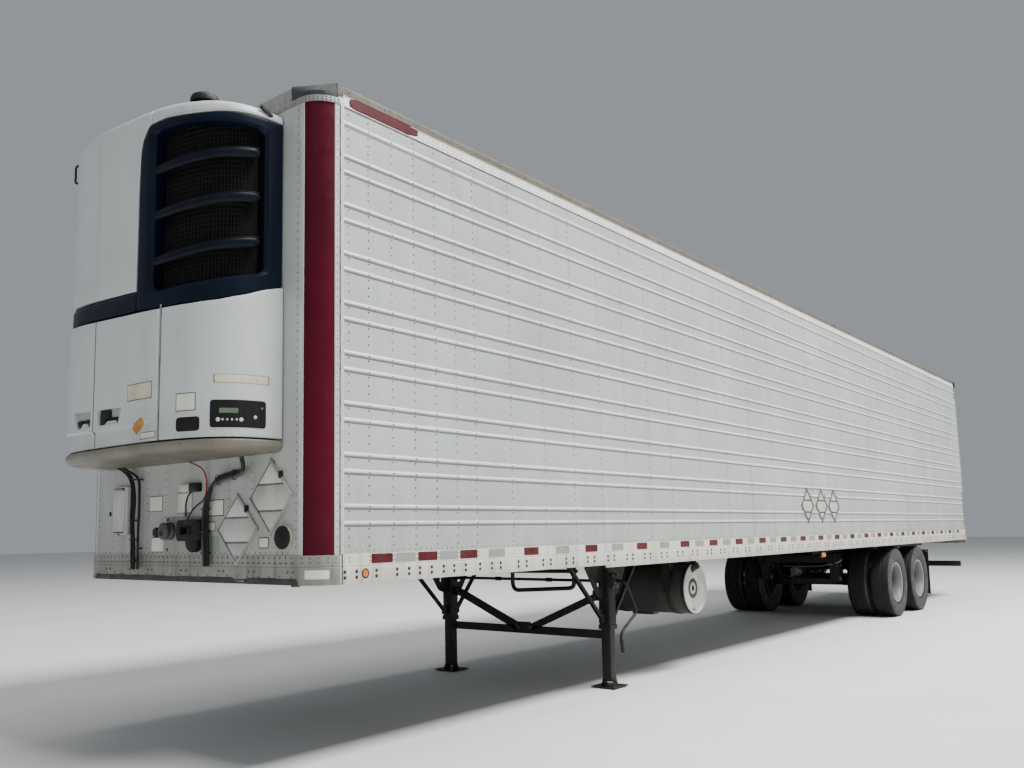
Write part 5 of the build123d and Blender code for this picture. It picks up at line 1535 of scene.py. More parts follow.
def door_panel(u0, u1, key=None, fade=None):
    us = spaced(u0, u1, 0.011)
    if key:
        tl, tr, br, bl = POCKETS[key][:4]
        near = np.concatenate([np.arange(LO.uy(tl[0]) - 0.003, LO.uy(bl[0]) + 0.007, 0.0035), np.arange(LO.uy(br[0]) - 0.007, LO.uy(tr[0]) + 0.003, 0.0035)])
        us = sorted([u for u in us if min(abs(near - u)) > 0.003] + [float(v) for v in near if u0 + 0.009 < v < u1 - 0.009])
    A, B = [], []
    for u in us:
        y = float(np.interp(u, LO.u, LO.y))
        top = low_top(u)
        zc = crease(u)
        zs = [1.936, 1.9375, 1.940, 1.944] + list(np.linspace(1.952, zc - 0.016, 9)) + [zc - 0.010, zc - 0.006, zc - 0.002, zc + 0.002, zc + 0.007]
        if key:
            tl, tr, br, bl = POCKETS[key][:4]
            pa, pb = pline(bl, br, y), pline(tl, tr, y)
            zs += [pa - 0.002, pa, pa + 0.0022, pa + 0.0045] + list(np.linspace(pa + 0.012, pb - 0.012, 7)) + [pb - 0.0045, pb - 0.0022, pb, pb + 0.002]
            zs = sorted(zs) + list(np.linspace(2.215, 2.26, 3))
        else:
            zs += list(np.linspace(zc + 0.012, 2.205, 12)) + [2.235, 2.26]
        zs += list(np.linspace(2.30, top - 0.05, 9)) + [top - 0.008, top - 0.004, top - 0.0015, top]
        ca, cb = [], []
        for z in zs:
            ins = soft_edge(min(u - u0, u1 - u, z - 1.936, top - z))
            if key:
                f = 1.0 if fade is None else step((fade - y) / 0.16)
                ins += 0.017 * f * step((zc + 0.004 - z) / 0.016)
                ins += pocket(y, z, key)
            ca.append(LO.at(u, z, ins))
            cb.append(LO.at(u, z, max(ins, 0.004) + (0.012 if key else 0.02)))
        A.append(ca)
        B.append(cb)
    return slab(np.array(A), np.array(B))


uL0, uL1 = LO.ud(0.036, -1), LO.uy(-0.2535)
uC0, uC1 = LO.uy(-0.2465), LO.uy(0.4615)
uR0, uR1 = LO.uy(0.4835), LO.ud(0.0, 1)
add("unit_door_left_skin", door_panel(uL0, uL1, "left"), m_unit, "unit_door_left", smooth=32, replaces="unit_left_door")
add("unit_door_centre_skin", door_panel(uC0, uC1, "centre", 0.44), m_unit, "unit_door_centre", smooth=32,
    replaces="unit_centre_door")
add("unit_right_skin", door_panel(uR0, uR1), m_unit, smooth=32, replaces="unit_right_panel")


def patch(P, y0, y1, z0, z1, ins0, ins1, nu=10, corner=0.0, u=False, nz=2):
    # small curved plate on the outline between two depths
    u0, u1 = (y0, y1) if u else (P.uy(y0), P.uy(y1))
    A, B = [], []
    for i in range(nu + 1):
        uu = u0 + (u1 - u0) * i / nu
        e = min(uu - u0, u1 - uu)
        cut = corner - math.sqrt(max(0, corner ** 2 - (corner - e) ** 2)) if corner and e < corner else 0.0
        zs = np.linspace(z0 + cut, z1 - cut, nz)
        A.append([P.at(uu, z, ins0) for z in zs])
        B.append([P.at(uu, z, ins1) for z in zs])
    return slab(np.array(A), np.array(B))


def cpatch(P, u0, u1, z0, z1, ins0, ins1, r, n=14):
    # the same with round corners: columns crowd at the ends
    ts = list(np.linspace(0, 1, 7) ** 1.6 * r)
    us = [u0 + t for t in ts] + list(np.linspace(u0 + r, u1 - r, n)[1:-1]) + [u1 - t for t in reversed(ts)]
    A, B = [], []
    for uu in us:
        e = min(uu - u0, u1 - uu)
        cut = r - math.sqrt(max(0, r ** 2 - (r - min(e, r)) ** 2))
        zs = np.linspace(z0 + cut, z1 - cut, 5)
        A.append([P.at(uu, z, ins0 + (0.0015 if k in (0, 4) else 0)) for k, z in enumerate(zs)])
        B.append([P.at(uu, z, ins1) for z in zs])
    return slab(np.array(A), np.array(B))


# what lies in the two handle pockets: a sloped shade plate, the dark slot, the catch and a pale tab
for key, body in (("left", "unit_door_left"), ("centre", "unit_door_centre")):
    tl, tr, br, bl, nl, nr = POCKETS[key]
    g = Geo()
    g.put(skin_quad(((tl[0] + 0.004, tl[1] - 0.004), (tr[0] - 0.004, tr[1] - 0.004), (nr[0] - 0.004, nr[1] + 0.001), (nl[0] + 0.004, nl[1] + 0.001)), 0.0225, 0.033, flat=True))
    add("unit_pocket_slope_" + key, g, m_recess, body, smooth=30)
    g = Geo()
    g.put(skin_quad(((nl[0] + 0.004, nl[1]), (nr[0] - 0.004, nr[1]), (br[0] - 0.003, br[1] + 0.004), (bl[0] + 0.003, bl[1] + 0.004)), 0.016, 0.031, flat=True))
    add("unit_pocket_" + key, g, m_navy, body, smooth=30)
    g = Geo()
    if key == "left":
        g.put(skin_quad(((-0.400, 2.1060), (-0.345, 2.1040), (-0.318, 2.0785), (-0.445, 2.0790)), 0.010, 0.020, flat=True))
    else:
        g.put(skin_quad(((-0.078, 2.0960), (0.022, 2.0930), (0.036, 2.0755), (-0.118, 2.0760)), 0.010, 0.020, flat=True))
    add("unit_pocket_tab_" + key, g, m_unit, body, smooth=30)
    g = Geo()
    if key == "left":
        g.put(skin_quad(((-0.500, 2.1300), (-0.420, 2.1290), (-0.430, 2.0950), (-0.480, 2.0950)), 0.009, 0.024, flat=True))
    else:
        g.put(skin_quad(((-0.162, 2.1690), (-0.051, 2.1640), (-0.053, 2.1120), (-0.166, 2.1150)), 0.006, 0.031, flat=True))
        g.put(skin_quad(((-0.178, 2.1220), (-0.105, 2.1190), (-0.118, 2.0790), (-0.172, 2.0790)), 0.012, 0.026, flat=True))
    add("unit_latch_block_" + key, g, m_black, body, smooth=30, bevel=0.002)

# hinge knuckles
for nm, body, s, y, r, h in (("left", "unit_door_left", -0.034, -0.985, 0.008, 0.035), ("centre", "unit_door_centre", -0.4989, 0.462, 0.005, 0.030)):
    g = Geo()
    for z in (2.08, 2.40, 2.72):
        g.put(lathe([(0, -h), (r * 0.8, -h), (r, -h + 0.002), (r, h - 0.002), (r * 0.8, h), (0, h)], (s, y, z), (0, 0, 1), 16))
    add("unit_hinges_" + nm, g, m_zinc, body, smooth=40)

# ----- right panel: recess, control panel, blank labels
g = Geo()
g.put(cpatch(LO, LO.uy(0.625), LO.uy(0.778), 1.964, 2.064, -0.0010, 0.012, 0.022))
add("unit_recess", g, m_black, smooth=30)
g = Geo()
g.put(cpatch(LO, LO.uy(0.645), LO.uy(0.760), 1.978, 2.050, -0.0022, 0.012, 0.016))
add("unit_recess_inner", g, m_rubber, smooth=30)
uc0, uc1 = LO.uy(0.832), LO.ud(0.122, 1)
g = Geo()
g.put(cpatch(LO, uc0, uc1, 1.988, 2.147, -0.0040, 0.012, 0.016))
g.put(cpatch(LO, uc0 + 0.012, LO.uy(0.951), 2.000, 2.135, -0.0055, 0.004, 0.010))
g.put(cpatch(LO, LO.uy(0.951) + 0.010, uc1 - 0.010, 2.000, 2.135, -0.0055, 0.004, 0.010))
add("unit_controls", g, m_black, smooth=30, replaces="unit_control_panel")
g = Geo()
g.put(cpatch(LO, LO.uy(0.874), LO.uy(0.938), 2.066, 2.104, -0.0062, 0.004, 0.004))
add("unit_display", g, m_green, smooth=30)


def on(P, u, z, ins):
    p = np.array(P.at(u, z, ins))
    ny, nd = np.interp(u, P.u, P.ny), np.interp(u, P.u, P.nd)
    return p, (-nd, ny, 0.0)


g = Geo()
u_a, u_b = LO.uy(0.869), LO.uy(0.946)
for i in range(6):
    p, nn = on(LO, u_a + (u_b - u_a) * i / 5, 2.033, -0.005)
    g.put(dome(p, nn, 0.0125 if i in (0, 5) else 0.0065, 0.003, 14))
p, nn = on(LO, LO.ud(0.19, 1), 2.05, -0.005)
g.put(dome(p, nn, 0.011, 0.006, 14))
add("unit_buttons", g, m_button, smooth=60)
g = Geo()
p, nn = on(LO, LO.ud(0.149, 1), 2.104, -0.005)
g.put(dome(p, nn, 0.008, 0.006, 12))
add("unit_lamp_green", g, m_green, smooth=60)

gl, gc_, gb, gt_ = Geo(), Geo(), Geo(), Geo()
gb.put(patch(LO, 0.621, 0.754, 2.090, 2.197, -0.0008, 0.004, 8))
gl.put(patch(LO, 0.627, 0.748, 2.096, 2.191, -0.0016, 0.004, 8))
uP0, uP1 = LO.uy(0.846), LO.ud(0.100, 1)
gb.put(cpatch(LO, uP0, uP1, 2.240, 2.300, -0.0012, 0.004, 0.006))
gc_.put(cpatch(LO, uP0 + 0.007, uP1 - 0.007, 2.247, 2.293, -0.0020, 0.004, 0.004))
add("unit_label_blank_white", gl, m_label, smooth=0)
add("unit_label_borders", gb, m_label_edge, smooth=0)
add("unit_label_blank_cream", gc_, m_label_cream, smooth=0)
g = Geo()
g.put(patch(LO, 0.164, 0.416, 2.191, 2.294, -0.0006, 0.004, 10))
add("unit_door_label_rim", g, m_label_edge, "unit_door_centre", smooth=0)
g = Geo()
g.put(patch(LO, 0.17, 0.41, 2.197, 2.288, -0.0014, 0.004, 10))
add("unit_door_label_cream", g, m_label_cream, "unit_door_centre", smooth=0)
g = Geo()
g.put(skin_quad(((0.3175, 2.0854), (0.3460, 2.0543), (0.2494, 1.9835), (0.1985, 2.0282)), -0.0012, 0.003, fade=0.44, n=14, m=14))
add("unit_door_label_tan", g, m_tan_label, "unit_door_centre", smooth=0)
g, gi = Geo(), Geo()
g.put(skin_quad(((0.2857, 1.9942), (0.4570, 1.9936), (0.4570, 1.9521), (0.2877, 1.9524)), -0.0010, 0.003, fade=0.44, n=16))
gi.put(skin_quad(((0.2920, 1.9890), (0.4510, 1.9884), (0.4510, 1.9573), (0.2940, 1.9576)), -0.0018, 0.003, fade=0.44, n=16))
add("unit_door_label_pale", gi, m_label, "unit_door_centre", smooth=0)
add("unit_door_label_grey", g, m_label_edge, "unit_door_centre", smooth=0)

# ----- pan with a rounded lip
rows = [(0.0, 1.916, None), (0.5, 1.918, None), (None, 1.922, 0.040), (None, 1.926, 0.018), (None, 1.9255, 0.006), (None, 1.920, 0.001),
        (None, 1.912, 0.0), (None, 1.898, 0.001), (None, 1.884, 0.006), (None, 1.872, 0.016), (None, 1.863, 0.030), (None, 1.859, 0.048),
        (0.55, 1.8585, None), (0.0, 1.8585, None)]
us = np.linspace(-LO.end, LO.end, 121)
G = np.zeros((len(us), len(rows), 3))
for i, u in enumerate(us):
    for j, (rho, z, ins) in enumerate(rows):
        if ins is None:
            p = np.array(LO.at(u, z))
            p[:2] *= rho
            if rho == 0.0:
                p[1] = LO.at(u, z)[1] * 0.05
        else:
            p = np.array(LO.at(u, z, ins))
        G[i, j] = p
n, m = G.shape[:2]
F = []
for i in range(n - 1):
    for j in range(m):
        k = (j + 1) % m
        F.append((i * m + j, i * m + k, (i + 1) * m + k, (i + 1) * m + j))
F += [tuple(range(m)), tuple((n - 1) * m + j for j in range(m))]
add("unit_pan", (G.reshape(-1, 3), F), m_pan, smooth=50, replaces="unit_base_pan")
g = Geo()
for y in (-0.62, -0.2, 0.25, 0.66):
    p, nn = on(LO, LO.uy(y), 1.905, 0.0)
    g.put(dome(p, nn, 0.0055, 0.0020))
add("unit_pan_bolts", g, m_bolt, smooth=30)

# ----- band under the white panel
uF = UP.uy(0.2035)
us = spaced(-UP.end, uF, 0.016)
A, B = [], []
for u in us:
    z0, z1 = band_low(u), band_top(u)
    zs = [z0, z0 + 0.0015, z0 + 0.004, z0 + 0.008, z0 + 0.03, (z0 + z1) / 2, z1 - 0.02, z1 - 0.006, z1 - 0.002, z1, z1 + 0.016]
    ii = [soft_edge(0), soft_edge(0.0015), soft_edge(0.004), 0, 0, 0.001, 0.002, 0.004, 0.007, 0.012, 0.014]
    e = soft_edge(min(u + UP.end, uF - u))
    A.append([UP.at(u, z, a + e) for z, a in zip(zs, ii)])
    B.append([UP.at(u, z, max(a, 0.004) + e + 0.018) for z, a in zip(zs, ii)])
add("unit_band", slab(np.array(A), np.array(B)), m_navy, smooth=35)


# ----- frame round the grille
def rsq(r, ns=16, nc=6):
    # rounded square over -1..1 with points on its sides
    out = []
    for ca, cb, t in ((1, 1, 0), (-1, 1, 90), (-1, -1, 180), (1, -1, 270)):
        ra, rb = r
        for i in range(nc + 1):
            w = math.radians(t + 90 * i / nc)
            out.append((ca * (1 - ra) + ra * math.cos(w), cb * (1 - rb) + rb * math.sin(w)))
        # straight run to the next corner
        w = math.radians(t + 90)
        p = out[-1]
        nx = {0: (-1 + ra, 1), 90: (-1, -1 + rb), 180: (1 - ra, -1), 270: (1, 1 - rb)}[t]
        for i in range(1, ns):
            out.append((p[0] + (nx[0] - p[0]) * i / ns, p[1] + (nx[1] - p[1]) * i / ns))
    return out


def frame_left(z):
    ys = np.interp(z, [2.70, 2.88, 3.60, 3.72, 3.79, 3.84, 3.88, 3.905, 3.93], [0.2075, 0.2085, 0.2095, 0.213, 0.222, 0.238, 0.262, 0.295, 0.325])
    return UP.uy(float(ys))


def floop(fl, fr, fb, ft, r, ins, shrink=0.0):
    out = []
    for a, b in rsq(r):
        z = (fb(0.5) + ft(0.5)) / 2
        for _ in range(3):
            ul, ur = fl(z) + shrink, fr(z) - shrink
            u = ul + (ur - ul) * (a + 1) / 2
            z0, z1 = fb(u) + shrink, ft(u) - shrink
            z = z0 + (z1 - z0) * (b + 1) / 2
        out.append((u, z, ins))
    return out


wl = lambda z: UP.uy(0.345)
wr = lambda z: UP.ud(0.118, 1)
wb = smooth_curve(UP, [(UP.uy(0.30), 2.856), (UP.uy(0.5), 2.852), (UP.uy(0.75), 2.862), (UP.uy(0.90), 2.885), (UP.ud(0.118, 1), 2.925)])
wt = smooth_curve(UP, [(UP.uy(0.30), 3.872), (UP.uy(0.6), 3.862), (UP.uy(0.85), 3.838), (UP.ud(0.118, 1), 3.815)])
of = (frame_left, lambda z: UP.end, band_low, frame_top)
wf = (wl, wr, wb, wt)
gf = (lambda z: wl(z) - 0.052, lambda z: wr(z) + 0.014, lambda u: wb(u) - 0.016, lambda u: wt(u) + 0.012)
L = [floop(*of, (0.012, 0.01), 0.026, 0.002), floop(*of, (0.012, 0.01), 0.006, 0.0), floop(*of, (0.012, 0.01), 0.0015, 0.0025),
     floop(*of, (0.012, 0.01), 0.0, 0.006)]
o_, g_ = floop(*of, (0.012, 0.01), 0.0, 0.006), floop(*gf, (0.14, 0.085), 0.0)
for t in (0.35, 0.7, 0.97):
    L.append([(p[0] + (q[0] - p[0]) * t, p[1] + (q[1] - p[1]) * t, 0.0) for p, q in zip(o_, g_)])
L.append(floop(*gf, (0.14, 0.085), 0.002))
L.append(floop(*wf, (0.15, 0.09), 0.026))
L.append(floop(*wf, (0.15, 0.09), 0.032, -0.001))
L.append(floop(*wf, (0.15, 0.09), 0.100, -0.004))
L.append(floop(*wf, (0.15, 0.09), 0.104, -0.012))
L.append(floop(*wf, (0.15, 0.09), 0.036, -0.012))
loops = [[UP.at(min(u, UP.end), z, i) for u, z, i in l] for l in L]
add("unit_frame", rings(loops), m_navy, smooth=30, replaces="unit_grille_frame")

# lighter bevel line on the right limb of the frame
g = Geo()
ua = UP.ud(0.090, 1)
A, B = [], []
for z in np.linspace(2.93, 3.80, 30):
    k = 0.006 * math.sin(math.pi * (z - 2.93) / 0.87)
    A.append([UP.at(ua - 0.010 - k, z, 0.0004), UP.at(ua + 0.0 - k, z, -0.0012), UP.at(ua + 0.028 - k, z, -0.0012), UP.at(ua + 0.036 - k, z, 0.0004)])
    B.append([UP.at(ua - 0.010 - k, z, 0.004), UP.at(ua - k, z, 0.004), UP.at(ua + 0.028 - k, z, 0.004), UP.at(ua + 0.036 - k, z, 0.004)])
g.put(slab(np.array(A), np.array(B)))
add("unit_frame_bevel", g, m_slat, smooth=40)

# louvres: hollow-backed blades that climb a little round the corner
g = Geo()
SEC_ = [(0.034, -0.50), (0.026, -0.42), (0.020, -0.15), (0.018, 0.10), (0.019, 0.32), (0.024, 0.46), (0.034, 0.50), (0.062, 0.44), (0.088, 0.26),
        (0.090, 0.12), (0.064, 0.20), (0.040, 0.14), (0.030, -0.12), (0.036, -0.40)]
for zl, zr in ((3.620, 3.665), (3.330, 3.390), (3.039, 3.111)):
    us = np.linspace(UP.uy(0.318), UP.ud(0.150, 1), 40)
    loops = []
    for i, u in enumerate(us):
        t = i / (len(us) - 1)
        h = 0.047 + 0.015 * t
        c = zl + (zr - zl) * t ** 1.5
        e = 1.0 - 0.5 * max(0, (t - 0.965) / 0.035) ** 2
        loops.append([UP.at(u, c + dz * h * e, ins + (1 - e) * 0.01) for ins, dz in SEC_])
    g.put(rings(loops, close=False, caps=True))
add("unit_louvres", g, m_slat, smooth=40)
# highlights worn on the upper edge of each louvre are its own thin bead
g = Geo()
for zl, zr in ((3.620, 3.665), (3.330, 3.390), (3.039, 3.111)):
    us = np.linspace(UP.uy(0.322), UP.ud(0.155, 1), 40)
    pts = []
    for i, u in enumerate(us):
        t = i / (len(us) - 1)
        h = 0.047 + 0.015 * t
        pts.append(UP.at(u, zl + (zr - zl) * t ** 1.5 + 0.47 * h, 0.0225))
    g.put(tube(np.array(pts), 0.0028, 6))
add("unit_louvre_beads", g, m_slat, smooth=60)

# wire mesh guard in front of the coil
g = Geo()
uu = np.arange(UP.uy(0.33), UP.ud(0.13, 1), 0.030)
for u in uu:
    P_ = [UP.at(u, z, 0.096) for z in (2.85, 3.35, 3.88)]
    g.put(tube(np.array(P_), 0.0016, 4))
for z in np.arange(2.87, 3.87, 0.030):
    P_ = [UP.at(u, z, 0.0985) for u in np.linspace(UP.uy(0.33), UP.ud(0.13, 1), 18)]
    g.put(tube(np.array(P_), 0.0016, 4))
add("unit_mesh_guard", g, m_fin_dark, smooth=60)
# dark inner wall that closes the window behind the right margin
A, B = [], []
for k in range(9):
    t = k / 8
    u = UP.ud(0.118, 1) + 0.0 - 0.0 * t
    ins = 0.04 + 0.28 * t
    A.append([UP.at(u, z, ins) for z in (2.88, 3.35, 3.86)])
    B.append([tuple(np.array(UP.at(u, z, ins)) + [0.004, 0, 0]) for z in (2.88, 3.35, 3.86)])
add("unit_inner_wall", slab(np.array(A), np.array(B)), m_navy_in, smooth=50)


# ----- hood: white panel and cap, rolled over into the crowned top
def hood_edge(y):
    return min(4.015, max(3.905, 3.981 - 0.105 * y))


def hood_top(y, d):
    return max(4.086 - 0.090 * (abs(y) / 0.968) ** 2.4 + 0.008 * d, hood_edge(y) + 0.035)


def hood_col(u, bottom, inset):
    y, d = float(np.interp(u, UP.u, UP.y)), float(np.interp(u, UP.u, UP.d))
    ze = hood_edge(y)
    out = []
    zs = [bottom, bottom + 0.0015, bottom + 0.004, bottom + 0.008] + list(np.linspace(max(bottom + 0.012, 2.99 if bottom < 3 else bottom + 0.012), ze - 0.002, 16 if bottom < 3.2 else 16))
    for z in zs:
        out.append((u, z, soft_edge(z - bottom) + inset))
    col = [UP.at(*p) for p in out]
    for k in range(1, 19):
        t = k / 18
        rho = 1 - 0.985 * (1 - math.cos(t * math.pi / 2)) if t < 1 else 0.015
        rho = 1 - t ** 1.9 * 0.985
        base = np.array(UP.at(u, 0, inset))
        yy, dd = base[1] * rho, -base[0] * rho
        zt = hood_top(yy, dd) - inset
        z = ze + (zt - ze) * max(0.0, 1 - rho ** 2.7) ** (1 / 3.3)
        col.append((-dd, yy, z))
    return col


def fl_bottom(y):
    # height of the frame's left edge where the panel runs round it
    return float(np.interp(y, [0.2095, 0.213, 0.222, 0.238, 0.262, 0.295, 0.325], [3.60, 3.72, 3.79, 3.84, 3.88, 3.905, 3.922])) + 0.006


us = spaced(-UP.end, UP.uy(0.201), 0.016)
A = [hood_col(u, white_low(u), soft_edge(u + UP.end)) for u in us]
B = [hood_col(u, white_low(u), 0.02) for u in us]
nn = len(A)
for y in (0.2035, 0.206, 0.210, 0.214, 0.220, 0.228, 0.238, 0.250, 0.265, 0.282, 0.300, 0.313, 0.3165, 0.3190, 0.3205):
    u = UP.uy(y)
    e = soft_edge(max(0.0, 0.3205 - y))
    A.append(hood_col(u, fl_bottom(y) if y > 0.2035 else 3.45, e))
    B.append(hood_col(u, fl_bottom(y) if y > 0.2035 else 3.45, 0.02))
add("unit_white_hood", slab(np.array(A), np.array(B)), m_unit, smooth=40, replaces="unit_upper_panels")
us = spaced(UP.uy(0.3245), UP.end, 0.016)
A = [hood_col(u, frame_top(u) + 0.006, soft_edge(min(u - us[0], us[-1] - u))) for u in us]
B = [hood_col(u, frame_top(u) + 0.006, 0.02) for u in us]
add("unit_cap", slab(np.array(A), np.array(B)), m_unit, smooth=40)

# dark joint line filler between panel, band and cap
g = Geo()
us = np.linspace(-UP.end + 0.01, UP.uy(0.20), 60)
g.put(slab(np.array([[UP.at(u, band_top(u) - 0.004, 0.020), UP.at(u, white_low(u) + 0.012, 0.020)] for u in us]),
           np.array([[UP.at(u, band_top(u) - 0.004, 0.034), UP.at(u, white_low(u) + 0.012, 0.034)] for u in us])))
us = np.linspace(-LO.end + 0.04, LO.end - 0.01, 90)
g.put(slab(np.array([[UP.at(u * 0.98, low_top(u) - 0.012, 0.030), UP.at(u * 0.98, low_top(u) + 0.03, 0.030)] for u in us]),
           np.array([[UP.at(u * 0.98, low_top(u) - 0.012, 0.040), UP.at(u * 0.98, low_top(u) + 0.03, 0.040)] for u in us])))
add("unit_joint_seals", g, m_seal, smooth=40)

g = Geo()
for ya, yb, da, db in ((-0.2525, -0.2475, 0.0018, 0.012), (0.452, 0.498, 0.040, 0.046)):
    us_ = np.linspace(LO.uy(ya), LO.uy(yb), 5)
    z1_ = min(low_top(us_[0]), low_top(us_[-1])) - 0.004
    g.put(slab(np.array([[LO.at(u, z, (skin_in(u, z, fade=0.44) if da < 0.01 else 0.0) + da) for z in np.linspace(1.942, z1_, 40)] for u in us_]),
               np.array([[LO.at(u, z, (skin_in(u, z, fade=0.44) if da < 0.01 else 0.0) + db) for z in np.linspace(1.942, z1_, 40)] for u in us_])))
add("unit_upright_joints", g, m_dark_line, smooth=30)

# latches: a handle on the far side and a clip over the cap's near corner
g = Geo()
p0, n0 = on(UP, UP.uy(-0.80), 3.93, -0.004)
g.put(tube(spline([np.array(UP.at(UP.uy(-0.78), 3.985, 0.004)), np.array(UP.at(UP.uy(-0.80), 3.975, -0.018)), np.array(UP.at(UP.uy(-0.81), 3.92, -0.020)),
                   np.array(UP.at(UP.uy(-0.80), 3.865, -0.018)), np.array(UP.at(UP.uy(-0.78), 3.855, 0.004))], 6), 0.008, 8))
A_ = UP.at(UP.ud(0.165, 1), 3.951, -0.004)
B_ = UP.at(UP.ud(0.095, 1), 3.912, -0.004)
g.put(bar(A_, B_, 0.016, 0.022))
for q in (A_, B_):
    g.put(dome(np.array(q) + [0, 0.006, 0], (0, 1, 0), 0.011, 0.006, 12))
add("unit_latches", g, m_black, smooth=40, bevel=0.002)

# small exhaust stub and cap on the crown
g = Geo()
g.put(lathe([(0, 0), (0.088, 0), (0.088, 0.024), (0.080, 0.042), (0.058, 0.055), (0.03, 0.061), (0, 0.062)], (-0.335, 0.630, 4.012), (0, 0, 1), 32))
add("unit_crown_dome", g, m_black, smooth=50)

# ----- what the doors uncover: engine, compressor, belts, frame
g = Geo()
g.put(box(-0.30, -0.075, -0.34, 0.16, 2.02, 2.30))
g.put(box(-0.27, -0.105, -0.32, 0.14, 2.30, 2.42))
g.put(box(-0.255, -0.12, -0.30, 0.12, 2.42, 2.465))
g.put(box(-0.28, -0.10, -0.30, 0.12, 1.95, 2.02))
for y in (-0.26, -0.13, 0.0):
    g.put(box(-0.315, -0.30, y, y + 0.08, 2.06, 2.27))
    g.put(lathe([(0, 0), (0.012, 0), (0.012, 0.03), (0.008, 0.04), (0, 0.04)], (-0.19, y + 0.03, 2.465), (0, 0, 1), 12))
add("unit_engine_block", g, m_engine, smooth=30, bevel=0.008, replaces="unit_engine")
g = Geo()
g.put(lathe([(0, 0), (0.10, 0), (0.115, 0.02), (0.115, 0.20), (0.10, 0.225), (0, 0.225)], (-0.19, 0.20, 2.17), (0, 1, 0), 28))
g.put(lathe([(0, 0), (0.06, 0), (0.06, 0.07), (0.04, 0.08), (0, 0.08)], (-0.19, 0.42, 2.17), (0, 1, 0), 24))
for a in range(6):
    t = a * math.pi / 3
    g.put(hexbolt((-0.19 + 0.085 * math.cos(t), 0.425, 2.17 + 0.085 * math.sin(t)), (0, 1, 0), 0.009, 0.008))
g.put(lathe([(0, 0), (0.055, 0), (0.062, 0.01), (0.062, 0.2), (0.055, 0.21), (0, 0.21)], (-0.20, -0.60, 2.46), (0, 1, 0), 24))
add("unit_compressor", g, m_rust, smooth=40)
g = Geo()
for y, r, z, s in ((-0.385, 0.105, 2.10, -0.19), (-0.385, 0.06, 2.34, -0.16), (-0.385, 0.045, 2.23, -0.30), (-0.385, 0.055, 2.50, -0.26)):
    g.put(lathe([(0.012, 0), (r, 0), (r, 0.008), (r - 0.012, 0.015), (r, 0.022), (r, 0.030), (0.012, 0.030)], (s, y, z), (0, 1, 0), 28, loop=True))
    g.put(lathe([(0, -0.01), (0.016, -0.01), (0.016, 0.045), (0, 0.045)], (s, y, z), (0, 1, 0), 12))
add("unit_pulleys", g, m_steel_blk, smooth=30)
g = Geo()
belt = [(-0.19, 1.995), (-0.295, 2.09), (-0.345, 2.23), (-0.315, 2.51), (-0.26, 2.555), (-0.205, 2.50), (-0.10, 2.345), (-0.085, 2.10)]
P_ = spline([(s, -0.370, z) for s, z in belt + belt[:2]], 8)[:len(belt) * 8 + 1]
g.put(tube(P_, 0.008, 6))
add("unit_belt", g, m_rubber, smooth=50)
g = Geo()
for y in (-0.66, 0.50):
    g.put(box(-0.36, -0.03, y, y + 0.03, 1.93, 1.97))
for s in (-0.36, -0.06):
    g.put(box(s, s + 0.03, -0.66, 0.53, 1.93, 1.965))
for y in (-0.70, 0.545):
    g.put(box(-0.05, -0.028, y, y + 0.03, 1.93, 2.75))
g.put(box(-0.05, -0.028, -0.70, 0.575, 2.72, 2.75))
add("unit_engine_frame", g, m_steel_blk, smooth=30, bevel=0.003)
g = Geo()
g.put(lathe([(0, 0), (0.10, 0), (0.108, 0.012), (0.108, 0.30), (0.10, 0.315), (0.05, 0.32), (0, 0.32)], (-0.20, -0.62, 2.14), (0, 1, 0), 28))
g.put(pad(rrect(0.24, 0.49, 2.35, 2.62, 0.03, 4), "s", -0.06, -0.24, 0.012))
add("unit_filter_and_tank", g, m_black, smooth=40)
g = Geo()
g.put(tube(spline([(-0.20, 0.31, 2.30), (-0.26, 0.26, 2.42), (-0.24, 0.12, 2.55), (-0.16, -0.05, 2.60), (-0.10, -0.2, 2.66), (-0.06, -0.3, 2.74)], 8), 0.020, 10))
g.put(tube(spline([(-0.20, -0.30, 2.18), (-0.24, -0.28, 2.36), (-0.27, -0.20, 2.50), (-0.20, -0.10, 2.62), (-0.10, 0.0, 2.70), (-0.06, 0.05, 2.78)], 8), 0.024, 10))
g.put(tube(spline([(-0.30, 0.05, 2.10), (-0.335, 0.16, 2.06), (-0.32, 0.30, 2.02), (-0.24, 0.42, 2.00), (-0.12, 0.50, 2.0)], 8), 0.013, 8))
add("unit_engine_hoses", g, m_hose, smooth=60)

# fan shroud rings on the coil and a seam frame inside the box
g = Geo()
for z in (3.12, 3.62):
    g.put(lathe([(0.22, 0), (0.225, -0.02), (0.232, -0.02), (0.232, 0.01), (0.22, 0.01)], (-0.06, 0.57, z), (-1, 0, 0), 36, loop=True))
add("unit_shroud_rings", g, m_steel_blk, smooth=40)
g = Geo()
for z in np.arange(3.02, 3.84, 0.04):
    g.put(bar((0.469 if z > 3.08 else 0.455, -0.50, z), (0.469 if z > 3.08 else 0.455, 0.50, z), 0.010, 0.016))
g.put(box(0.462, 0.474, -0.53, -0.50, 3.0, 3.85))
g.put(box(0.462, 0.474, 0.50, 0.53, 3.0, 3.85))
add("evaporator_grille", g, m_alu, smooth=30)


# ------------------------------------------------------------------- wheels
AXLES = (11.390, 12.635)
AZ, TR = 0.508, 0.508
PL = (0.816, 1.152)


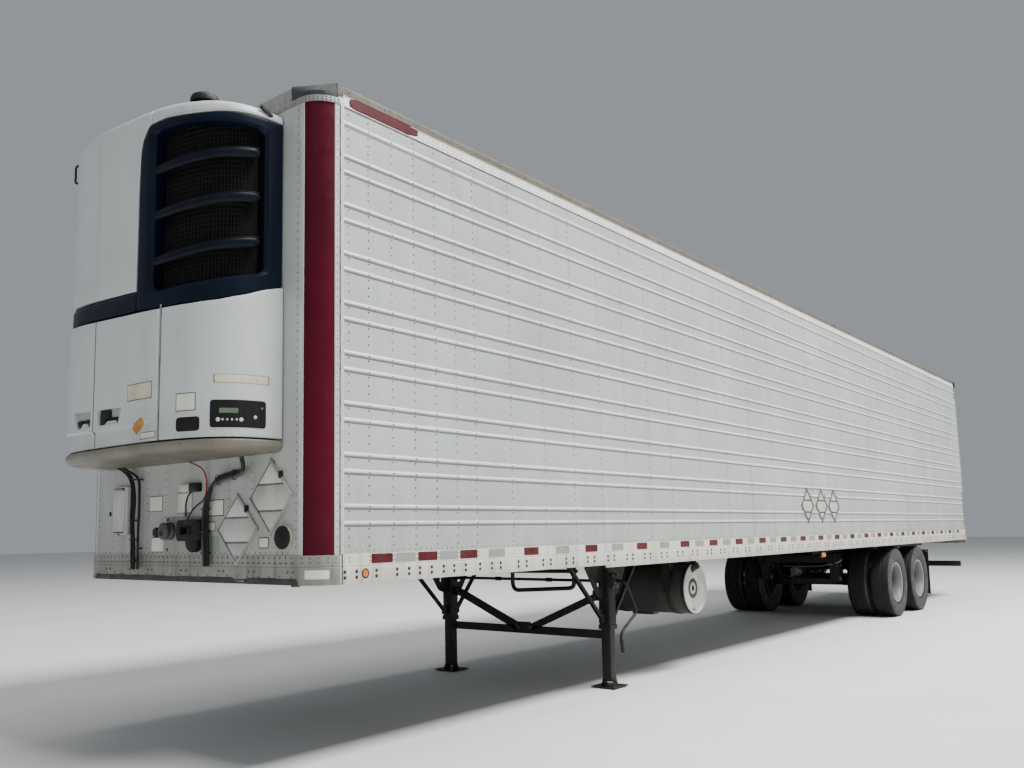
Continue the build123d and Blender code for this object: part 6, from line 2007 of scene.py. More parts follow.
def tyre_geo(s, yc, sg):
    # casing with a bead, a bulged side, shoulder ribs and four grooves
    prof = [(0.288, 0.098), (0.296, 0.112), (0.310, 0.120), (0.330, 0.1265), (0.352, 0.131), (0.356, 0.1335), (0.362, 0.1325), (0.395, 0.1385),
            (0.416, 0.1398), (0.440, 0.1390), (0.462, 0.1365), (0.478, 0.1320), (0.490, 0.1265), (0.5015, 0.1190), (0.5070, 0.1090)]
    tread = []
    for c in (0.066, 0.022):
        tread += [(0.5075, c + 0.0065), (0.4965, c + 0.0045), (0.4965, c - 0.0045), (0.5078, c - 0.0065)]
    half = prof + tread
    full = half + [(r, -o) for r, o in reversed(half)]
    g = Geo()
    g.put(lathe([(r, o) for r, o in full] + [(0.282, -0.09), (0.282, 0.09)], (s, sg * yc, AZ), (0, 1, 0), 72, loop=True))
    return g


def lugs(s, yc, sg, g):
    # short sipes over the shoulders
    for i in range(60):
        t = 2 * math.pi * i / 60
        for e in (1, -1):
            r0 = 0.4945
            u = np.array([math.cos(t), 0, math.sin(t)])
            w = np.array([-math.sin(t), 0, math.cos(t)])
            c = np.array([s, sg * yc + e * 0.1165, AZ]) + u * r0
            o = []
            for a in (-1, 1):
                for b in (-1, 1):
                    for k in (-1, 1):
                        o.append(c + u * (0.010 * a) + np.array([0, 1, 0]) * (0.0085 * b) + w * (0.008 * k))
            g.put((np.array(o), [(0, 1, 3, 2), (4, 5, 7, 6), (0, 1, 5, 4), (2, 3, 7, 6), (0, 2, 6, 4), (1, 3, 7, 5)]))


def dish(s, sg, outer):
    """Steel disc wheel: rim with its flanges, a dished disc with round hand
    holes, and a lock ring line. The outer wheel is dished inward."""
    mid = (PL[0] + PL[1]) / 2
    yc = PL[1] if outer else PL[0]
    e = 1 if outer else -1
    g, gd = Geo(), Geo()
    rim = [(0.2855, 0.102), (0.2900, 0.1075), (0.2900, 0.1125), (0.2835, 0.1140), (0.2760, 0.1080), (0.2715, 0.094), (0.2650, 0.078), (0.2580, 0.060),
           (0.2580, -0.060), (0.2650, -0.078), (0.2715, -0.094), (0.2760, -0.108), (0.2835, -0.1140), (0.2900, -0.1125), (0.2900, -0.1075), (0.2855, -0.102),
           (0.2790, -0.088), (0.2680, -0.060), (0.2660, 0.0), (0.2680, 0.060), (0.2790, 0.088)]
    g.put(lathe(rim, (s, sg * yc, AZ), (0, sg, 0), 56, loop=True))
    # disc: from the rim well to the flat mounting face at the pair's middle
    gap = (PL[1] - PL[0]) / 2
    n = 60
    hole_n = 10
    radii = [(0.2585, gap - 0.030), (0.2500, gap - 0.050), (0.2360, gap - 0.076), (0.2230, gap - 0.104), (0.2080, gap - 0.132), (0.1930, gap - 0.150),
             (0.1760, 0.012), (0.1500, 0.004), (0.1150, 0.004), (0.0900, 0.004)]
    V, F = [], []
    for k, t0 in ((0, 0.0), (1, 0.009)):
        for r, o in radii:
            for i in range(n):
                a = 2 * math.pi * i / n
                V.append((s + r * math.cos(a), sg * (mid + e * (o + t0 * (1 if k else 0))), AZ + r * math.sin(a)))
    m = len(radii)
    holes = set()
    for j in (2, 3):
        for h in range(hole_n):
            for q in range(3):
                holes.add((j, (h * 6 + q) % n))
    idx = lambda k, j, i: k * m * n + j * n + (i % n)
    for j in range(m - 1):
        for i in range(n):
            if (j, i) in holes:
                continue
            F.append((idx(0, j, i), idx(0, j, i + 1), idx(0, j + 1, i + 1), idx(0, j + 1, i)))
            F.append((idx(1, j, i), idx(1, j, i + 1), idx(1, j + 1, i + 1), idx(1, j + 1, i)))
    for i in range(n):
        F.append((idx(0, 0, i), idx(0, 0, i + 1), idx(1, 0, i + 1), idx(1, 0, i)))
        F.append((idx(0, m - 1, i), idx(0, m - 1, i + 1), idx(1, m - 1, i + 1), idx(1, m - 1, i)))
    for j, i in holes:
        for (j2, i2), (a, b) in (((j - 1, i), ((j, i), (j, i + 1))), ((j + 1, i), ((j + 1, i), (j + 1, i + 1))),
                                 ((j, (i - 1) % n), ((j, i), (j + 1, i))), ((j, (i + 1) % n), ((j, i + 1), (j + 1, i + 1)))):
            if (j2, i2) not in holes:
                F.append((idx(0, *a), idx(0, *b), idx(1, *b), idx(1, *a)))
    gd.put((np.array(V), F))
    return g, gd


for ai, an in enumerate(("front", "rear")):
    for sg, sn in ((1, "left"), (-1, "right")):
        s = AXLES[ai]
        body = f"{an}_{sn}_wheel_set"
        g = Geo()
        for yc in PL:
            t = tyre_geo(s, yc, sg)
            g.put((np.concatenate(t.v), t.f))
            lugs(s, yc, sg, g)
        add(f"{an}_{sn}_tyre_pair", g, m_tyre, body, smooth=32, replaces=f"{an}_{sn}_tyres")
        g, gr_ = Geo(), Geo()
        for outer in (True, False):
            r_, d_ = dish(s, sg, outer)
            g.put((np.concatenate(d_.v), d_.f))
            gr_.put((np.concatenate(r_.v), r_.f))
        add(f"{an}_{sn}_disc_wheels", g, m_disc, body, smooth=30, replaces=f"{an}_{sn}_wheels")
        add(f"{an}_{sn}_rims", gr_, m_rim, body, smooth=30)
        g, gb2 = Geo(), Geo()
        for yc in PL:
            g.put(lathe([(0.2780, 0.1095), (0.2835, 0.1138), (0.2895, 0.1128), (0.2905, 0.1150), (0.2840, 0.1162), (0.2770, 0.1120)], (s, sg * yc, AZ), (0, sg, 0), 56, loop=True))
            gb2.put(lathe([(0.2920, 0.1080), (0.2935, 0.1150), (0.3100, 0.1222), (0.3240, 0.1266), (0.3250, 0.1235)], (s, sg * yc, AZ), (0, sg, 0), 56, loop=True))
        add(f"{an}_{sn}_rim_edges", g, m_trim, body, smooth=40)
        add(f"{an}_{sn}_bead_rings", gb2, m_dark_line, body, smooth=40)
        mid = sum(PL) / 2
        g = Geo()
        g.put(lathe([(0.045, -0.165), (0.104, -0.165), (0.104, -0.118), (0.094, -0.060), (0.094, 0.024), (0.088, 0.050), (0.080, 0.090), (0.072, 0.125),
                     (0.066, 0.132), (0.062, 0.150), (0.062, 0.182), (0.058, 0.192), (0.045, 0.1955), (0.02, 0.1958), (0.02, 0.185), (0.045, 0.18)],
                    (s, sg * mid, AZ), (0, sg, 0), 36, loop=True))
        g.put(lathe([(0.194, -0.135), (0.203, -0.135), (0.2045, -0.150), (0.2045, -0.290), (0.2080, -0.292), (0.2080, -0.306), (0.194, -0.309)],
                    (s, sg * mid, AZ), (0, sg, 0), 48, loop=True))
        g.put(lathe([(0.095, -0.118), (0.203, -0.118), (0.203, -0.134), (0.095, -0.134)], (s, sg * mid, AZ), (0, sg, 0), 48, loop=True))
        add(f"{an}_{sn}_hub_and_drum", g, m_drum, body, smooth=35)
        g = Geo()
        for i in range(10):
            a = 2 * math.pi * (i + 0.5) / 10
            c = (s + 0.1425 * math.cos(a), sg * (mid + 0.013), AZ + 0.1425 * math.sin(a))
            g.put(hexbolt(c, (0, sg, 0), 0.019, 0.030))
            g.put(lathe([(0, 0.0), (0.011, 0.0), (0.011, 0.046), (0.009, 0.048), (0, 0.048)], c, (0, sg, 0), 10))
        for i in range(8):
            a = 2 * math.pi * i / 8
            g.put(hexbolt((s + 0.054 * math.cos(a), sg * (mid + 0.1925), AZ + 0.054 * math.sin(a)), (0, sg, 0), 0.006, 0.004, False))
        add(f"{an}_{sn}_wheel_nuts", g, m_rust, body, smooth=30)

# ---------------------------------------------------------------- landing gear
LS, LY = 3.660, 0.923
g = Geo()
for sg in (1, -1):
    y = sg * LY
    # outer tube with a collar, sleeve and cap plate
    for (h0, z0, z1, r) in ((0.0565, 0.512, 1.083, 0.012), (0.062, 0.500, 0.540, 0.010), (0.060, 0.985, 1.000, 0.008)):
        P_ = rrect(-h0, h0, -h0, h0, r, 4)
        g.put(prism([(LS + a, y + b) for a, b in P_], "z", z0, z1))
    # inner tube, slightly worn bright
    P_ = rrect(-0.046, 0.046, -0.046, 0.046, 0.010, 4)
    g.put(prism([(LS + a, y + b) for a, b in P_], "z", 0.060, 0.52))
    # gear case with a bolted lid
    g.put(pad(rrect(LS - 0.050, LS + 0.055, 0.850, 0.985, 0.016, 4), "y", sg * (LY + 0.050), sg * (LY + 0.088), 0.006))
    g.put(pad(rrect(LS - 0.042, LS + 0.047, 0.858, 0.977, 0.012, 4), "y", sg * (LY + 0.086), sg * (LY + 0.094), 0.003))
    # sand shoe: upturned plate, cushion ears and cross pin
    A, B = [], []
    for i in range(13):
        a = -1 + i / 6
        row, rowb = [], []
        for j in range(13):
            b = -1 + j / 6
            up = 0.010 * max(0, (max(abs(a), abs(b)) - 0.72) / 0.28) ** 1.6
            row.append((LS + a * 0.12, y + b * 0.12, 0.008 + up))
            rowb.append((LS + a * 0.12, y + b * 0.12, 0.000 + up))
        A.append(row)
        B.append(rowb)
    g.put(slab(np.array(A), np.array(B)))
    for e in (1, -1):
        g.put(prism([(LS - 0.055, 0.006), (LS + 0.055, 0.006), (LS + 0.022, 0.078), (LS - 0.022, 0.078)], "y", y + e * 0.050, y + e * 0.058))
    g.put(lathe([(0, -0.066), (0.013, -0.066), (0.013, 0.066), (0, 0.066)], (LS, y, 0.058), (0, 1, 0), 14))
add("landing_leg_tubes", g, m_leg, smooth=35, bevel=0.0015, replaces="landing_legs")
g = Geo()
for sg in (1, -1):
    for a in (-0.034, 0.039):
        for z in (0.866, 0.969):
            g.put(hexbolt((LS + a, sg * (LY + 0.094), z), (0, sg, 0), 0.008, 0.005))
    g.put(lathe([(0, 0), (0.022, 0), (0.022, 0.006), (0.017, 0.010), (0, 0.010)], (LS, sg * (LY + 0.092), 0.917), (0, sg, 0), 18))
    for z in (0.60, 0.66, 0.95, 1.03):
        for e in (1, -1):
            g.put(hexbolt((LS + e * 0.0565, sg * LY + 0.025 * e, z), (e, 0, 0), 0.009, 0.007))
add("landing_leg_bolts", g, m_bolt, smooth=30)

g = Geo()
for sg in (1, -1):
    y = sg * LY
    INN = LY - 0.058
    # V struts: angle sections
    a, b = (LS, sg * 0.040, 0.452), (LS, sg * (INN - 0.040), 0.784)
    g.put(bar(a, b, 0.008, 0.066))
    g.put(bar((LS + 0.022, a[1], a[2] + 0.030), (LS + 0.022, b[1], b[2] + 0.030), 0.044, 0.007))
    # wing braces: channels from under the floor to the leg
    for s0, s1 in ((3.062, LS - 0.084), (4.170, LS + 0.084)):
        g.put(bar((s0, y, 1.078), (s1, y, 0.590), 0.034, 0.008))
        for e in (1, -1):
            g.put(bar((s0, y + e * 0.015, 1.068), (s1, y + e * 0.015, 0.582), 0.005, 0.028))
    for s0, s1, h in ((3.290, LS - 0.059, 3.480), (4.020, LS + 0.059, 3.840)):
        # gusset with a round hole: ring of points about the hole
        hs = 3.53 if s0 < LS else 3.79
        poly = [(s0, 1.076), (s1, 1.076), (s1, 0.760), (h, 0.800)]
        out, inn = [], []
        K = 32
        for i in range(K):
            t = 2 * math.pi * i / K
            dx, dz = math.cos(t), math.sin(t)
            best = 9
            for p, q in zip(poly, poly[1:] + poly[:1]):
                ex, ez = q[0] - p[0], q[1] - p[1]
                det = dx * (-ez) - dz * (-ex)
                if abs(det) < 1e-9:
                    continue
                rx, rz = p[0] - hs, p[1] - 0.90
                k1 = (rx * (-ez) - rz * (-ex)) / det
                k2 = (dx * rz - dz * rx) / det
                if k1 > 0 and -1e-6 <= k2 <= 1 + 1e-6:
                    best = min(best, k1)
            out.append((hs + dx * best, 0.90 + dz * best))
            inn.append((hs + dx * 0.032, 0.90 + dz * 0.032))
        g.put(rings([[(a_, y + 0.005, b_) for a_, b_ in out], [(a_, y - 0.005, b_) for a_, b_ in out], [(a_, y - 0.005, b_) for a_, b_ in inn],
                     [(a_, y + 0.005, b_) for a_, b_ in inn]]))
        g.put(box(min(s0, s1) - 0.0, max(s0, s1), y - 0.040, y + 0.040, 1.0755, 1.083))
    g.put(box(2.985, LS - 0.059, y - 0.040, y + 0.040, 1.0765, 1.083))
    g.put(box(LS + 0.059, 4.250, y - 0.040, y + 0.040, 1.0765, 1.083))
    g.put(box(LS - 0.119, LS - 0.059, y - 0.017, y + 0.017, 0.560, 0.640))
    g.put(box(LS + 0.059, LS + 0.119, y - 0.017, y + 0.017, 0.560, 0.640))
    g.put(box(LS - 0.008, LS + 0.008, min(sg * (INN - 0.001), sg * (INN - 0.090)), max(sg * (INN - 0.001), sg * (INN - 0.090)), 0.740, 0.830))
INN = LY - 0.058
g.put(box(LS - 0.004, LS + 0.004, -INN + 0.001, INN - 0.001, 0.412, 0.486))
g.put(box(LS - 0.004, LS + 0.055, -INN + 0.001, INN - 0.001, 0.412, 0.420))
g.put(prism([(-0.110, 0.415), (0.110, 0.415), (0.075, 0.520), (-0.075, 0.520)], "s", LS - 0.006, LS + 0.006))
add("landing_gear_braces", g, m_steel_blk, smooth=30, bevel=0.0012, replaces="landing_leg_bracing")
g = Geo()
for sg in (1, -1):
    for yy, z in ((0.06, 0.465), (0.09, 0.478), (0.80, 0.762), (0.82, 0.800)):
        g.put(hexbolt((LS - 0.006, sg * yy, z), (-1, 0, 0), 0.010, 0.008))
    for s in (3.03, 3.20, 4.05, 4.22):
        g.put(hexbolt((s, sg * LY + 0.025, 1.0765), (0, 0, -1), 0.009, 0.007))
add("landing_brace_bolts", g, m_bolt, smooth=30)

# cross shaft with couplings, crank with its hinged grip
g = Geo()
g.put(lathe([(0, -0.864), (0.0125, -0.864), (0.0125, -0.80), (0.014, -0.79), (0.014, 0.79), (0.0125, 0.80), (0.0125, 0.864), (0, 0.864)],
            (LS, 0, 0.917), (0, 1, 0), 18))
for y in (-0.82, -0.30, 0.30, 0.82):
    g.put(lathe([(0.0142, -0.03), (0.020, -0.03), (0.020, 0.03), (0.0142, 0.03)], (LS, y, 0.917), (0, 1, 0), 18, loop=True))
pts = [(LS, LY + 0.096, 0.917), (LS, LY + 0.150, 0.917), (LS + 0.006, LY + 0.188, 0.905), (LS + 0.040, LY + 0.197, 0.850), (LS + 0.100, LY + 0.202, 0.745),
       (LS + 0.142, LY + 0.205, 0.672), (LS + 0.138, LY + 0.205, 0.632), (LS + 0.080, LY + 0.205, 0.600), (LS - 0.060, LY + 0.205, 0.523),
       (LS - 0.108, LY + 0.205, 0.482), (LS - 0.120, LY + 0.205, 0.430), (LS - 0.101, LY + 0.205, 0.322)]
g.put(tube(spline(pts, 8), 0.0125, 12))
g.put(lathe([(0.0108, -0.055), (0.0150, -0.055), (0.0165, -0.03), (0.0150, 0.0), (0.0165, 0.03), (0.0150, 0.055), (0.0108, 0.055)],
            (LS - 0.110, LY + 0.205, 0.378), (-0.15, 0, 1), 18, loop=True))
g.put(lathe([(0, -0.02), (0.018, -0.02), (0.020, 0.0), (0.018, 0.02), (0, 0.02)], (LS, LY + 0.118, 0.917), (0, 1, 0), 18))
add("crank_and_shaft", g, m_steel_blk, smooth=40, replaces="landing_gear_crank")

# U shaped hanger
g = Geo()
g.put(tube(spline([(3.330, 0.128, 1.094), (3.330, 0.128, 0.980), (3.330, 0.128, 0.905), (3.330, 0.140, 0.862), (3.330, 0.175, 0.840),
                   (3.330, 0.240, 0.841), (3.330, 0.50, 0.855), (3.330, 0.70, 0.866), (3.330, 0.765, 0.873), (3.330, 0.793, 0.895), (3.330, 0.800, 0.945),
                   (3.330, 0.800, 1.094)], 6), 0.0190, 14))
for y in (0.128, 0.800):
    g.put(box(3.295, 3.365, y - 0.035, y + 0.035, 1.086, 1.094))
    g.put(hexbolt((3.305, y, 1.086), (0, 0, -1), 0.008, 0.006))
    g.put(hexbolt((3.355, y, 1.086), (0, 0, -1), 0.008, 0.006))
g.put(tube(np.array([(3.330, 0.100, 1.008), (3.330, 0.46, 1.012), (3.330, 0.832, 1.016)]), 0.0170, 12))
add("hanger_tube", g, m_steel_blk, smooth=50, replaces="hose_hanger")

# ------------------------------------------------------------------ fuel tank
TS, TZ, TRd = 4.880, 0.790, 0.245
g = Geo()
g.put(lathe([(0.0, 0.230), (0.10, 0.231), (0.18, 0.236), (0.225, 0.246), (0.241, 0.262), (0.245, 0.280), (0.245, 1.145), (0.243, 1.160), (0.236, 1.158),
             (0.225, 1.150), (0.0, 1.150)], (TS, 0, TZ), (0, 1, 0), 64))
for y in (0.62, 0.66):
    g.put(lathe([(0.2448, y - 0.004), (0.2470, y), (0.2448, y + 0.004), (0.243, y)], (TS, 0, TZ), (0, 1, 0), 64, loop=True))
g.put(pad(rrect(TS - 0.06, TS + 0.06, 0.500, 0.740, 0.01, 3), "z", TZ - 0.225, TZ - 0.267, 0.008))
add("fuel_tank_shell", g, m_tank_body, smooth=35, replaces="fuel_tank")
g = Geo()
g.put(lathe([(0.0, 1.138), (0.2405, 1.138), (0.2405, 1.168), (0.2420, 1.174), (0.2400, 1.180), (0.232, 1.181), (0.224, 1.175), (0.214, 1.167), (0.16, 1.1655),
             (0.138, 1.1655), (0.126, 1.1620), (0.110, 1.1540), (0.092, 1.1485), (0.072, 1.1470), (0.060, 1.1490), (0.050, 1.1530), (0.040, 1.1545), (0.030, 1.1520),
             (0.026, 1.1450), (0.0, 1.1430)], (TS, 0, TZ), (0, 1, 0), 64))
g.put(pad(rrect(TS - 0.024, TS + 0.040, TZ - 0.215, TZ - 0.135, 0.028, 5), "y", 1.160, 1.1725, 0.004))
g.put(prism([(TS - 0.155, TZ + 0.085), (TS - 0.145, TZ + 0.078), (TS - 0.022, TZ + 0.128), (TS - 0.028, TZ + 0.140)], "y", 1.160, 1.1685))
add("fuel_tank_end", g, m_tank_end, smooth=35)
g = Geo()
g.put(lathe([(0.0, 1.1415), (0.0255, 1.1415), (0.0255, 1.1500), (0.020, 1.1540), (0.0, 1.1550)], (TS, 0, TZ), (0, 1, 0), 32))

g.put(dome((TS - 0.034, 1.1660, TZ - 0.200), (0, 1, 0), 0.011, 0.006, 12))
g.put(lathe([(0.2405, 1.140), (0.2460, 1.142), (0.2475, 1.150), (0.2475, 1.166), (0.2430, 1.172), (0.2405, 1.166)], (TS, 0, TZ), (0, 1, 0), 64, loop=True))
add("fuel_tank_dark_parts", g, m_steel_blk, smooth=35)
g = Geo()
g.put(prism([(TS - 0.300, 1.082), (TS + 0.300, 1.082), (TS + 0.290, 0.960), (TS + 0.185, 0.960), (TS + 0.10, 1.010), (TS, 1.040), (TS - 0.10, 1.010), (TS - 0.185, 0.960), (TS - 0.290, 0.960)],
            "y", 1.044, 1.052))
add("fuel_tank_shield", g, m_steel_blk, smooth=0)
g = Geo()
for y in (0.420, 1.010):
    g.put(lathe([(0.2465, y - 0.030), (0.2500, y - 0.030), (0.2515, y - 0.026), (0.2515, y + 0.026), (0.2500, y + 0.030), (0.2465, y + 0.030)],
                (TS, 0, TZ), (0, 1, 0), 64, loop=True))
    g.put(box(TS - 0.300, TS + 0.300, y - 0.030, y + 0.030, 1.082, 1.090))
    g.put(box(TS - 0.300, TS + 0.300, y - 0.030, y - 0.024, 1.050, 1.090))
    for e in (-1, 1):
        g.put(box(min(TS + e * 0.300, TS + e * 0.290), max(TS + e * 0.300, TS + e * 0.290), y - 0.030, y + 0.030, 0.76, 1.085))
        for yy in (y - 0.030, y + 0.024):
            g.put(prism([(TS + e * 0.295, 0.76), (TS + e * 0.295, 1.06), (TS + e * 0.225, 1.06), (TS + e * 0.250, 0.95), (TS + e * 0.2535, 0.79), (TS + e * 0.2555, 0.76)],
                        "y", yy, yy + 0.006))
        g.put(lathe([(0, -0.02), (0.007, -0.02), (0.007, 0.085), (0, 0.085)], (TS + e * 0.268, y, 0.98), (0, 0, 1), 10))
        g.put(hexbolt((TS + e * 0.268, y, 1.060), (0, 0, 1), 0.012, 0.010))
add("fuel_tank_straps", g, m_steel_blk, smooth=35, replaces="fuel_tank_brackets")
g = Geo()
c = np.array([TS - 0.020, 1.170, TZ + 0.205])
ax = np.array([0, math.sin(math.radians(50)), math.cos(math.radians(50))])
g.put(lathe([(0, -0.05), (0.040, -0.05), (0.040, 0.020), (0.049, 0.022), (0.050, 0.036), (0.046, 0.046), (0.020, 0.050), (0.0, 0.0505)], c, ax, 28))
g.put(bar(c + ax * 0.05 + np.array([-0.035, 0, 0]), c + ax * 0.05 + np.array([0.035, 0, 0]), 0.014, 0.012, up=tuple(ax)))
g.put(tube(spline([(TS - 0.06, 1.10, 1.00), (TS - 0.09, 1.04, 1.03), (TS - 0.08, 0.90, 1.055), (TS - 0.02, 0.7, 1.062), (TS, 0.5, 1.066)], 6), 0.008, 8))
add("fuel_tank_neck", g, m_black, smooth=40)

# ------------------------------------------------------------------ slider
SY = 0.537
g = Geo()
SR = [(-0.062, 1.090), (-0.062, 1.081), (-0.008, 1.081), (-0.008, 0.972), (-0.062, 0.972), (-0.062, 0.962), (0.008, 0.962), (0.008, 1.081), (0.062, 1.081), (0.062, 1.090)]
g.both(prism([(SY + a, b) for a, b in SR], "s", 9.900, 15.900))
for s in (9.93, 11.4, 12.9, 14.4, 15.86):
    g.put(box(s - 0.03, s + 0.03, -SY + 0.01, SY - 0.01, 1.030, 1.081))
add("slider_rail_channels", g, m_steel_blk, smooth=0, bevel=0.001, replaces="slider_rails")
g = Geo()
for s in np.arange(10.05, 15.8, 0.1524):
    for sg in (1, -1):
        g.put(lathe([(0.017, 0.0), (0.024, 0.0), (0.0235, 0.0022), (0.018, 0.0022)], (s, sg * (SY + 0.008), 1.030), (0, sg, 0), 16, loop=True))
        g.put(lathe([(0, -0.0005), (0.0172, -0.0005), (0.0172, 0.0006), (0, 0.0006)], (s, sg * (SY + 0.008), 1.030), (0, sg, 0), 16))
add("slider_lock_holes", g, m_rust, smooth=40)

# sliding subframe: side rails with holes, cross tubes, hangers, lock pins
g = Geo()
T = "tandem"
for sg in (1, -1):
    y = sg * SY
    for e in (1, -1):
        g.put(prism([(y + e * 0.050, 0.800), (y + e * 0.050, 0.952), (y + e * 0.042, 0.952), (y + e * 0.042, 0.800)], "s", 10.640, 13.190))
    g.put(box(10.640, 13.190, y - 0.050, y + 0.050, 0.944, 0.952))
    g.put(box(10.640, 13.190, y - 0.050, y + 0.050, 0.800, 0.808))
    g.put(prism([(y - 0.05, 0.80), (y + 0.05, 0.80), (y + 0.05, 0.952), (y - 0.05, 0.952)], "s", 10.640, 10.650))
    g.put(prism([(y - 0.05, 0.80), (y + 0.05, 0.80), (y + 0.05, 0.952), (y - 0.05, 0.952)], "s", 13.180, 13.190))
    for s in AXLES:
        for e in (1, -1):
            g.put(prism([(s - 0.640, 0.802), (s - 0.400, 0.802), (s - 0.440, 0.540), (s - 0.590, 0.540)], "y", y + e * 0.052, y + e * 0.060))
        g.put(prism([(s - 0.640, 0.802), (s - 0.632, 0.802), (s - 0.585, 0.545), (s - 0.593, 0.545)], "y", y - 0.056, y + 0.056))
        g.put(box(s - 0.640, s - 0.400, y - 0.058, y + 0.058, 0.792, 0.802))
        g.put(box(s + 0.245, s + 0.425, y - 0.085, y + 0.085, 0.790, 0.802))
for s, h in ((10.700, 0.045), (11.390, 0.050), (12.012, 0.050), (13.130, 0.045)):
    P_ = rrect(s - h, s + h, 0.815, 0.930, 0.012, 3)
    g.put(prism(P_, "y", -SY + 0.045, SY - 0.045))
for sg in (1, -1):
    g.put(prism(rrect(13.140, 13.232, 0.905, 0.945, 0.008, 3), "y", sg * SY, sg * 1.268))
    for z in (0.60, 0.35):
        pass
add("tandem_subframe", g, m_steel_blk, T, smooth=30, bevel=0.0012, replaces="bogie_frame")
g = Geo()
for sg in (1, -1):
    for s in (10.76, 11.9, 12.2, 13.05):
        g.put(lathe([(0, 0), (0.016, 0), (0.016, 0.055), (0.010, 0.062), (0, 0.062)], (s, sg * (SY - 0.05), 0.90), (0, -sg, 0), 14))
    for s in AXLES:
        for z, a in ((0.575, -0.515),):
            for e in (1, -1):
                g.put(hexbolt((s + a, sg * SY + e * 0.060, z), (0, e, 0), 0.030, 0.022))
        for a in (-0.60, -0.44):
            for e in (1, -1):
                g.put(hexbolt((s + a, sg * SY + e * 0.060, 0.77), (0, e, 0), 0.012, 0.009))
P_ = spline([(10.70, -0.20, 0.76), (10.70, 0.10, 0.755), (10.70, 0.40, 0.77), (10.72, 0.62, 0.82), (10.74, 0.68, 0.86)], 6)
g.put(tube(P_, 0.009, 8))
add("tandem_pins_and_bolts", g, m_rust, T, smooth=30)
g = Geo()
g.put(lathe([(0, -0.330), (0.06, -0.329), (0.10, -0.322), (0.117, -0.300), (0.120, -0.280), (0.120, 0.280), (0.117, 0.300), (0.10, 0.322), (0.06, 0.329), (0, 0.330)],
            (12.320, 0, 0.760), (0, 1, 0), 36))
for y in (-0.175, 0.175):
    g.put(lathe([(0.120, y - 0.02), (0.1245, y - 0.02), (0.1245, y + 0.02), (0.120, y + 0.02)], (12.320, 0, 0.760), (0, 1, 0), 36, loop=True))
    g.put(box(12.012, 12.350, y - 0.025, y + 0.025, 0.872, 0.920))
add("air_reservoir", g, m_steel_blk, T, smooth=35)

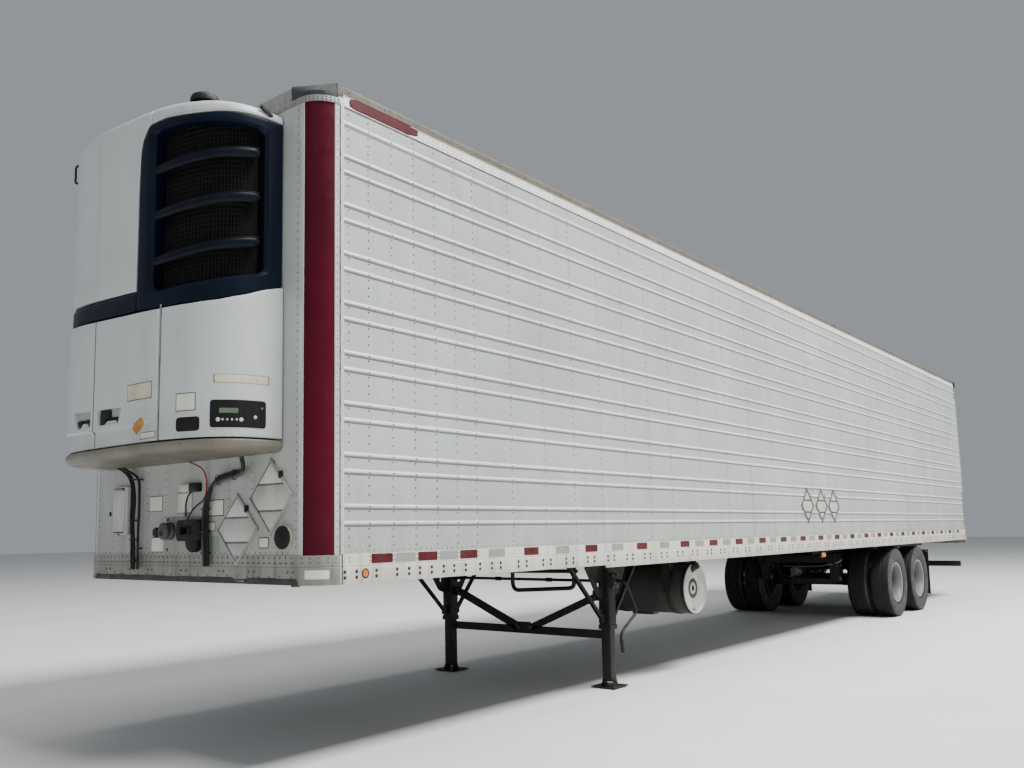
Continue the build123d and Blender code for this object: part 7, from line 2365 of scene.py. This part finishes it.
# trailing arms, dampers, springs, axles, brake chambers, air lines
g, gd, gs, ga, gb_, gh_ = Geo(), Geo(), Geo(), Geo(), Geo(), Geo()
for s in AXLES:
    for sg in (1, -1):
        y = sg * SY
        top = [(-0.575, 0.560), (-0.515, 0.612), (-0.455, 0.690 - 0.045), (-0.30, 0.640), (-0.120, 0.610), (0.100, 0.600), (0.230, 0.566), (0.430, 0.566)]
        bot = [(-0.530, 0.520), (-0.30, 0.520), (-0.150, 0.505), (-0.085, 0.446), (0.085, 0.446), (0.100, 0.505), (0.230, 0.536), (0.430, 0.536)]
        poly = [(s + a, b) for a, b in top] + [(s + a, b) for a, b in reversed(bot)]
        for e in (1, -1):
            g.put(prism(poly, "y", y + e * 0.036, y + e * 0.042))
        for line in (top, bot):
            for p, q in zip(line, line[1:]):
                g.put(bar((s + p[0], y, p[1] - (0.004 if line is top else -0.004)), (s + q[0], y, q[1] - (0.004 if line is top else -0.004)), 0.072, 0.007))
        g.put(lathe([(0.03, -0.045), (0.052, -0.045), (0.052, 0.045), (0.03, 0.045)], (s - 0.515, y, 0.575), (0, 1, 0), 24, loop=True))
        # damper: dust tube over a rod
        p0, p1 = np.array((s - 0.470, y - sg * 0.096, 0.905)), np.array((s - 0.130, y - sg * 0.096, 0.480))
        d = p1 - p0
        L_ = np.linalg.norm(d)
        gd.put(lathe([(0, 0.0), (0.016, 0.0), (0.016, 0.03), (0.034, 0.034), (0.034, 0.29), (0.026, 0.292), (0.026, L_ - 0.03), (0.016, L_ - 0.028), (0.016, L_), (0, L_)],
                     p0, d, 20))
        for q in (p0, p1):
            gd.put(lathe([(0, -0.03), (0.022, -0.03), (0.022, 0.03), (0, 0.03)], q, (0, 1, 0), 16))
        # air spring: piston, rolled bellows, bead plate
        c = s + 0.335
        gs.put(lathe([(0, 0.567), (0.070, 0.567), (0.074, 0.60), (0.078, 0.645), (0.086, 0.648), (0.104, 0.652), (0.1115, 0.668), (0.1120, 0.690), (0.1090, 0.712),
                      (0.1060, 0.740), (0.1085, 0.765), (0.1100, 0.780), (0.1000, 0.786), (0.098, 0.798), (0, 0.799)], (c, y, 0), (0, 0, 1), 32))
    # axle tube with spindles and cam tubes
    ga.put(lathe([(0, -1.180), (0.030, -1.180), (0.038, -1.172), (0.038, -0.700), (0.050, -0.660), (0.0635, -0.640), (0.0635, 0.640), (0.050, 0.660), (0.038, 0.700),
                  (0.038, 1.172), (0.030, 1.180), (0, 1.180)], (s, 0, AZ), (0, 1, 0), 32))
    for sg in (1, -1):
        y = sg * 0.330
        gb_.put(lathe([(0, 0.090), (0.040, 0.090), (0.060, 0.095), (0.080, 0.115), (0.082, 0.150), (0.088, 0.154), (0.088, 0.172), (0.082, 0.176), (0.080, 0.225),
                       (0.060, 0.252), (0.03, 0.260), (0, 0.260)], (s, y, 0.640), (1, 0, 0), 28))
        gb_.put(box(s + 0.040, s + 0.140, y - 0.060, y + 0.060, 0.563, 0.570))
        gb_.put(box(s + 0.080, s + 0.092, y - 0.060, y + 0.060, 0.563, 0.690))
        gb_.put(box(s - 0.040, s + 0.092, y - 0.025, y + 0.025, 0.566, 0.578))
        gb_.put(tube(np.array([(s + 0.09, y, 0.640), (s + 0.02, y, 0.628)]), 0.010, 10))
        gb_.put(prism([(s - 0.006, 0.652), (s + 0.032, 0.645), (s + 0.022, 0.566), (s - 0.012, 0.566)], "y", y - 0.012, y + 0.012))
        gh_.put(tube(spline([(s + 0.262, y, 0.650), (s + 0.30, y, 0.675), (s + 0.31, y - sg * 0.06, 0.74), (s + 0.24, y - sg * 0.12, 0.80), (s + 0.10, y - sg * 0.14, 0.845),
                             (s - 0.04, y - sg * 0.14, 0.86)], 6), 0.0085, 8))
        gh_.put(tube(spline([(s + 0.335, sg * (SY - 0.02), 0.805), (s + 0.30, sg * (SY - 0.10), 0.83), (s + 0.18, sg * (SY - 0.16), 0.85), (s + 0.02, sg * (SY - 0.20), 0.865)], 6), 0.006, 8))
add("trailing_arms", g, m_steel_blk, T, smooth=30, replaces="suspension_arms")
add("dampers", gd, m_steel_blk, T, smooth=40)
add("air_bellows", gs, m_rubber, T, smooth=50, replaces="air_springs")
add("axle_tubes", ga, m_drum, T, smooth=40, replaces="axles")
add("brake_actuators", gb_, m_galv, T, smooth=35, replaces="brake_chambers")
add("tandem_air_lines", gh_, m_hose, T, smooth=60)

# mud flaps: moulded sheets with ribs, a bent lower edge and a bolted strip
for sg, sn in ((1, "left"), (-1, "right")):
    A, B = [], []
    for i in range(25):
        y = 0.690 + (1.285 - 0.690) * i / 24
        row, rowb = [], []
        for j in range(31):
            z = 0.948 - (0.948 - 0.215) * j / 30
            t = j / 30
            w = 0.0012 * math.sin(y * 42) * min(1, t * 3) + 0.0022 * t * t * math.sin(y * 9 + sg)
            rib = 0.0014 if (i % 4 == 0 and 0.12 < t < 0.96) else 0.0
            row.append((13.2395 + w, sg * y, z))
            rowb.append((13.2440 + w + rib, sg * y, z))
        A.append(row)
        B.append(rowb)
    g = Geo().put(slab(np.array(A), np.array(B)))
    add("mud_flap_" + sn, g, m_rubber, T, smooth=30, replaces="mud_flaps")
g = Geo()
for sg in (1, -1):
    g.put(box(13.232, 13.2385, min(sg * 0.69, sg * 1.268), max(sg * 0.69, sg * 1.268), 0.905, 0.945))
    for y in np.arange(0.74, 1.26, 0.125):
        g.put(hexbolt((13.2440, sg * y, 0.925), (1, 0, 0), 0.008, 0.0038))
add("mud_flap_strips", g, m_galv, T, smooth=30)
# air lines that hang under the body ahead of the tandem, held by the frame
g = Geo()
for k, y in ((0, 0.44), (1, 0.46)):
    g.put(tube(np.array([(4.9 + 0.0 * k, y - 0.1, 1.086), (8.0, y - 0.1, 1.086), (9.88, y - 0.1, 1.086)]), 0.006, 8))
for s in np.arange(5.0, 9.9, 0.3048):
    g.put(box(s - 0.006, s + 0.006, 0.325, 0.375, 1.079, 1.0945))
add("floor_air_lines", g, m_hose, smooth=60)

# ------------------------------------------------ floor beams and the coupler
g = Geo()
for i in range(46):
    c = 1.830 + 0.3048 * i
    sec = [(c - 0.029, 1.095), (c + 0.029, 1.095), (c + 0.029, 1.0995), (c + 0.0035, 1.103), (c + 0.0025, 1.106), (c + 0.0025, 1.203), (c + 0.004, 1.206),
           (c + 0.029, 1.2075), (c - 0.029, 1.2075), (c - 0.004, 1.206), (c - 0.0025, 1.203), (c - 0.0025, 1.106), (c - 0.0035, 1.103), (c - 0.029, 1.0995)]
    g.put(prism(sec, "y", -1.229, 1.229))
g.put(box(1.700, 16.030, -1.229, 1.229, 1.2070, 1.2100))
add("floor_beams", g, m_galv, smooth=0, replaces="floor_crossmembers")
g = Geo()
for i in range(46):
    c = 1.830 + 0.3048 * i
    for y in (1.205, 1.18):
        for e in (-0.017, 0.017):
            g.both(hexbolt((c + e, y, 1.095), (0, 0, -1), 0.007, 0.005, False))
add("floor_beam_bolts", g, m_bolt, smooth=30)
g = Geo()
for s in (0.45, 1.25, 1.55):
    for y in np.arange(-1.1, 1.11, 0.2):
        g.put(hexbolt((s, y, 1.083), (0, 0, -1), 0.009, 0.006, False))
for a in range(8):
    t = a * math.pi / 4
    g.put(hexbolt((0.914 + 0.135 * math.cos(t), 0.135 * math.sin(t), 1.083), (0, 0, -1), 0.010, 0.007, False))
add("coupler_bolts", g, m_rust, smooth=30)
g = Geo()
g.put(lathe([(0, 1.083), (0.088, 1.083), (0.090, 1.080), (0.090, 1.077), (0.0365, 1.077), (0.0357, 1.074), (0.0357, 1.050), (0.034, 1.048), (0.0254, 1.046),
             (0.0254, 1.019), (0.034, 1.017), (0.0357, 1.014), (0.0357, 1.003), (0.031, 0.9985), (0, 0.9985)], (0.914, 0, 0), (0, 0, 1), 40))
add("king_pin", g, m_rust, smooth=40, replaces="kingpin")

# grooved floor: T sections side by side
g = Geo()
pitch = 0.0318
ys = np.arange(-1.2290, 1.2290 - pitch, pitch)
sec = [(-1.229, 1.212)]
top = []
for y in ys:
    top += [(y, 1.3445), (y + 0.0205, 1.3445), (y + 0.0205, 1.3395), (y + 0.0118, 1.3375), (y + 0.0118, 1.302), (y + pitch, 1.302), (y + pitch, 1.3375)]
sec = [(-1.229, 1.212), (1.229, 1.212), (1.229, 1.3445)] + [(a, b) for a, b in reversed(top)]
g.put(prism(sec, "s", 0.180, 16.050))
add("floor_t_sections", g, m_floor_alu, smooth=0, replaces="floor_deck")


# ---------------------------------------------------------------------- rear
HZ = [1.560, 2.140, 2.720, 3.300, 3.800]
DOUT = 16.150
for sg, sn in ((1, "left"), (-1, "right")):
    body = "rear_door_" + sn
    # door: skin with a soft edge, a core and an inner liner pan
    g = Geo()
    y0, y1 = (0.004, 1.235) if sg > 0 else (-1.235, -0.004)
    g.put(pad(rrect(y0, y1, 1.352, 3.978, 0.006, 3), "s", 16.090, 16.150, 0.003))
    g.put(pad(rrect(y0 + 0.03, y1 - 0.03, 1.390, 3.940, 0.02, 4), "s", 16.092, 16.0722, 0.006))
    add(f"rear_door_{sn}_panel", g, m_door, body, smooth=30, replaces=f"rear_{sn}_door")
    g = Geo()
    for y in np.linspace(y0 + 0.02, y1 - 0.02, 2):
        for z in np.arange(1.40, 3.95, 0.0762):
            g.put(dome((16.150, y, z), (1, 0, 0), 0.0048, 0.0026))
    for z in (1.372, 3.958):
        for y in np.arange(y0 + 0.04, y1 - 0.03, 0.0762):
            g.put(dome((16.150, y, z), (1, 0, 0), 0.0048, 0.0026))
    add(f"rear_door_{sn}_rivets", g, m_rivet, body, smooth=60)
    # gasket round the panel
    g = Geo()
    o = rrect(y0 - 0.0, y1 + 0.0, 1.352, 3.978, 0.004, 2)
    i_ = rrect(y0 + 0.022, y1 - 0.022, 1.374, 3.956, 0.004, 2)
    g.put(rings([[(16.096, y, z) for y, z in o], [(16.088, y, z) for y, z in o], [(16.086, y, z) for y, z in i_], [(16.094, y, z) for y, z in i_]]))
    add(f"rear_door_{sn}_gasket", g, m_seal, body, smooth=40)
    # hinge straps with their cranked links and bolts
    g, gb = Geo(), Geo()
    for z in HZ:
        a0, a1 = (1.010, 1.236) if sg > 0 else (-1.236, -1.010)
        g.put(pad(rrect(a0, a1, z - 0.026, z + 0.026, 0.010, 4), "s", 16.148, 16.164, 0.003))
        b0, b1 = sorted((sg * 1.210, sg * 1.270))
        g.put(box(16.159, 16.167, b0, b1, z - 0.026, z + 0.026))
        c0_, c1_ = sorted((sg * 1.231, sg * 1.270))
        g.put(box(16.159, 16.200, c0_, c1_, z - 0.026, z + 0.026))
        g.put(lathe([(0.0086, -0.026), (0.016, -0.026), (0.016, 0.026), (0.0086, 0.026)], (16.200, sg * 1.270, z), (0, 0, 1), 20, loop=True))
        for y in (1.04, 1.11, 1.18):
            gb.put(hexbolt((16.164, sg * y, z), (1, 0, 0), 0.010, 0.007))
    add(f"rear_door_{sn}_hinges", g, m_galv, body, smooth=35)
    add(f"rear_door_{sn}_hinge_bolts", gb, m_bolt, body, smooth=30)
    # lock rods with guides, cams, keepers and flat handles
    g, gg = Geo(), Geo()
    for y in (0.330, 0.900):
        c = sg * y
        g.put(lathe([(0, 1.296), (0.0115, 1.296), (0.013, 1.300), (0.013, 4.032), (0.0115, 4.036), (0, 4.036)], (16.173, c, 0), (0, 0, 1), 18))
        for z in (1.372, 2.000, 3.250, 3.955):
            g.put(pad(rrect(c - 0.032, c + 0.032, z - 0.020, z + 0.020, 0.006, 3), "s", 16.150, 16.1585, 0.002))
            g.put(prism(rrect(c - 0.020, c + 0.020, z - 0.018, z + 0.018, 0.004, 3), "s", 16.158, 16.181))
            for e in (-0.026, 0.026):
                g.put(hexbolt((16.1585, c + e, z), (1, 0, 0), 0.006, 0.005, False))
        for z in (1.296, 4.002):
            g.put(pad(rrect(c - 0.024, c + 0.024, z, z + 0.034, 0.008, 3), "s", 16.161, 16.186, 0.003))
        if y > 0.5:
            e0, e1 = sorted((c, c - sg * 0.430))
            g.put(pad(rrect(e0, e1, 1.610, 1.650, 0.014, 4), "s", 16.174, 16.184, 0.003))
        else:
            g.put(pad(rrect(c - 0.15, c + 0.15, 1.760, 1.800, 0.014, 4), "s", 16.174, 16.184, 0.003))
        zc_ = 1.63 if y > 0.5 else 1.78
        g.put(prism(rrect(c - 0.022, c + 0.022, zc_ - 0.026, zc_ + 0.026, 0.006, 3), "s", 16.158, 16.185))
    add(f"lock_rods_{sn}", g, m_galv, body, smooth=35, replaces=f"{sn}_lock_rods")
    # seam bands across the door and reflective strips
    gr, gw = Geo(), Geo()
    for k in range(4):
        a = 0.06 + k * 0.29
        b0, b1 = sorted((sg * a, sg * (a + 0.25)))
        (gr if k % 2 == 0 else gw).put(pad(rrect(b0, b1, 1.402, 1.452, 0.004, 2), "s", 16.1498, 16.1512, 0.0005))
    add(f"rear_door_{sn}_sheeting_red", gr, m_tape_r, body, smooth=0)
    add(f"rear_door_{sn}_sheeting_white", gw, m_tape_w, body, smooth=0)

# frame lamps, sill lamps, bumpers, grab, sheeting
g, gl, gb, ga_ = Geo(), Geo(), Geo(), Geo()
for sg in (1, -1):
    for y in (0.17, 0.33, 0.49):
        c = sg * y
        gb.put(lathe([(0, 0.0), (0.060, 0.0), (0.060, 0.004), (0.050, 0.005), (0, 0.005)], (16.154, sg * (y + 0.12), 1.245), (1, 0, 0), 28))
        gl.put(lathe([(0, 0.010), (0.030, 0.0095), (0.046, 0.007), (0.049, 0.003), (0, 0.003)], (16.154, sg * (y + 0.12), 1.245), (1, 0, 0), 28))
    ga_.put(pad(rrect(sg * 1.205 - 0.03, sg * 1.205 + 0.03, 4.018, 4.046, 0.012, 3), "s", 16.154, 16.160, 0.002))
    gl.put(pad(rrect(sg * 1.10 - 0.03, sg * 1.10 + 0.03, 4.018, 4.046, 0.012, 3), "s", 16.154, 16.160, 0.002))
for y in (-0.15, 0.0, 0.15):
    gl.put(pad(rrect(y - 0.03, y + 0.03, 4.018, 4.046, 0.012, 3), "s", 16.154, 16.160, 0.002))
add("rear_lens_red", gl, m_lens_red, smooth=50)
add("rear_lens_amber", ga_, m_lens_amber, smooth=50)
add("rear_lamp_grommets", gb, m_black, smooth=50)
g = Geo()
for sg in (1, -1):
    for y, w in ((0.960, 0.240), (1.190, 0.150)):
        g.put(pad(rrect(sg * y - w / 2 + 0.002, sg * y + w / 2 - 0.002, 1.014, 1.128, 0.012, 4), "s", 16.154, 16.2235, 0.010))
add("dock_bumpers", g, m_rubber, smooth=35)
g = Geo()
for sg in (1, -1):
    for z in (1.03, 1.16, 1.30):
        for y in np.arange(0.15, 1.28, 0.18):
            if not (0.83 < y < 1.28 and z < 1.14):
                g.put(hexbolt((16.154, sg * y, z), (1, 0, 0), 0.010, 0.006))
    for z in np.arange(1.42, 3.95, 0.21):
        g.put(dome((16.154, sg * 1.275, z), (1, 0, 0), 0.006, 0.003))
add("rear_frame_bolts", g, m_bolt, smooth=30)
gr, gw = Geo(), Geo()
for k in range(8):
    y = -1.12 + k * 0.29
    (gr if k % 2 == 0 else gw).put(pad(rrect(y, y + 0.25, 0.585, 0.635, 0.004, 2), "s", 16.0995, 16.1012, 0.0005))
add("guard_sheeting_red", gr, m_tape_r, smooth=0)
add("guard_sheeting_white", gw, m_tape_w, smooth=0)

# underride guard: rounded tube with end caps, posts and braces
g, gc = Geo(), Geo()
g.put(prism(rrect(16.000, 16.100, 0.560, 0.660, 0.014, 4), "y", -1.182, 1.182))
for sg in (1, -1):
    gc.put(pad(rrect(16.000, 16.100, 0.560, 0.660, 0.014, 4), "y", sg * 1.1815, sg * 1.190, 0.003))
    y = sg * 0.360
    g.put(prism(rrect(16.010, 16.090, y - 0.045, y + 0.045, 0.010, 3), "z", 0.650, 0.998))
    g.put(bar((15.700, y, 1.075), (16.020, y, 0.700), 0.050, 0.040))
    g.put(box(15.640, 15.780, y - 0.045, y + 0.045, 1.066, 1.094))
    g.put(box(16.000, 16.100, y - 0.075, y + 0.075, 0.990, 0.998))
add("underride_bar", g, m_steel_blk, smooth=30, bevel=0.0015, replaces="underride_guard")
add("underride_bar_caps", gc, m_galv, smooth=30)

# bolts and edge of the smooth side strips at the rear
g = Geo()
for z in np.arange(2.02, 3.74, 0.33):
    for s in (15.625, 16.020):
        g.both(dome((s, 1.2990, z), (0, 1, 0), 0.0065, 0.0009, 10))
add("fairing_bolts", g, m_bolt, smooth=60)
# black rounded corner caps at the rear top
g = Geo()
for sg in (1, -1):
    g.put(pad(rrect(15.985, 16.150, 3.992, 4.098, 0.03, 5), "y", sg * 1.2935, sg * 1.2990, 0.0015))
add("rear_top_corner_caps", g, m_black, smooth=35)
# door seal lines and the joint of the frame on the side
g = Geo()
g.both(box(16.044, 16.050, 1.2935, 1.2975, 1.345, 3.985))
add("rear_frame_joint", g, m_seal, smooth=0)



# --------------------------------------------- finishes of the nodes kept
def finish_node(node, mat, smooth=None):
    o = NODES[node]
    o.data.materials.clear()
    o.data.materials.append(mat)


KEEP = {
    "front_wall": m_front, "front_corner_posts": m_red, "roof_panel": m_roof, "coupler_plate": m_steel_blk, "kingpin": m_rust,
    "evaporator_housing": m_liner, "floor_crossmembers": m_galv, "floor_deck": m_floor_alu, "slider_rails": m_steel_blk,
    "unit_back_plate": m_unit_in, "unit_condenser": m_coil, "rear_sill": m_rearsteel, "rear_frame": m_rearsteel,
    "rear_left_door": m_door, "rear_right_door": m_door, "left_lock_rods": m_zinc, "right_lock_rods": m_zinc,
    "rear_side_fairings": m_side, "underride_guard": m_steel_blk, "bogie_frame": m_steel_blk, "suspension_arms": m_steel_blk,
    "air_springs": m_rubber, "axles": m_drum, "brake_chambers": m_steel_blk, "mud_flaps": m_rubber, "landing_legs": m_leg,
    "landing_leg_bracing": m_steel_blk, "landing_gear_crank": m_zinc, "hose_hanger": m_zinc, "fuel_tank": m_tank_body,
    "fuel_tank_brackets": m_steel_blk,
}
for side_ in ("front_left", "front_right", "rear_left", "rear_right"):
    KEEP[side_ + "_tyres"] = m_tyre
    KEEP[side_ + "_wheels"] = m_disc
for node_, mat_ in KEEP.items():
    if not NODES[node_].hide_render:
        finish_node(node_, mat_)


# ------------------------------------------------------ floor, light, camera
def studio_floor():
    k = Mat("studio_floor")
    col = k.ramp(k.noise(0.7, 5.0, 0.6), lin(214, 214, 212), lin(222, 222, 220), 0.3, 0.7)
    return k.end(col, k.rng(k.noise(3, 4.0, 0.6), 0.3, 0.7, 0.8, 0.9), k.bump(k.noise(40, 3.0, 0.6), 0.04, 0.002))


me = bpy.data.meshes.new("floor")
R_ = 90.0
me.from_pydata([(-R_, -R_, -0.001), (R_, -R_, -0.001), (R_, R_, -0.001), (-R_, R_, -0.001)], [], [(0, 1, 2, 3)])
me.materials.append(studio_floor())
floor_ob = bpy.data.objects.new("floor", me)
bpy.context.scene.collection.objects.link(floor_ob)

world = bpy.data.worlds.new("studio")
bpy.context.scene.world = world
world.use_nodes = True
bg = world.node_tree.nodes["Background"]
bg.inputs[0].default_value = (0.86, 0.91, 0.98, 1)
bg.inputs[1].default_value = 0.36


def area(name, loc, target, size, power, colour):
    l = bpy.data.lights.new(name, "AREA")
    l.shape, l.size, l.size_y, l.energy, l.color = "RECTANGLE", size[0], size[1], power, colour
    o = bpy.data.objects.new(name, l)
    bpy.context.scene.collection.objects.link(o)
    o.location = loc
    o.rotation_mode = "QUATERNION"
    o.rotation_quaternion = (Vector(target) - Vector(loc)).to_track_quat("-Z", "Y")
    return o


# soft key from the left side and behind, weak fill ahead of the nose
area("key", (-1.0, 11.0, 20.0), (-1.0, 1.2, 2.2), (22, 5), 11500, (1.0, 0.98, 0.955))
area("fill", (24.0, 6.0, 12.0), (6.0, 0.0, 2.0), (12, 9), 160, (0.95, 0.97, 1.0))
area("top", (0.0, 0.0, 22.0), (0.0, 0.0, 0.0), (24, 10), 2200, (1.0, 0.99, 0.97))

cam_data = bpy.data.cameras.new("camera")
cam = bpy.data.objects.new("camera", cam_data)
bpy.context.scene.collection.objects.link(cam)
bpy.context.scene.camera = cam
yaw, pitch, roll = math.radians(219.221), math.radians(6.9515), math.radians(-1.0367)
fwd = Vector((math.cos(yaw) * math.cos(pitch), math.sin(yaw) * math.cos(pitch), math.sin(pitch)))
right = Vector((math.sin(yaw), -math.cos(yaw), 0.0))
upv = right.cross(fwd)
r2 = right * math.cos(roll) + upv * math.sin(roll)
u2 = upv * math.cos(roll) - right * math.sin(roll)
M_ = Matrix((r2, u2, -fwd)).transposed()
cam.rotation_mode = "QUATERNION"
cam.rotation_quaternion = M_.to_quaternion()
cam.location = (11.27756, 5.29541, 1.37025)
cam_data.sensor_fit = "HORIZONTAL"
cam_data.sensor_width = 36.0
cam_data.lens = 915.267 / 1024 * 36.0
cam_data.shift_x = (512 - 480.207) / 1024
cam_data.shift_y = (420.311 - 384) / 1024
cam_data.clip_start, cam_data.clip_end = 0.1, 300.0
cam_data.dof.use_dof = False
